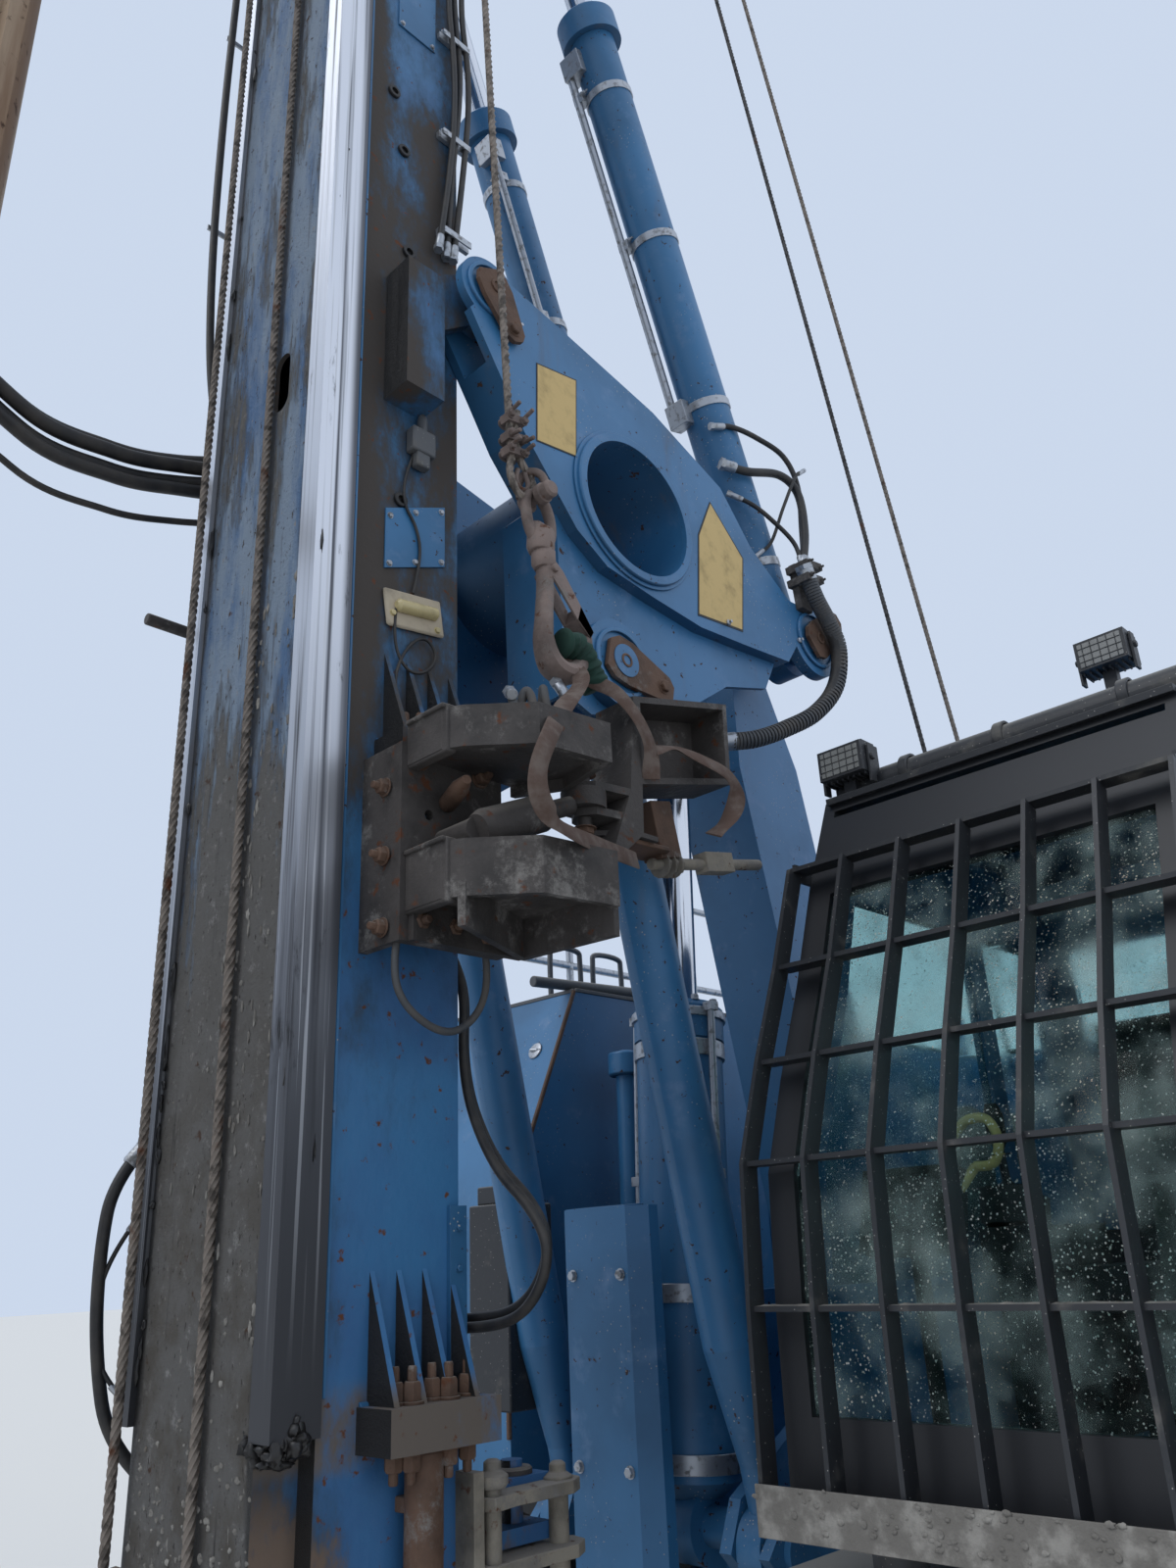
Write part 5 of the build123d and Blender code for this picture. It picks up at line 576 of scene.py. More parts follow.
class Form:
    """Mesh under way: parts are added at their places, then made into one piece."""

    def __init__(self):
        self.mesh = bmesh.new()

    def skin(self, rings, closed=False):
        """Faces between rings of points; open runs are capped."""
        made = [[self.mesh.verts.new(place) for place in ring] for ring in rings]
        count = len(made[0])
        pairs = list(zip(made, made[1:]))
        if closed:
            pairs.append((made[-1], made[0]))
        for low, high in pairs:
            for k in range(count):
                j = (k + 1) % count
                self.mesh.faces.new((low[k], low[j], high[j], high[k]))
        if not closed:
            self.mesh.faces.new(made[0][::-1])
            self.mesh.faces.new(made[-1])
        return self

    def turned(self, place, axis, profile, sides=20, closed=False):
        """Profile of (radius, along) pairs turned round an axis."""
        turn = Vector(axis).to_track_quat("Z", "Y")
        rings = []
        for r, along in profile:
            rings.append([
                place + turn @ Vector((r * cos(tau * k / sides), r * sin(tau * k / sides), along))
                for k in range(sides)
            ])
        return self.skin(rings, closed)

    def rod(self, start, end, r, sides=14):
        """Round bar between two places, its ends a little rounded."""
        run = (end - start).length
        edge = min(r * 0.15, run * 0.2)
        profile = ((r - edge, 0), (r, edge), (r, run - edge), (r - edge, run))
        return self.turned(start, end - start, profile, sides)

    def ring(self, place, axis, r_in, r_out, depth, sides=28):
        """Flat ring with its edges broken."""
        e = min(depth, r_out - r_in) * 0.2
        profile = ((r_in, 0), (r_out - e, 0), (r_out, e), (r_out, depth - e), (r_out - e, depth),
                   (r_in, depth))
        return self.turned(place, axis, profile, sides, closed=True)

    def nut(self, place, axis, r, height):
        """Hexagon head or nut on its washer."""
        self.turned(place, axis, ((r * 1.25, 0), (r * 1.25, height * 0.15)), 16)
        profile = ((r, height * 0.15), (r, height * 0.85), (r * 0.82, height))
        return self.turned(place, axis, profile, 6)

    def stud(self, place, axis, r, height):
        """Nut with the end of its stud standing out."""
        self.nut(place, axis, r, height * 0.6)
        return self.turned(place, axis, ((r * 0.5, 0), (r * 0.5, height * 0.93),
                                         (r * 0.42, height)), 10)

    def block(self, centre, size, turn=(0, 0, 0)):
        """Block turned about the machine's axes, in degrees."""
        about = Euler([radians(angle) for angle in turn]).to_matrix().to_4x4()
        place = Matrix.Translation(centre) @ about @ Matrix.Diagonal((*size, 1))
        bmesh.ops.create_cube(self.mesh, size=1, matrix=place)
        return self

    def plate(self, outline, push):
        """Flat outline pushed into a plate."""
        push = Vector(push)
        return self.skin([[Vector(p) for p in outline], [Vector(p) + push for p in outline]])

    def slab(self, outline, y_low, y_high):
        """Plate across the machine with its outline in places from the mast's face."""
        return self.plate([at(dx, y_low, z) for dx, z in outline], (0, y_high - y_low, 0))

    def swept(self, route, widths, up):
        """Flat or round section, (half width, half depth) or a radius, along a route."""
        rings = []
        for k, place in enumerate(route):
            before, after = route[max(k - 1, 0)], route[min(k + 1, len(route) - 1)]
            ahead = (after - before).normalized()
            side = ahead.cross(Vector(up)).normalized()
            other = side.cross(ahead)
            width = widths[k] if isinstance(widths, list) else widths
            half, deep = width if isinstance(width, tuple) else (width, width)
            rings.append([
                place + side * half * cos(tau * j / 12) + other * deep * sin(tau * j / 12)
                for j in range(12)
            ])
        return self.skin(rings)

    def piece(self, name, body, material, bevel=0.0, sharp=32):
        """The finished piece, riding on its body."""
        bmesh.ops.recalc_face_normals(self.mesh, faces=self.mesh.faces)
        mesh = bpy.data.meshes.new(name)
        self.mesh.to_mesh(mesh)
        self.mesh.free()
        mesh.shade_smooth()
        mesh.set_sharp_from_angle(angle=radians(sharp))
        made = bpy.data.objects.new(name, mesh)
        if bevel:
            worn = made.modifiers.new("edges", "BEVEL")
            worn.width = bevel
            worn.segments = 2
            worn.limit_method = "ANGLE"
            worn.angle_limit = radians(sharp)
        return link_piece(made, body, material)


def smooth_run(points, count):
    """Places along a smooth curve through the points, evenly shared between them."""
    ends = [points[0] * 2 - points[1]] + list(points) + [points[-1] * 2 - points[-2]]
    places = []
    for k in range(1, len(ends) - 2):
        a, b, c, d = ends[k - 1:k + 3]
        for step in range(count):
            t = step / count
            places.append(0.5 * ((2 * b) + (c - a) * t + (2 * a - 5 * b + 4 * c - d) * t * t
                                 + (3 * b - a - 3 * c + d) * t ** 3))
    return places + [points[-1].copy()]


# Hose and cable ends that need a fitting: body to a list of place, direction and radius
hose_ends = {}


def curve_line(made):
    """Centre line that Blender draws for a curve."""
    data = made.data
    depth, data.bevel_depth = data.bevel_depth, 0
    mesh = bpy.data.meshes.new_from_object(made)
    line = [vertex.co.copy() for vertex in mesh.vertices]
    bpy.data.meshes.remove(mesh)
    data.bevel_depth = depth
    return line


def add_fitting(body, place, axis, r):
    """Notes a hose end, for hose_fittings to make."""
    hose_ends.setdefault(body, []).append((place, axis, r))


def hose(name, body, points, r, material, free=True, fittings=True):
    """Hose, cable or pipe on a smooth line; for one that hangs free its centre line is worked out.
    """
    curve = bpy.data.curves.new(name, "CURVE")
    curve.dimensions = "3D"
    spline = curve.splines.new("NURBS")
    spline.points.add(len(points) - 1)
    for knot, place in zip(spline.points, points):
        knot.co = (*place, 1)
    spline.order_u = 3
    spline.use_endpoint_u = True
    curve.resolution_u = 10
    curve.bevel_depth = r
    curve.bevel_resolution = 3
    curve.use_fill_caps = True
    made = link_piece(bpy.data.objects.new(name, curve), body, material)
    if free:
        line = curve_line(made)
    if fittings:
        add_fitting(body, points[0], points[1] - points[0], r)
        add_fitting(body, points[-1], points[-2] - points[-1], r)
    return made


def hose_fittings():
    """Crimped sleeve and hexagon at each hose end."""
    for body, ends in hose_ends.items():
        form = Form()
        for place, axis, r in ends:
            along = axis.normalized()
            form.turned(place - along * 0.008, axis, ((r * 1.15, 0), (r * 1.3, 0.004),
                                                      (r * 1.3, 0.05), (r * 1.12, 0.055)), 14)
            form.turned(place - along * 0.022, axis, ((r * 1.5, 0), (r * 1.5, 0.018)), 6)
        form.piece("hose_fittings_" + body, body, ZINC)


STRAND_PITCH = 0.0125
ROPE_R = 0.0125


def rope_route(points):
    """Close places along straight runs."""
    route = [points[0]]
    for a, b in zip(points, points[1:]):
        count = max(1, round((b - a).length / STRAND_PITCH))
        route.extend(a.lerp(b, k / count) for k in range(1, count + 1))
    return route


def rope(name, body, points, material, r=ROPE_R):
    """Six strands laid round a core, along straight runs between the points."""
    rings = []
    run = 0.0
    route = rope_route(points)
    for k, place in enumerate(route):
        before, after = route[max(k - 1, 0)], route[min(k + 1, len(route) - 1)]
        run += (place - before).length
        ahead = (after - before).normalized()
        side = ahead.cross(Vector((0.6, 0.75, 0.28))).normalized()
        other = ahead.cross(side)
        ring = []
        for j in range(12):
            turn = tau * (run / (12 * r) + j / 12)
            reach = r * (1.0 if j % 2 else 0.76)
            ring.append(place + side * cos(turn) * reach + other * sin(turn) * reach)
        rings.append(ring)
    return Form().skin(rings).piece(name, body, material, sharp=75)


def over(centre_dx, centre_z, r, from_deg, to_deg, y):
    """Places round a rope wheel, from one angle to another."""
    count = 28
    angles = [radians(from_deg + (to_deg - from_deg) * k / count) for k in range(count + 1)]
    return [at(centre_dx + r * cos(a), y, centre_z + r * sin(a)) for a in angles]


def mast_ropes():
    """Crowd ropes down the mast's face, from the head to anchors at the foot."""
    foot = MAST_LOW_END + 0.12
    head = MAST_HIGH.z - 0.05
    rope("crowd_rope_middle", "mast", [at(0.0, 0.055, foot), at(0.0, 0.055, head)], DRY_ROPE)
    rope("crowd_rope_left", "mast", [at(0.03, -0.262, foot), at(0.03, -0.262, head)], DRY_ROPE)
    form = Form()
    for y, dx in ((0.055, 0.0), (-0.262, 0.03)):
        for z, way in ((foot, 1), (head, -1)):
            form.turned(at(dx, y, z), (0, 0, way), ((0.02, -0.05), (0.026, -0.045), (0.024, 0.06),
                                                   (0.016, 0.08)))
            form.block(at(-0.012 + dx / 2, y, z - way * 0.075), (0.04 + dx, 0.09, 0.07))
            form.rod(at(dx, y - 0.04, z - way * 0.05), at(dx, y + 0.04, z - way * 0.05), 0.012)
    form.piece("crowd_rope_anchors", "mast", GEAR_STEEL, 0.003)


REAR_WHEEL = (-0.25, 18.96)
FRONT_WHEEL = (0.65, 18.96)
SIDE_WHEEL = (-0.3, 18.96)
ON_WHEEL = 0.3475
HOIST_SPAN = 0.06
AUX_FALL_Y = 0.56


def hoist_ropes():
    """Hoist ropes from the drums over the mast head, to the kelly's swivel and the hook."""
    drum_main = at(-4.54, -HOIST_SPAN, 2.17)
    drum_aux = at(-4.74, HOIST_SPAN, 2.17)
    swivel = SWIVEL_HIGH.z - 0.04
    main = [drum_main]
    main += over(*REAR_WHEEL, ON_WHEEL, 172, 90, -HOIST_SPAN)
    main += over(*FRONT_WHEEL, ON_WHEEL, 90, 2, -HOIST_SPAN)
    main += [at(1.0, 0.0, swivel), at(1.0, 0.0, swivel - 1.6)]
    rope("main_hoist_rope", "mast", main, WIRE_ROPE)
    aux = [drum_aux]
    aux += over(*REAR_WHEEL, ON_WHEEL, 172, 90, HOIST_SPAN)
    aux += [at(-0.3, AUX_FALL_Y, REAR_WHEEL[1] + ON_WHEEL)]
    aux += over(*SIDE_WHEEL, ON_WHEEL, 89, -2, AUX_FALL_Y)
    aux += [at(-0.41, 0.6, 5.911), at(-0.478, 0.6, 4.16), at(-0.484, 0.6, 4.0)]
    rope("aux_hoist_rope", "mast", aux, DRY_ROPE)


def bent_bar(form, points, r, count=5, up=(0, 1, 0)):
    """Round bar bent smoothly through points."""
    form.swept(smooth_run(points, count), r, up)


HOOK_Y = 0.6


def hook_gear():
    """Rope end with clamps and thimble, shackle, swivel link, safety hook and its latch."""
    def here(dx, z, dy=0.0):
        return at(dx, HOOK_Y + dy, z)

    loop = [here(-0.484, 4.02), here(-0.478, 3.965), here(-0.5, 3.915), here(-0.535, 3.905),
            here(-0.565, 3.94), here(-0.56, 3.985), here(-0.525, 4.02), here(-0.505, 4.08),
            here(-0.5, 4.15), here(-0.512, 4.2)]
    rope("rope_loop", "mast", smooth_run(loop, 5), DRY_ROPE, 0.012)
    form = Form()
    for z, lean in ((4.155, 0.02), (4.09, -0.015), (4.04, 0.01)):
        form.block(here(-0.493, z), (0.07, 0.036, 0.026), (0, 12, 30 * lean))
        for side in (1, -1):
            foot = here(-0.493 + 0.026 * side, z, -0.03)
            form.rod(foot, here(-0.493 + 0.026 * side, z + lean, 0.062), 0.0065, 10)
            form.nut(here(-0.493 + 0.026 * side, z, 0.02), (0, 1, 0), 0.011, 0.014)
        bent_bar(form, [here(-0.519, z, 0.0), here(-0.517, z, -0.03), here(-0.493, z, -0.04),
                        here(-0.469, z, -0.03), here(-0.467, z, 0.0)], 0.0065, 4, (0, 0, 1))
    form.piece("rope_clips", "mast", OLD_IRON, 0.0015)
    form = Form()
    bent_bar(form, [here(-0.508, 3.99), here(-0.5, 3.955), here(-0.512, 3.93),
                    here(-0.535, 3.93), here(-0.548, 3.955), here(-0.535, 3.99)], 0.008)
    bent_bar(form, [here(-0.545, 3.925, -0.034), here(-0.538, 3.97, -0.03),
                    here(-0.548, 4.0, 0.0), here(-0.575, 3.985, 0.03),
                    here(-0.6, 3.925, 0.034)], 0.0125)
    form.rod(here(-0.572, 3.918, -0.055), here(-0.572, 3.918, 0.05), 0.017)
    form.turned(here(-0.572, 3.918, 0.04), (0, 1, 0), ((0.02, 0), (0.027, 0.008), (0.027, 0.03),
                                                       (0.02, 0.038)))
    for dy in (-0.034, 0.034):
        form.turned(here(-0.572, 3.918, dy - 0.013), (0, 1, 0), ((0.026, 0), (0.031, 0.004),
                                                                (0.031, 0.022), (0.026, 0.026)))
    form.piece("rope_shackle", "mast", OLD_IRON)
    form = Form()
    ring = [here(-0.572, 3.935), here(-0.54, 3.91), here(-0.538, 3.85), here(-0.555, 3.795),
            here(-0.592, 3.77), here(-0.628, 3.8), here(-0.632, 3.86), here(-0.61, 3.915),
            here(-0.572, 3.935)]
    bent_bar(form, ring, 0.017)
    form.turned(here(-0.592, 3.79), (0.05, 0, -1), ((0.03, -0.03), (0.04, -0.02), (0.042, 0.03),
                                                   (0.034, 0.05)))
    form.piece("swivel_link", "mast", OLD_IRON, 0.002)
    form = Form()
    eye = [here(-0.575, 3.83), here(-0.56, 3.8), here(-0.575, 3.76), here(-0.605, 3.755),
           here(-0.62, 3.79), here(-0.605, 3.825), here(-0.575, 3.83)]
    bent_bar(form, eye, 0.015)
    spine = [here(-0.592, 3.76), here(-0.6, 3.7), here(-0.602, 3.63), here(-0.594, 3.53),
             here(-0.59, 3.45), here(-0.618, 3.385), here(-0.68, 3.378), here(-0.73, 3.43),
             here(-0.752, 3.51), here(-0.752, 3.56)]
    shares = (0.6, 0.75, 0.8, 0.85, 0.95, 1.15, 1.2, 1.0, 0.75, 0.35)
    route = smooth_run(spine, 5)
    widths = []
    for k in range(len(route)):
        along = k / 5
        low = min(int(along), len(shares) - 2)
        share = shares[low] + (shares[low + 1] - shares[low]) * (along - low)
        widths.append((0.026 * share, 0.038 * share))
    form.swept(route, widths, (0, 1, 0))
    form.turned(here(-0.6, 3.735), (0, 0, -1), ((0.03, -0.02), (0.036, -0.01), (0.036, 0.03),
                                                (0.028, 0.045)))
    form.piece("hook", "mast", OLD_IRON)
    form = Form()
    latch = [(-0.615, 3.715), (-0.648, 3.69), (-0.715, 3.6), (-0.765, 3.53), (-0.75, 3.505),
             (-0.7, 3.55), (-0.63, 3.63), (-0.6, 3.66)]
    for y in (HOOK_Y - 0.03, HOOK_Y + 0.022):
        form.slab(latch, y, y + 0.008)
    form.slab([(-0.715, 3.6), (-0.765, 3.53), (-0.75, 3.505), (-0.7, 3.55)], HOOK_Y - 0.03,
              HOOK_Y + 0.03)
    form.rod(here(-0.612, 3.682, -0.042), here(-0.612, 3.682, 0.042), 0.012)
    form.piece("hook_latch", "mast", OLD_IRON, 0.002)


def strap(name, points, wide, face, material):
    """Flat webbing along a line, its face turned one way, with a stitched edge."""
    route = smooth_run(points, 6)
    rings = []
    for k, place in enumerate(route):
        before, after = route[max(k - 1, 0)], route[min(k + 1, len(route) - 1)]
        ahead = (after - before).normalized()
        turn = Vector(face).lerp(Vector((face[1], -face[0], 0.3)), 0.45 * sin(k * 0.24))
        side = ahead.cross(turn).normalized()
        thick = side.cross(ahead) * 0.003
        half = side * wide / 2
        edge = half * 0.86
        rings.append([place - half, place - edge + thick, place + edge + thick, place + half,
                      place + edge - thick, place - edge - thick])
    return Form().skin(rings).piece(name, "mast", material, sharp=50)


def slings():
    """Webbing sling from the hook round the guide gear, with the green wrap at the hook."""
    y = HOOK_Y
    left = [at(-0.69, y + 0.01, 3.42), at(-0.66, y + 0.07, 3.32), at(-0.508, 0.75, 3.165),
            at(-0.335, 0.87, 2.987), at(-0.29, 0.88, 2.893), at(-0.3, 0.875, 2.823),
            at(-0.374, 0.86, 2.779), at(-0.559, 0.8, 2.789), at(-0.789, 0.72, 2.816)]
    strap("sling_left", left, 0.05, (0.35, 1, 0.2), STRAP)
    right = [at(-0.71, y + 0.01, 3.41), at(-0.757, 0.62, 3.377), at(-0.795, 0.68, 3.323),
             at(-0.845, 0.71, 3.245), at(-0.887, 0.71, 3.166), at(-0.891, 0.7, 3.08)]
    strap("sling_right", right, 0.052, (0.35, 1, 0.2), STRAP)
    tail = [at(-0.9, 0.7, 3.172), at(-1.0, 0.7, 3.205), at(-1.12, 0.727, 3.184),
            at(-1.201, 0.74, 3.157), at(-1.23, 0.74, 3.102), at(-1.185, 0.737, 3.018),
            at(-1.113, 0.73, 2.956)]
    strap("sling_tail", tail, 0.055, (0.5, 0.8, 0.5), STRAP)
    form = Form()
    cloth = [at(-0.645, y + 0.01, 3.46), at(-0.69, y + 0.012, 3.465), at(-0.73, y + 0.008, 3.445),
             at(-0.765, y, 3.405), at(-0.79, y + 0.004, 3.36)]
    route = smooth_run(cloth, 6)
    widths = [(0.04 + 0.009 * sin(k * 1.3), 0.05 + 0.008 * sin(k * 2.1)) for k in range(len(route))]
    form.swept(route, widths, (0, 1, 0))
    wrap = form.piece("hook_wrap", "mast", GREEN_CLOTH)
    folds = wrap.modifiers.new("folds", "SUBSURF")
    folds.levels = folds.render_levels = 1


def places(y, points):
    """Places on one side plane, from (ahead of the mast's face, height) pairs."""
    return [at(dx, y, z) for dx, z in points]


# Far hoses run outside the guide shoes, which reach 0.41 m from the middle
FAR_HOSE_Y = 0.45


def mast_hoses():
    """Hoses and cables that ride with the mast."""
    loop = ((0.24, 2.66), (0.31, 2.57), (0.285, 2.29), (0.4, 2.07), (0.56, 1.95), (0.605, 1.85),
            (0.52, 1.735), (0.36, 1.705), (0.24, 1.71))
    for k, (dx, low) in enumerate(((-0.545, 0.0), (-0.575, 0.03))):
        route = [at(dx, y - low, z + low * 0.6) for y, z in loop]
        route[0].x = route[-1].x = MAST_REAR_X - 0.018
        hose(f"service_hose_{k}", "mast", route, 0.0125, HOSE)
    cable = ((-0.23, 2.66), (-0.2, 2.54), (-0.22, 2.42), (-0.365, 2.35), (-0.47, 2.42),
             (-0.5, 2.53), (-0.48, 2.62))
    hose("loop_cable", "mast", places(0.455, cable), 0.0095, GREY_HOSE)
    far = -FAR_HOSE_Y
    hose("far_hose_upper", "mast",
         [at(-0.02, far, 9.4), at(-0.01, far, 7.8), at(0.0, far, 6.6), at(0.005, far, 6.0),
          at(-0.005, far, 5.2), at(-0.05, far, 4.6), at(-0.12, far, 4.4)], 0.014, HOSE, free=False)
    hose("far_loop", "mast",
         [at(-0.02, -0.37, 2.16), at(0.04, -0.385, 2.08), at(0.05, -0.4, 1.93),
          at(0.035, -0.41, 1.7), at(-0.02, -0.395, 1.46), at(-0.15, -0.345, 1.36)], 0.016, HOSE)
    hose("far_cable", "mast",
         [at(-0.03, -0.365, 2.0), at(0.035, -0.39, 1.9), at(0.045, -0.41, 1.75),
          at(0.02, -0.4, 1.64), at(-0.03, -0.365, 1.58)], 0.006, HOSE)
    rear = ((-0.44, 4.96), (-0.475, 5.36), (-0.5, 5.84), (-0.47, 6.2), (-0.49, 6.6), (-0.46, 7.4),
            (-0.47, 8.3), (-0.46, 9.6))
    for k, (dx, dy) in enumerate(((0.0, 0.0), (-0.035, 0.006), (0.03, 0.012))):
        route = [at(x + dx + 0.012 * sin(j * 2.1 + k), 0.352 + dy, z)
                 for j, (x, z) in enumerate(rear)]
        hose(f"flank_hose_{k}", "mast", route, 0.011, HOSE, free=False)
    lead = ((-0.33, 4.35), (-0.345, 4.3), (-0.35, 4.2), (-0.325, 4.1), (-0.29, 3.98), (-0.295, 3.9),
            (-0.34, 3.85), (-0.36, 3.75), (-0.33, 3.62))
    hose("level_lead", "mast", places(0.342, lead), 0.0045, HOSE, free=False, fittings=False)
    spare = ((-0.27, 3.55), (-0.26, 3.44), (-0.31, 3.36), (-0.38, 3.38), (-0.42, 3.45),
             (-0.37, 3.5), (-0.3, 3.43), (-0.26, 3.3), (-0.3, 3.18))
    hose("spare_lead", "mast", places(0.345, spare), 0.0045, HOSE, free=False, fittings=False)
    coil = []
    for k in range(34):
        turn = tau * k / 11
        grow = 0.052 + 0.0012 * k
        coil.append(at(-0.46 - 0.0055 * k + 0.02 * sin(turn), 0.6 + 0.028 * sin(turn * 0.5),
                       3.13 + 0.016 + grow + grow * cos(turn)))
    hose("coiled_hose", "mast", coil, 0.0125, GREY_HOSE, free=False)


def tilt_cylinder_pipes():
    """Pipes, bands and valve blocks along the mast cylinders."""
    lead = Vector((0.115, -0.085, 0))
    for side in (1, -1):
        pipe = Form()
        beside = Vector((lead.x, side * (TILT_Y + lead.y), 0))
        start, end = TILT_FOOT.lerp(TILT_GLAND, 0.36), TILT_FOOT.lerp(TILT_GLAND, 0.9)
        pipe.rod(start + beside, end + beside, 0.017, 16)
        pipe.block(start + beside + Vector((-0.01, side * 0.03, -0.03)), (0.07, 0.09, 0.1),
                   (0, 18, 0))
        pipe.block(end + beside + Vector((-0.01, side * 0.03, 0.03)), (0.08, 0.1, 0.1),
                   (0, 18, 0))
        pipe.piece(f"tilt_pipe_{side + 1}", "tilt_barrels", ZINC, 0.003)
        form = Form()
        for t in (0.12, 0.36, 0.62, 0.86):
            place = TILT_FOOT.lerp(TILT_GLAND, t)
            place.y = side * TILT_Y
            form.ring(place, TILT_GLAND - TILT_FOOT, 0.0985, 0.1035, 0.035)
            ear = place + Vector((0.1, -side * 0.075, 0))
            form.block(ear, (0.05, 0.05, 0.04), (0, 18, 0))
            form.stud(ear + Vector((0.016, side * 0.02, 0.012)), (0, side, 0), 0.009, 0.03)
        form.piece(f"tilt_bands_{side + 1}", "tilt_barrels", ZINC, 0.001)


# Hoses from the mast cylinder to the triangle: radius, then places ahead, across and up
TRIANGLE_HOSES = (
    (0.011, ((-1.76, 0.415, 4.93), (-1.84, 0.447, 4.95), (-1.966, 0.473, 4.948),
             (-2.106, 0.5, 4.911), (-2.156, 0.52, 4.772), (-2.126, 0.53, 4.538),
             (-2.109, 0.53, 4.36))),
    (0.017, ((-1.8, 0.42, 4.76), (-1.89, 0.46, 4.75), (-2.068, 0.494, 4.802),
             (-2.146, 0.522, 4.732), (-2.128, 0.542, 4.533), (-2.07, 0.55, 4.34))),
    (0.009, ((-1.84, 0.41, 4.64), (-1.9, 0.457, 4.6), (-1.966, 0.495, 4.54),
             (-2.057, 0.528, 4.455), (-2.065, 0.55, 4.34))),
    (0.007, ((-1.95, 0.42, 4.4), (-2.019, 0.45, 4.479), (-2.056, 0.5, 4.63),
             (-2.13, 0.53, 4.802), (-2.19, 0.53, 4.86))),
)
HOSE_TRUNK = ((-2.05, 0.568, 4.3), (-2.1, 0.57, 4.197), (-2.17, 0.568, 4.117),
              (-2.233, 0.561, 4.02), (-2.211, 0.54, 3.862), (-2.09, 0.513, 3.722),
              (-1.938, 0.475, 3.625), (-1.803, 0.43, 3.559), (-1.7, 0.36, 3.54))


def triangle_hoses():
    """Hoses that cross from the mast cylinder to the triangle, and their wrapped trunk."""
    for k, (r, route) in enumerate(TRIANGLE_HOSES):
        places = smooth_run([at(*place) for place in route], 8)
        tube = Form().swept(places, r, (0, 1, 0)).piece(f"triangle_hose_{k}", None, HOSE)
        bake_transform(tube)
        add_fitting("tilt_barrels", places[0], places[1] - places[0], r)
        add_fitting("triangle", places[-1], places[-2] - places[-1], r)
    trunk = [at(*place) for place in HOSE_TRUNK]
    hose("hose_trunk", "triangle", trunk, 0.026, HOSE, free=False)
    form = Form()
    route = smooth_run(trunk, 30)
    for k in range(6, len(route) - 6, 3):
        axis = route[k + 1] - route[k - 1]
        form.ring(route[k], axis, 0.0255, 0.0325, 0.011, 16)
    form.piece("hose_trunk_spiral", "triangle", GREY_HOSE)
    form = Form()
    for z in (4.27, 4.33):
        form.block(at(-2.08, 0.545, z), (0.11, 0.1, 0.03), (0, 10, 0))
        for dx in (-0.035, 0.035):
            form.stud(at(-2.08 + dx, 0.59, z), (0, 1, 0), 0.01, 0.025)
    form.plate([at(-2.04, 0.5, 4.35), at(-2.06, 0.5, 4.16), at(-2.13, 0.5, 4.16),
                at(-2.14, 0.5, 4.35)], (0, 0.03, 0))
    form.piece("hose_clamps", "triangle", GEAR_STEEL, 0.003)


KEEPER = ((0.075, -0.055), (0.035, -0.08), (-0.03, -0.08), (-0.2, -0.045), (-0.225, -0.02),
          (-0.225, 0.025), (-0.2, 0.05), (-0.02, 0.08), (0.04, 0.075), (0.075, 0.045))


def keeper(form, dx, z, y, side, turn, scale=1.0):
    """Pin keeper: bent plate over the pin's end, with its hole and one bolt."""
    push = side * 0.016
    cos_t, sin_t = cos(radians(turn)), sin(radians(turn))
    outline = []
    for u, v in KEEPER:
        u, v = u * scale, v * scale
        outline.append(at(dx + u * cos_t - v * sin_t, side * y, z + u * sin_t + v * cos_t))
    form.plate(outline, (0, push, 0))
    form.ring(at(dx, side * (y + 0.016), z), (0, side, 0), 0.016, 0.024, 0.006, 18)
    form.nut(at(dx - 0.175 * scale * cos_t, side * (y + 0.016), z - 0.175 * scale * sin_t),
             (0, side, 0), 0.02, 0.016)


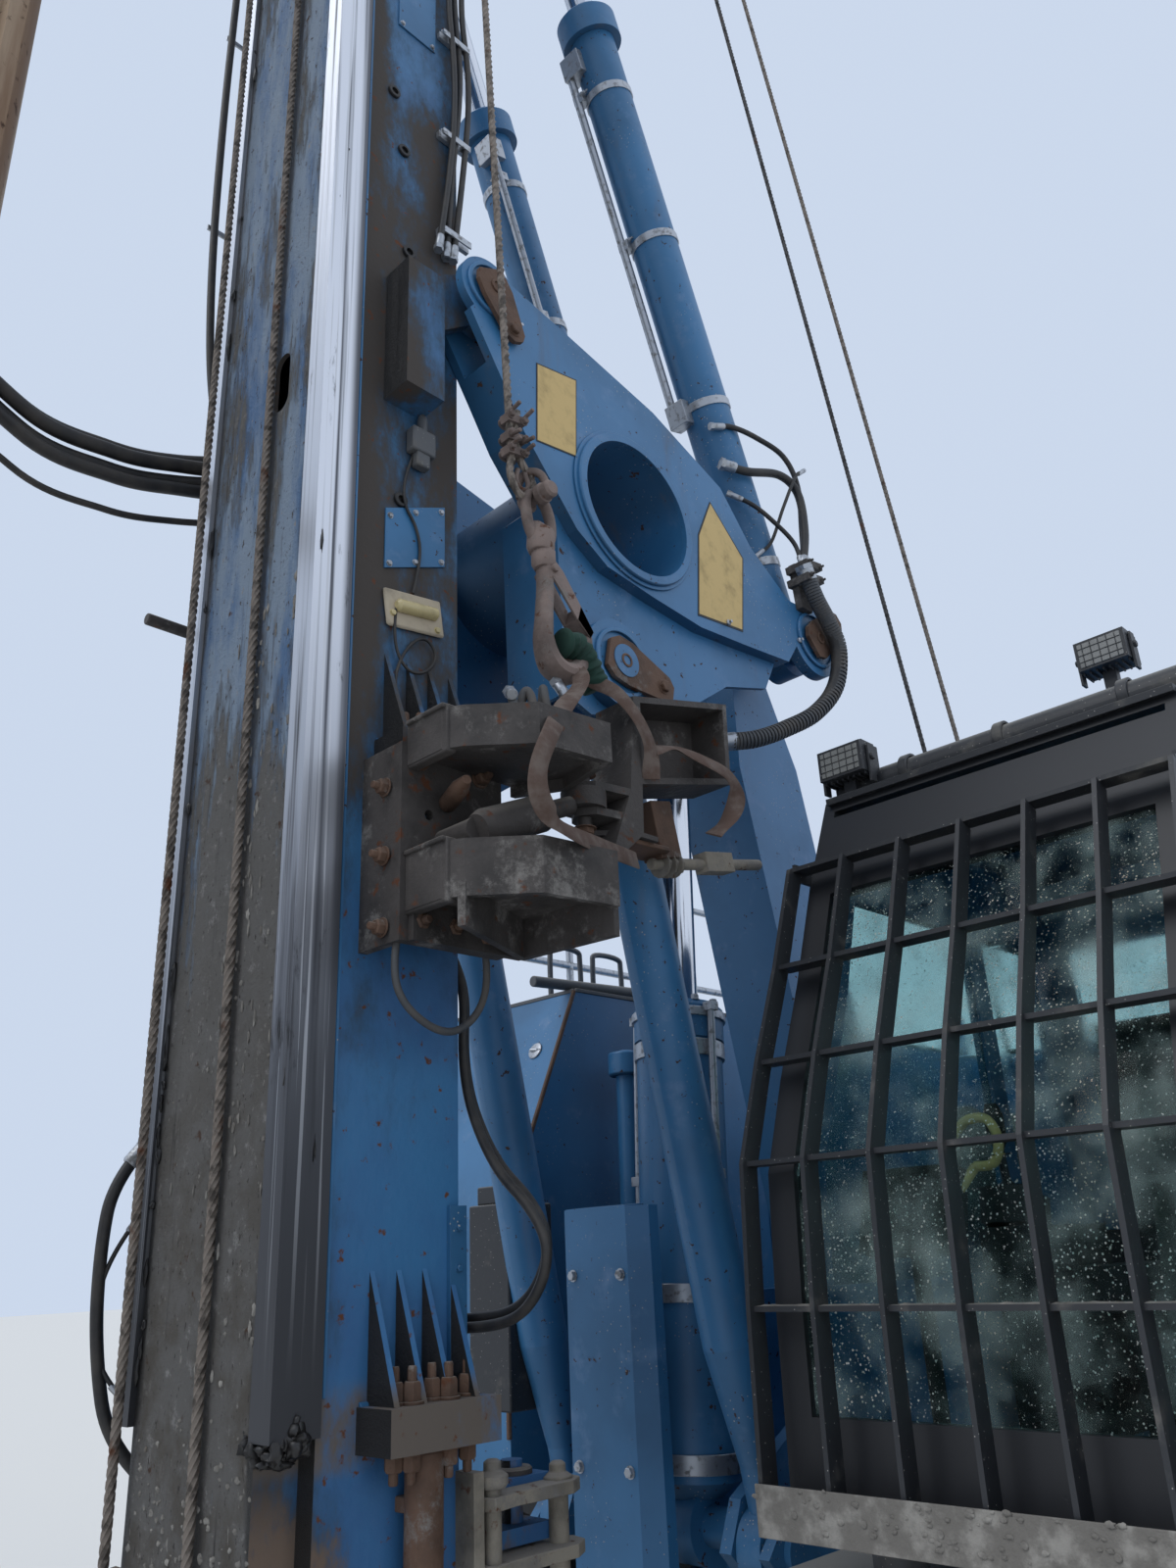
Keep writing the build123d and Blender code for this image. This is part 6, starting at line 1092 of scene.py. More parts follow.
def triangle_trim():
    """Keepers, boss rings, tube rims, blank plates and grease points of the linkage."""
    rings = Form()
    keepers = Form()
    for side in (1, -1):
        for dx, z, r in ((-1.02, 3.57, 0.118), (-0.505, 4.735, 0.1), (-2.165, 4.06, 0.118)):
            rings.ring(at(dx, side * 0.499, z), (0, side, 0), r - 0.014, r, 0.012, 40)
        keeper(keepers, -1.02, 3.57, 0.506, side, 12)
        keeper(keepers, -0.505, 4.735, 0.512, side, 62, 0.85)
        keeper(keepers, -2.165, 4.06, 0.512, side, -42, 0.95)
    rings.piece("pin_boss_rings", "triangle", BLUE_PAINT, 0.002)
    keepers.piece("pin_keepers", "triangle", RUSTY, 0.003)
    form = Form()
    for side in (1, -1):
        form.ring(at(-1.135, side * 0.5, 4.19), (0, side, 0), 0.247, 0.279, 0.02, 64)
        form.ring(at(-1.135, side * 0.5, 4.19), (0, side, 0), 0.264, 0.292, 0.008, 64)
    form.piece("tube_rims", "triangle", BLUE_PAINT, 0.004)
    plates = Form()
    edges = Form()
    square = ((-0.694, 4.56), (-0.879, 4.596), (-0.861, 4.27), (-0.682, 4.242))
    house = ((-1.474, 4.248), (-1.563, 4.43), (-1.738, 4.257), (-1.688, 3.925), (-1.431, 3.897))
    for outline in (square, house):
        mid_x = sum(dx for dx, z in outline) / len(outline)
        mid_z = sum(z for dx, z in outline) / len(outline)
        inner = [(mid_x + (dx - mid_x) * 0.95, mid_z + (z - mid_z) * 0.965) for dx, z in outline]
        for y, push in ((0.4995, 0.0022), (-0.5035, 0.002)):
            edges.slab(outline, min(y, y + push), max(y, y + push))
        plates.slab(inner, 0.5005, 0.5025)
        plates.slab(inner, -0.5045, -0.5025)
    edges.piece("blank_plate_edges", "triangle", SIGN_EDGE)
    plates.piece("blank_plates", "triangle", SIGN_YELLOW)
    form = Form()
    for side in (1, -1):
        for dx, z in ((-1.02, 3.42), (-0.62, 4.66), (-2.05, 4.02), (-1.6, 3.93)):
            form.turned(at(dx, side * 0.5, z), (0, side, 0), ((0.011, 0), (0.011, 0.008),
                                                             (0.005, 0.012), (0.006, 0.02)), 8)
    form.piece("grease_points", "triangle", ZINC)


def arm_trim():
    """Pin collars at the arms' feet, on the arms and the upper link."""
    for body, dx, z, y in (("arms", -1.54, 1.10, 0.462), ("link", -2.685, 1.59, 0.365)):
        form = Form()
        for side in (1, -1):
            form.ring(at(dx, side * (y - 0.03), z), (0, side, 0), 0.06, 0.085, 0.012, 30)
        form.piece(body + "_foot_collars", body, GEAR_STEEL, 0.002)


def luffing_trim():
    """Bands, pipe and head collar of the luffing cylinder."""
    axis = LUFF_TOP - LUFF_FOOT
    form = Form()
    for t in (0.05, 0.22, 0.5):
        form.ring(LUFF_FOOT.lerp(LUFF_TOP, t), axis, 0.1485, 0.157, 0.055, 48)
    form.ring(LUFF_FOOT.lerp(LUFF_TOP, 0.548), axis, 0.1555, 0.165, 0.03, 48)
    form.piece("luffing_bands", "luff_barrel", ZINC, 0.001)
    form = Form()
    for side in (1, -1):
        start = LUFF_FOOT.lerp(LUFF_TOP, 0.16) + Vector((0.03, side * 0.172, 0))
        end = LUFF_FOOT.lerp(LUFF_TOP, 0.56) + Vector((0.03, side * 0.172, 0))
        form.rod(start, end, 0.013, 12)
        for t in (0.0, 0.5, 1.0):
            form.block(start.lerp(end, t), (0.04, 0.036, 0.03))
    form.piece("luffing_pipes", "luff_barrel", ZINC, 0.001)
    form = Form()
    top = Vector((LUFF_TOP.x, 0, LUFF_TOP.z))
    for k in range(8):
        turn = tau * (k + 0.5) / 8
        about = axis.to_track_quat("Z", "Y")
        place = LUFF_FOOT.lerp(top, 0.569) + about @ Vector((0.13 * cos(turn), 0.13 * sin(turn), 0))
        form.nut(place, axis, 0.014, 0.02)
    form.piece("luffing_head_bolts", "luff_barrel", ZINC)


def cover_trim():
    """Bolts of the luffing cylinder's cover."""
    low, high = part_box("front_cover")
    form = Form()
    for y in (-0.1, 0.1):
        for z in (high.z - 0.19, high.z - 0.7):
            form.nut(Vector((high.x, y, z)), (1, 0, 0), 0.014, 0.014)
    form.piece("cover_bolts", "turret", ZINC)
    form = Form()
    form.block(Vector((high.x - 0.045, 0, high.z + 0.002)), (0.09, 0.25, 0.006), (0, 4, 0))
    form.piece("cover_lip", "turret", BLUE_PAINT, 0.002)


def mast_trim():
    """Splice nuts, covers, sensor box, level, cable holes and weld seams of the mast."""
    bolts = Form()
    for z in (SPLICE_LOW, SPLICE_HIGH):
        for side in (1, -1):
            for k in range(5):
                dx = -0.475 + 0.2 * k / 4 + (0.02 if k % 2 else 0)
                y = side * (SIDE_Y + (0.082 if k % 2 else 0.06))
                bolts.stud(at(dx, y, z + 0.045), (0, 0, 1), 0.021, 0.075)
                bolts.stud(at(dx, y, z - 0.045), (0, 0, -1), 0.021, 0.06)
    bolts.piece("splice_bolts", "mast", RUSTY, 0.001)
    seams = Form()
    for z in (SPLICE_LOW, SPLICE_HIGH):
        for side in (1, -1):
            start, end = at(-0.5, side * SIDE_Y, z + 0.045), at(-0.225, side * SIDE_Y, z + 0.045)
            seams.rod(start, end, 0.009, 8)
    for side in (1, -1):
        seams.rod(at(-0.135, side * SIDE_Y, 1.6), at(-0.135, side * SIDE_Y, 18.2), 0.006, 6)
    seams.piece("mast_weld_seams", "mast", BLUE_PAINT)
    covers = Form()
    screws = Form()
    for side in (1, -1):
        y = side * SIDE_Y
        low, high = min(y, y + side * 0.006), max(y, y + side * 0.006)
        covers.slab(((-0.235, 3.67), (-0.449, 3.76), (-0.449, 3.97), (-0.235, 3.87)), low, high)
        for dx, z in ((-0.25, 3.69), (-0.34, 3.73), (-0.435, 3.77), (-0.25, 3.85), (-0.34, 3.9),
                      (-0.435, 3.945)):
            screws.nut(at(dx, y + side * 0.006, z), (0, side, 0), 0.008, 0.007)
        for z0 in (5.9, 8.2, 10.6, 13.0, 15.4):
            covers.slab(((-0.24, z0), (-0.4, z0), (-0.4, z0 + 0.3), (-0.24, z0 + 0.3)), low, high)
            for dx in (-0.255, -0.385):
                for dz in (0.015, 0.285):
                    screws.nut(at(dx, y + side * 0.006, z0 + dz), (0, side, 0), 0.008, 0.007)
    covers.piece("mast_covers", "mast", BLUE_PAINT, 0.001)
    screws.piece("mast_cover_screws", "mast", ZINC)
    rear = Form()
    for z0 in (2.1, 6.6, 9.8, 12.2, 14.6, 16.9):
        rear.plate([at(-0.5, y, z) for y, z in ((-0.17, z0), (0.17, z0), (0.17, z0 + 0.4),
                                               (-0.17, z0 + 0.4))], (-0.008, 0, 0))
        for y in (-0.145, 0.145):
            for dz in (0.03, 0.37):
                rear.nut(at(-0.508, y, z0 + dz), (-1, 0, 0), 0.011, 0.01)
    rear.piece("mast_rear_covers", "mast", BLUE_PAINT, 0.002)
    box = Form()
    box.block(at(-0.345, SIDE_Y + 0.022, 4.14), (0.085, 0.04, 0.085))
    box.turned(at(-0.35, SIDE_Y + 0.02, 4.18), (0, 0, 1), ((0.016, 0), (0.016, 0.05),
                                                          (0.009, 0.07)), 12)
    box.block(at(-0.345, SIDE_Y + 0.022, 4.075), (0.05, 0.032, 0.05))
    box.piece("sensor_box", "mast", GREY_PAINT, 0.006)
    level = Form()
    level.block(at(-0.336, SIDE_Y + 0.008, 3.56), (0.2, 0.014, 0.115), (0, 8, 0))
    level.piece("level_plate", "mast", PLATE_CREAM, 0.012)
    level = Form()
    level.turned(at(-0.41, SIDE_Y + 0.022, 3.575), (1, 0, -0.14), ((0.01, 0), (0.019, 0.008),
                                                                  (0.019, 0.138), (0.01, 0.146)))
    for dx in (-0.415, -0.26):
        level.nut(at(dx, SIDE_Y + 0.014, 3.53), (0, 1, 0), 0.009, 0.008)
    level.piece("level_vial", "mast", VIAL, 0.001)
    holes = Form()
    for dx, z in ((-0.286, 3.92), (-0.266, 3.53), (-0.227, 5.55), (-0.272, 5.31), (-0.299, 4.88)):
        holes.ring(at(dx, SIDE_Y, z), (0, 1, 0), 0.013, 0.023, 0.012, 20)
        holes.turned(at(dx, SIDE_Y, z), (0, 1, 0), ((0.0135, 0), (0.0135, 0.002)), 18)
    holes.piece("cable_grommets", "mast", RUBBER_BLACK)
    clips = Form()
    for z in (5.05, 5.5, 6.0, 6.6, 7.4, 8.3, 9.4):
        clips.block(at(-0.475, SIDE_Y + 0.01, z), (0.13, 0.016, 0.028))
        clips.block(at(-0.475, SIDE_Y + 0.036, z), (0.12, 0.006, 0.026))
        clips.nut(at(-0.418, SIDE_Y + 0.03, z), (0, 1, 0), 0.009, 0.012)
    for z in (5.4, 6.4, 7.8, 9.1):
        clips.block(at(-0.2, -(SIDE_Y + FAR_HOSE_Y) / 2, z), (0.03, FAR_HOSE_Y - SIDE_Y, 0.022))
        clips.block(at(-0.1, -FAR_HOSE_Y - 0.018, z), (0.23, 0.008, 0.022))
    clips.piece("hose_clips", "mast", ZINC, 0.002)
    strip = Form()
    strip.block(at(-0.49, SIDE_Y + 0.004, 1.78), (0.05, 0.02, 0.4))
    for z in (1.64, 1.72, 1.84, 1.93):
        strip.nut(at(-0.49, SIDE_Y + 0.014, z), (0, 1, 0), 0.009, 0.008)
    strip.piece("mast_edge_strip", "mast", BLUE_PAINT, 0.003)
    pipe = Form()
    pipe.rod(at(-0.36, SIDE_Y + 0.055, 1.03), at(-0.36, SIDE_Y + 0.055, 1.485), 0.042, 20)
    for z in (1.1, 1.38):
        pipe.block(at(-0.36, SIDE_Y + 0.02, z), (0.07, 0.06, 0.03))
    pipe.piece("foot_pipe", "mast", RUSTY, 0.003)
    latch = Form()
    for z in (1.262, 1.384):
        for side in (1, -1):
            latch.ring(at(-0.71, side * 0.27, z - 0.012), (0, 0, 1), 0.0265, 0.05, 0.024)
    latch.piece("foot_pin_washers", "mast", GEAR_STEEL)


def guide_trim():
    """Bolts, bar and hoses on the guide gear."""
    form = Form()
    face = GUIDE_FACE
    for dx, z in ((-0.245, 2.61), (-0.345, 2.61), (-0.44, 2.6), (-0.245, 3.03), (-0.44, 3.03)):
        form.stud(at(dx, face, z), (0, 1, 0), 0.022, 0.045)
    for z in (2.6, 2.78, 2.96):
        form.stud(at(-0.184, face - 0.06, z), (1, 0, 0), 0.02, 0.04)
    form.turned(at(-0.33, face, 2.93), (0.35, 1, 0.1), ((0.02, 0), (0.024, 0.01), (0.024, 0.1),
                                                       (0.012, 0.15)))
    form.stud(at(-0.7, face + 0.125, 3.065), (0, 0, 1), 0.03, 0.045)
    form.stud(at(-0.7, face + 0.125, 2.915), (0, 0, -1), 0.026, 0.035)
    for dx, y, z in ((-0.3, 0.62, 3.118), (-0.45, 0.7, 3.118)):
        form.stud(at(dx, y, z - 0.003), (0, 0, 1), 0.018, 0.03)
    form.piece("guide_bolts", "mast", RUSTY, 0.001)
    bar = Form()
    bar.rod(at(-0.98, 0.6, 2.875), at(-1.47, 0.62, 2.965), 0.017)
    for t in (0.08, 0.14, 0.2):
        bar.nut(at(-0.98 - 0.49 * t, 0.6, 2.875 + 0.09 * t), (-1, 0.04, 0.18), 0.032, 0.026)
    bar.block(at(-1.26, 0.61, 2.93), (0.13, 0.05, 0.06), (0, 10, 0))
    bar.piece("guide_bar", "mast", CEMENTED, 0.002)
    plate = Form()
    plate.plate([at(-0.8, 0.54, 2.885), at(-0.82, 0.68, 2.885), at(-1.0, 0.66, 2.9),
                 at(-1.06, 0.545, 2.91)], (0, 0, 0.014))
    plate.block(at(-1.02, 0.6, 2.98), (0.09, 0.07, 0.17), (0, 12, 0))
    plate.piece("guide_stay", "mast", RUSTY, 0.003)
    lips = Form()
    for z, top in ((2.63, 2.77), (3.005, 3.115)):
        lips.block(at(-0.222, 0.57, (z + top) / 2), (0.03, 0.16, top - z + 0.016))
        lips.block(at(-0.222, 0.57, top + 0.004), (0.05, 0.15, 0.012))
    lips.piece("jaw_root_lips", "mast", GEAR_STEEL, 0.004)


def blue_pipes():
    """Upright pipe, its collar and a short stub on top, beside the right house."""
    form = Form()
    form.rod(at(-1.99, -0.5, 1.35), at(-2.02, -0.5, 2.53), 0.04, 24)
    form.ring(at(-2.02, -0.5, 2.5), (-0.02, 0, 1), 0.035, 0.07, 0.09, 28)
    form.rod(at(-2.02, -0.5, 2.55), at(-2.02, -0.5, 2.6), 0.028, 20)
    form.piece("upright_pipe", "turret", CLEAN_BLUE, 0.004)


def drive_hoses():
    """Hoses that hang in a loop from the mast's far flank to the rotary drive."""
    form = Form()
    for k, (r, low, out, y) in enumerate(((0.024, 0.0, 0.0, 0.0), (0.024, 0.05, 0.03, -0.03),
                                          (0.022, 0.1, 0.05, 0.01), (0.02, -0.045, -0.05, -0.04),
                                          (0.011, 0.21, 0.07, -0.02))):
        route = smooth_run([
            at(-0.26, -0.35, 4.42 - low), at(-0.2, -0.46, 4.42 - low),
            at(0.0, -0.52 + y, 4.38 - low), at(0.22, -0.53 + y, 4.33 - low),
            at(0.5, -0.56 + y, 4.37 - low), at(0.82, -0.62 + y, 4.7 - low),
            at(1.08 + out, -0.74 + y, 5.5), at(1.16 + out, -0.8 + y, 6.6),
            at(1.12 + out, -0.76 + y, 7.9), at(1.02 + out, -0.64, 8.8),
            at(0.86 + 0.06 * k, -0.49, 9.2)], 12)
        tube = Form().swept(route, r, (0, 1, 0)).piece(f"drive_hose_{k}", None, HOSE)
        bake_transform(tube)
        form.turned(route[-1] + Vector((0, 0.03, 0)), (0, -1, 0), ((r * 1.6, 0), (r * 1.6, 0.03),
                                                                 (r * 1.25, 0.035),
                                                                 (r * 1.25, 0.09)), 12)
    form.block(at(0.98, -0.478, 9.2), (0.42, 0.05, 0.13))
    form.piece("drive_manifold", "carriage", GEAR_STEEL, 0.004)
    form = Form()
    form.block(at(-0.26, -0.34, 4.34), (0.07, 0.02, 0.34))
    form.block(at(-0.2, -0.42, 3.74), (0.05, 0.18, 0.05))
    form.rod(at(-0.21, -0.47, 3.74), at(0.08, -0.47, 3.74), 0.019)
    form.piece("far_hose_clamp", "mast", GEAR_STEEL, 0.003)


def lump(form, place, size, draws):
    """Rough lump of dirt, its surface pushed in and out at random."""
    made = bmesh.ops.create_icosphere(form.mesh, subdivisions=2, radius=1.0)
    for vertex in made["verts"]:
        vertex.co *= draws.uniform(0.55, 1.2)
        vertex.co = place + Vector(vertex.co[k] * size[k] for k in range(3))


def grease_lumps():
    """Grease and cement that has built up beside the rails and on the foot."""
    draws = Random(7)
    form = Form()
    for k in range(150):
        z = 1.58 + 4.6 * draws.random() ** 1.7
        side = 1 if draws.random() < 0.7 else -1
        y = side * (draws.choice((HALF_MAST - 0.085, HALF_MAST - 0.015)) + draws.gauss(0, 0.006))
        x = -0.012 if abs(y) < HALF_MAST - 0.05 else -0.004 - 0.09 * draws.random()
        tall = draws.uniform(0.01, 0.055)
        lump(form, at(x, y, z), (draws.uniform(0.004, 0.009), draws.uniform(0.004, 0.01), tall),
             draws)
    for k in range(60):
        y = draws.uniform(HALF_MAST - 0.13, HALF_MAST + 0.005)
        lump(form, at(draws.uniform(-0.09, -0.005), y, 1.525 + draws.gauss(0, 0.018)),
             tuple(draws.uniform(0.008, 0.024) for axis in range(3)), draws)
    form.piece("rail_grease", "mast", BLACK_GREASE, sharp=80)
    form = Form()
    for k in range(260):
        y = draws.uniform(-HALF_MAST + 0.09, HALF_MAST - 0.08)
        z = MAST_LOW_END + 0.03 + 0.55 * draws.random() ** 1.8
        grow = draws.uniform(0.002, 0.009)
        lump(form, at(-0.015, y, z), (grow * 0.5, grow * 1.2, grow), draws)
    for k in range(90):
        y = draws.gauss(0.1, 0.09)
        z = draws.uniform(1.6, 3.6)
        lump(form, at(-0.014, min(y, 0.24), z), (0.003, draws.uniform(0.003, 0.009),
                                                 draws.uniform(0.004, 0.025)), draws)
    form.piece("mast_crust", "mast", CEMENT_CRUST, sharp=80)


def foot_hinge():
    """Bolted hinge arms behind the foot, with their upright pins and knobs."""
    form = Form()
    for z, dx_far in ((1.352, -0.84), (1.222, -0.85)):
        outline = [(-0.5, 0.3), (-0.54, 0.41), (-0.62, 0.395), (dx_far + 0.05, 0.4),
                   (dx_far, 0.37), (dx_far - 0.01, 0.32), (dx_far + 0.04, 0.285), (-0.62, 0.3)]
        form.plate([at(dx, y, z - 0.014) for dx, y in outline], (0, 0, 0.028))
    form.rod(at(-0.56, 0.375, 1.15), at(-0.56, 0.375, 1.41), 0.02, 18)
    form.rod(at(-0.79, 0.345, 1.17), at(-0.79, 0.345, 1.38), 0.024, 18)
    for dx, y, z in ((-0.56, 0.375, 1.41), (-0.79, 0.345, 1.375)):
        form.turned(at(dx, y, z), (0, 0, 1), ((0.03, -0.03), (0.036, -0.022), (0.036, -0.004),
                                              (0.02, 0.006), (0.02, 0.022), (0.012, 0.028)), 18)
    form.block(at(-0.505, 0.36, 1.28), (0.03, 0.07, 0.28))
    form.piece("foot_hinge", "mast", CEMENTED, 0.004)


def mud_strip(form, draws, front, depth, z, rise):
    """Uneven strip of dried mud across the guard, on a flat bar."""
    low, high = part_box("cab_guard")
    rings = []
    count = 90
    for k in range(count + 1):
        y = low.y + 0.005 + (high.y - low.y - 0.01) * k / count
        up = rise * (0.6 + 0.8 * draws.random())
        back = front - depth * draws.uniform(0.8, 1.0)
        rings.append([Vector((front, y, z)), Vector((front, y, z + up)),
                      Vector((front - depth * 0.25, y, z + up * 1.5)),
                      Vector((back + depth * 0.3, y, z + up)), Vector((back, y, z))])
    form.skin(rings)


def guard_mud():
    """Lip below the guard's bars, with dried mud on it, on the shelf and on the crossbars."""
    draws = Random(3)
    low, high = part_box("cab_guard")
    lip = Form()
    lip.plate([Vector((high.x + 0.002, low.y, low.z - 0.02)), Vector((high.x + 0.002, high.y,
              low.z - 0.02)), Vector((high.x + 0.002, high.y, low.z + 0.08)),
               Vector((high.x + 0.002, low.y, low.z + 0.08))], (0.007, 0, 0))
    for k in range(6):
        y = low.y + 0.1 + 0.17 * k
        lip.turned(Vector((high.x + 0.009, y, low.z + 0.03)), (1, 0, 0), ((0.008, 0),
                                                                        (0.007, 0.003)), 12)
    lip.piece("guard_lip", "turret", CEMENT_CRUST, 0.002)
    form = Form()
    mud_strip(form, draws, high.x + 0.001, 0.09, low.z + 0.01, 0.008)
    mud_strip(form, draws, SLEW_X + 1.972, 0.06, 1.726, 0.004)
    for k in range(90):
        y = draws.uniform(low.y, high.y)
        grow = draws.uniform(0.002, 0.007)
        lump(form, Vector((high.x + 0.01, y, low.z + draws.uniform(-0.015, 0.08))),
             (grow * 0.4, grow * 1.6, grow), draws)
    form.piece("guard_mud", "turret", CEMENT_CRUST, sharp=80)


def lamp_trim():
    """Lens, bezel and cooling ribs of the two work lamps."""
    body_x = FACE_X - 1.6
    lens = Form()
    ribs = Form()
    for dx, y, z in ((0.11, 0.955, 3.2075), (-0.35, 1.615, 3.4775)):
        front = body_x + dx + 0.0205
        lens.block(Vector((front, y, z)), (0.004, 0.13, 0.078))
        for j in range(-2, 3):
            ribs.block(Vector((front + 0.002, y + j * 0.025, z)), (0.004, 0.0025, 0.078))
        for j in range(-1, 2):
            ribs.block(Vector((front + 0.002, y, z + j * 0.022)), (0.004, 0.13, 0.0025))
        for j in range(8):
            ribs.block(Vector((front - 0.055, y - 0.068 + j * 0.0195, z)), (0.07, 0.005, 0.112))
        for side in (-1, 1):
            ribs.block(Vector((front - 0.045, y + side * 0.081, z - 0.02)), (0.03, 0.008, 0.12))
            ribs.nut(Vector((front - 0.045, y + side * 0.083, z)), (0, side, 0), 0.011, 0.01)
    lens.piece("lamp_lenses", "turret", LAMP_LENS, 0.001)
    ribs.piece("lamp_ribs", "turret", DARK, 0.001)


def cab_trim():
    """Visor bands, grab rail, door handle, consoles, screen and grip of the cab."""
    form = Form()
    tube_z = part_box("cab_shell")[1].z + 0.055
    for y in (1.1, 1.4, 1.75):
        form.ring(Vector((FACE_X - 1.6, y, tube_z)), (0, 1, 0), 0.046, 0.054, 0.03, 24)
    form.block(Vector((FACE_X - 1.55, 1.4, tube_z - 0.055)), (0.16, 1.02, 0.02), (0, 6, 0))
    form.piece("visor_bands", "turret", DARK, 0.002)
    form = Form()
    x = SLEW_X + 0.72
    rail = [Vector((x, 1.925, 1.75)), Vector((x, 1.985, 1.78)), Vector((x, 1.99, 2.0)),
            Vector((x, 1.985, 2.28)), Vector((x, 1.925, 2.31))]
    bent_bar(form, rail, 0.013, up=(1, 0, 0))
    form.piece("cab_grab_rail", "turret", DARK)
    form = Form()
    rail = [Vector((SLEW_X + 1.6, 1.93, 1.45)), Vector((SLEW_X + 1.6, 1.975, 1.47)),
            Vector((SLEW_X + 1.6, 1.98, 1.62)), Vector((SLEW_X + 1.6, 1.93, 1.64))]
    bent_bar(form, rail, 0.011, up=(1, 0, 0))
    form.block(Vector((SLEW_X + 1.5, 1.935, 1.62)), (0.09, 0.012, 0.04))
    form.piece("door_handle", "cab_door_leaf", DARK, 0.002)
    inside = Form()
    seat_x, seat_y = SLEW_X + 0.62, 1.395
    for side in (-1, 1):
        y = seat_y + side * 0.33
        inside.block(Vector((seat_x + 0.22, y, 1.82)), (0.5, 0.15, 0.12))
        inside.block(Vector((seat_x + 0.38, y, 1.92)), (0.16, 0.13, 0.1), (0, -14, 0))
        inside.turned(Vector((seat_x + 0.4, y, 1.95)), (0.1, 0, 1), ((0.035, 0), (0.03, 0.03),
                                                                    (0.012, 0.05), (0.012, 0.13),
                                                                    (0.026, 0.16), (0.028, 0.23),
                                                                    (0.016, 0.26)), 14)
    inside.block(Vector((seat_x + 0.98, seat_y - 0.3, 1.92)), (0.06, 0.26, 0.2), (0, -18, 0))
    inside.block(Vector((seat_x + 0.98, seat_y + 0.36, 1.75)), (0.06, 0.18, 0.42), (0, -12, 0))
    inside.block(Vector((seat_x + 1.0, seat_y + 0.36, 1.47)), (0.05, 0.1, 0.24))
    inside.rod(Vector((seat_x + 0.98, seat_y - 0.3, 1.35)),
               Vector((seat_x + 0.98, seat_y - 0.3, 1.86)), 0.02)
    inside.piece("cab_consoles", "turret", RUBBER_BLACK, 0.012)
    screen = Form()
    screen.block(Vector((seat_x + 0.949, seat_y - 0.3, 1.925)), (0.012, 0.21, 0.15), (0, -18, 0))
    screen.piece("cab_screen", "turret", GREY_PAINT, 0.004)
    grip = Form()
    bend = [Vector((seat_x + 0.9, seat_y + dy, z)) for dy, z in (
        (-0.2, 2.1), (-0.16, 2.125), (-0.11, 2.12), (-0.09, 2.07), (-0.11, 2.02), (-0.16, 2.015))]
    bent_bar(grip, bend, 0.012, up=(1, 0, 0))
    for end, z in ((bend[0], 1.99), (bend[-1], 1.96)):
        grip.rod(end, Vector((seat_x + 0.96, end.y - 0.02, z)), 0.012)
    grip.piece("cab_grip", "turret", SIGN_YELLOW)


def latch(form, place, out, size=0.05):
    """Folding latch: dished plate, its paddle and two rivets."""
    out = Vector(out)
    wide = out.cross(Vector((0, 0, 1))).normalized()
    turn = out.to_track_quat("Z", "Y")
    form.turned(place, out, ((size * 0.7, 0), (size * 0.66, 0.004), (size * 0.5, 0.006)), 20)
    form.rod(place + out * 0.004 - wide * size * 0.35, place + out * 0.012 + wide * size * 0.35,
             size * 0.13, 10)
    for side in (-1, 1):
        form.turned(place + wide * side * size * 0.52, out, ((0.005, 0), (0.004, 0.008)), 8)
    return turn


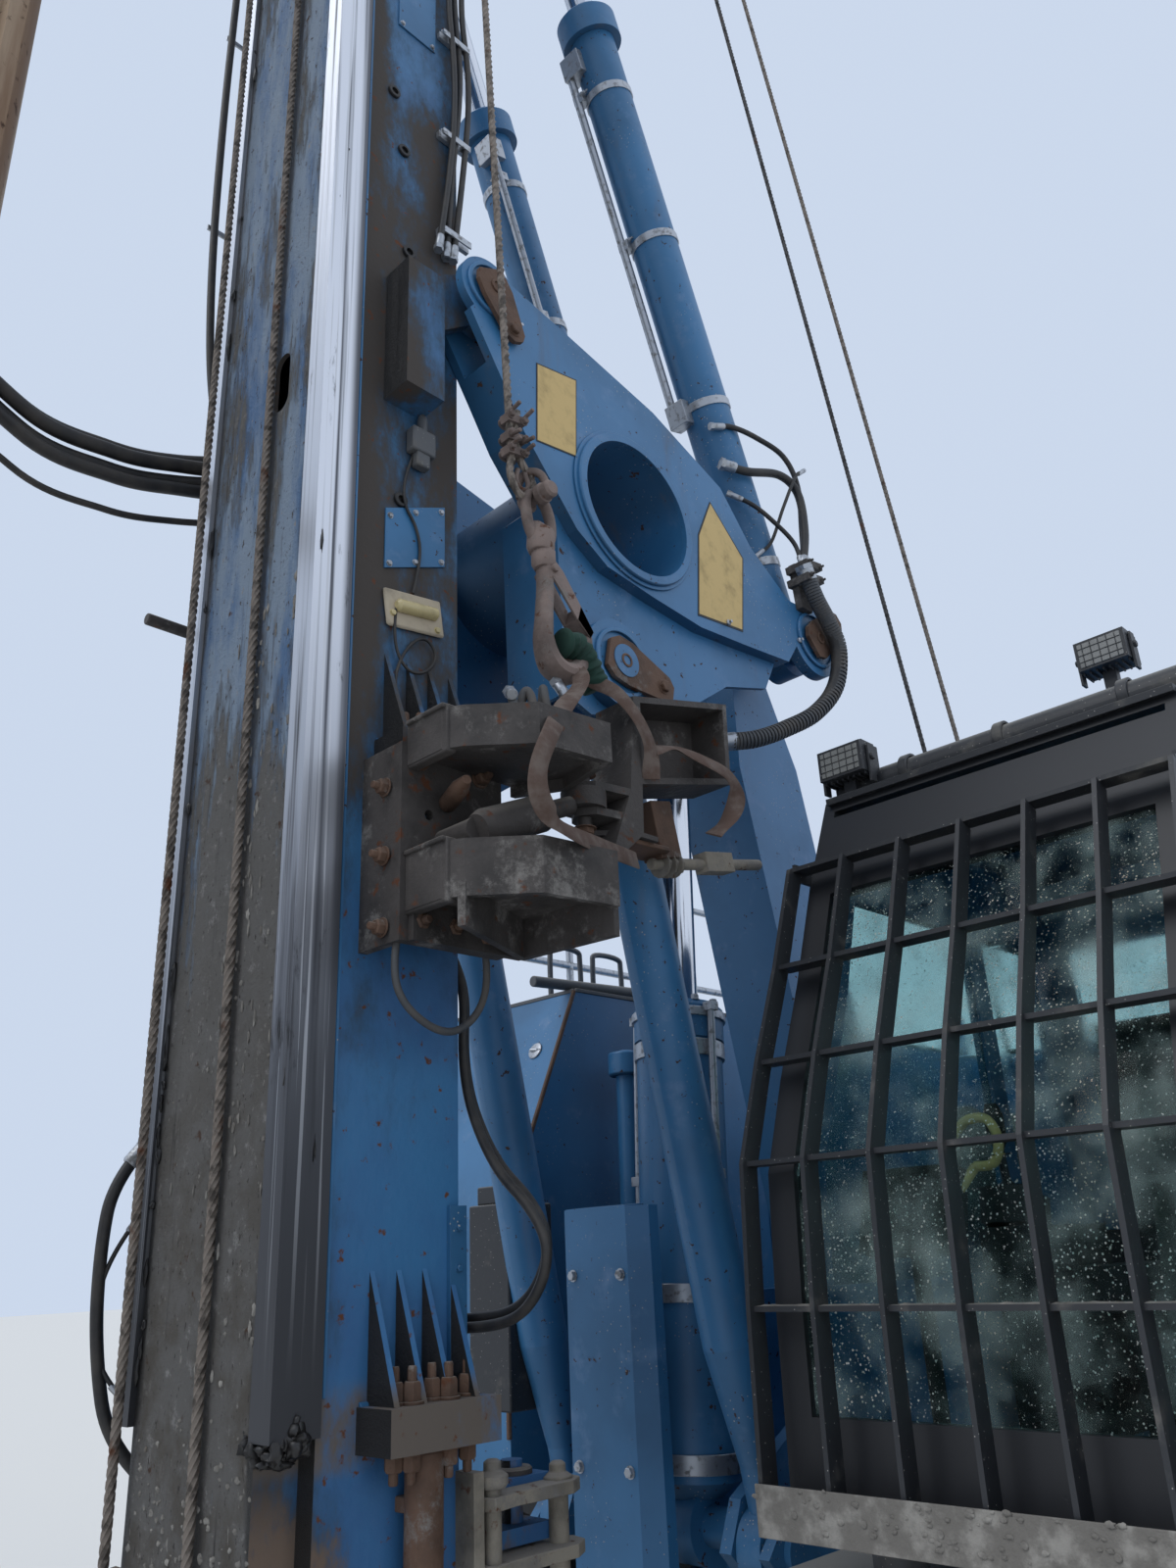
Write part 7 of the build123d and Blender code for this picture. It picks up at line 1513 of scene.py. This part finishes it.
def house_trim():
    """Latches, panel rims, roof rails and pipes of the houses."""
    x0 = SLEW_X - 2.41
    metal = Form()
    for k in range(3):
        x = x0 + 0.04 + (k + 1) * HOUSE_PANEL
        for z in (1.5, 1.95):
            latch(metal, Vector((x, -1.951, z)), (0, -1, 0))
    for y, z in ((-0.78, 2.62), (-0.85, 2.3), (-1.8, 2.62), (-1.8, 2.3)):
        x = SLEW_X + 1.38 - 0.385 * (z - 2.0) / 0.85
        latch(metal, Vector((x + 0.003, y, z)), (0.91, 0, 0.41))
    for x in (x0 + 0.5, x0 + 1.6):
        latch(metal, Vector((x, 1.951, 2.2)), (0, 1, 0))
    for y in (-1.2, 0.0, 1.2):
        latch(metal, Vector((SLEW_X - 3.301, y, 2.35)), (-1, 0, 0))
    metal.piece("house_latches", "turret", ZINC, 0.001)
    rims = Form()
    for x_a, x_b, y, z in ((x0, SLEW_X + 0.99, -0.66, 2.853), (x0, SLEW_X + 0.99, -1.94, 2.853),
                           (x0, SLEW_X, 0.66, 2.503), (x0, SLEW_X, 1.94, 2.503)):
        rims.block(Vector(((x_a + x_b) / 2, y, z)), (x_b - x_a, 0.03, 0.016))
    for x, y_a, y_b, z in ((x0 + 0.01, -1.94, -0.66, 2.853), (SLEW_X + 0.985, -1.94, -0.66, 2.853)):
        rims.block(Vector((x, (y_a + y_b) / 2, z)), (0.03, y_b - y_a, 0.016))
    for x in (SLEW_X + 0.6, SLEW_X - 0.2, SLEW_X - 1.0):
        rims.block(Vector((x, -0.646, 2.0)), (0.012, 0.008, 1.6))
    rims.piece("roof_rims", "turret", GREY_PAINT, 0.003)
    edge = Form()
    front = SLEW_X + 1.38
    edge.rod(Vector((front + 0.002, -0.655, 1.3)), Vector((front + 0.002, -0.655, 2.0)), 0.009, 8)
    edge.rod(Vector((front + 0.002, -0.655, 2.0)), Vector((front - 0.383, -0.655, 2.85)), 0.009, 8)
    edge.piece("house_rusty_edge", "turret", RUSTY)
    bars = Form()
    for dx in (-2.01, -2.27):
        bent_bar(bars, [at(dx, -0.9, 2.86), at(dx, -0.9, 3.05), at(dx - 0.02, -0.9, 3.1),
                        at(dx - 0.16, -0.9, 3.1), at(dx - 0.18, -0.9, 3.05),
                        at(dx - 0.18, -0.9, 2.86)], 0.012)
    bars.rod(at(-1.72, -0.7, 2.875), at(-2.4, -0.7, 2.9), 0.022)
    bars.piece("roof_rails", "turret", GREY_PAINT)
    box = Form()
    box.block(at(-1.42, -0.52, 1.72), (0.2, 0.2, 0.62))
    box.block(at(-1.42, -0.52, 2.06), (0.16, 0.16, 0.06))
    box.piece("dark_box", "turret", DARK, 0.006)
    tail = Form()
    for side in (-1, 1):
        tail.block(Vector((SLEW_X - 3.804, side * 1.55, 1.8)), (0.02, 0.24, 0.09))
    tail.piece("tail_lamps", "turret", AMBER, 0.006)
    eyes = Form()
    for side in (-1, 1):
        eye = [Vector((SLEW_X - 3.55 + 0.09 * cos(pi * k / 6), side * 1.3,
                       1.945 + 0.11 * sin(pi * k / 6))) for k in range(7)]
        bent_bar(eyes, eye, 0.022)
    eyes.piece("counterweight_eyes", "turret", BLUE_PAINT)
    stack = Form()
    stack.ring(Vector((SLEW_X - 3.0, -1.1, 3.185)), (0, 0, 1), 0.045, 0.06, 0.03)
    stack.turned(Vector((SLEW_X - 3.0, -1.1, 3.19)), (0, 0, 1), ((0.046, 0), (0.046, 0.002)), 20)
    stack.piece("exhaust_rim", "turret", RUSTY)


def drum_windings():
    """Rope wound on both winch drums."""
    for node, body in (("main_winch_drum", "main_drum"), ("aux_winch_drum", "aux_drum")):
        low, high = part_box(node)
        middle = (low + high) / 2
        form = Form()
        pitch = 2 * ROPE_R + 0.001
        half = (high.y - low.y) / 2 - 0.045
        for k in range(int(2 * half / pitch)):
            y = -half + pitch * (k + 0.5)
            profile = [(0.24 + ROPE_R + ROPE_R * cos(tau * j / 6), ROPE_R * sin(tau * j / 6))
                       for j in range(6)]
            form.turned(Vector((middle.x, middle.y + y, middle.z)), (0, 1, 0), profile, 48, True)
        form.piece(body + "_rope", body, WIRE_ROPE, sharp=80)


def drive_trim():
    """Bolt circles under the rotary drive's flange and on its gearbox, clear of the motors."""
    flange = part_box("rotary_drive")[0].z
    form = Form()
    for k in range(12):
        turn = tau * k / 12
        form.nut(at(1.0 + 0.365 * cos(turn), 0.365 * sin(turn), flange), (0, 0, -1), 0.018, 0.018)
    for k in range(24):
        turn = tau * (k + 0.5) / 24
        if abs((k + 0.5) * 15 % 120 - 60) > 24:
            form.nut(at(1.0 + 0.445 * cos(turn), 0.445 * sin(turn), flange + 1.08), (0, 0, 1),
                     0.018, 0.018)
    form.piece("drive_bolts", "carriage", ZINC)


def track_bolts():
    """Four bolts on each track shoe's flat stretch on top."""
    for name in ("track_left", "track_right"):
        low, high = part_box(name)
        form = Form()
        mid = (low.y + high.y) / 2
        count = 22
        for k in range(count):
            x = low.x + 0.55 + (high.x - low.x - 1.1) * k / (count - 1)
            for dy in (-0.21, -0.11, 0.11, 0.21):
                form.turned(Vector((x, mid + dy, high.z - 0.034)), (0, 0, 1), ((0.016, 0),
                                                                             (0.014, 0.014)), 6)
        form.piece(name + "_bolts", "undercarriage", CAST)


place_camera()
wear_looks()
stage_and_light()
mast_ropes()
hoist_ropes()
hook_gear()
slings()
mast_hoses()
tilt_cylinder_pipes()
triangle_hoses()
triangle_trim()
arm_trim()
luffing_trim()
cover_trim()
mast_trim()
guide_trim()
blue_pipes()
drive_hoses()
grease_lumps()
foot_hinge()
guard_mud()
lamp_trim()
cab_trim()
house_trim()
drum_windings()
drive_trim()
track_bolts()
hose_fittings()
bpy.context.scene.view_settings.view_transform = "Standard"
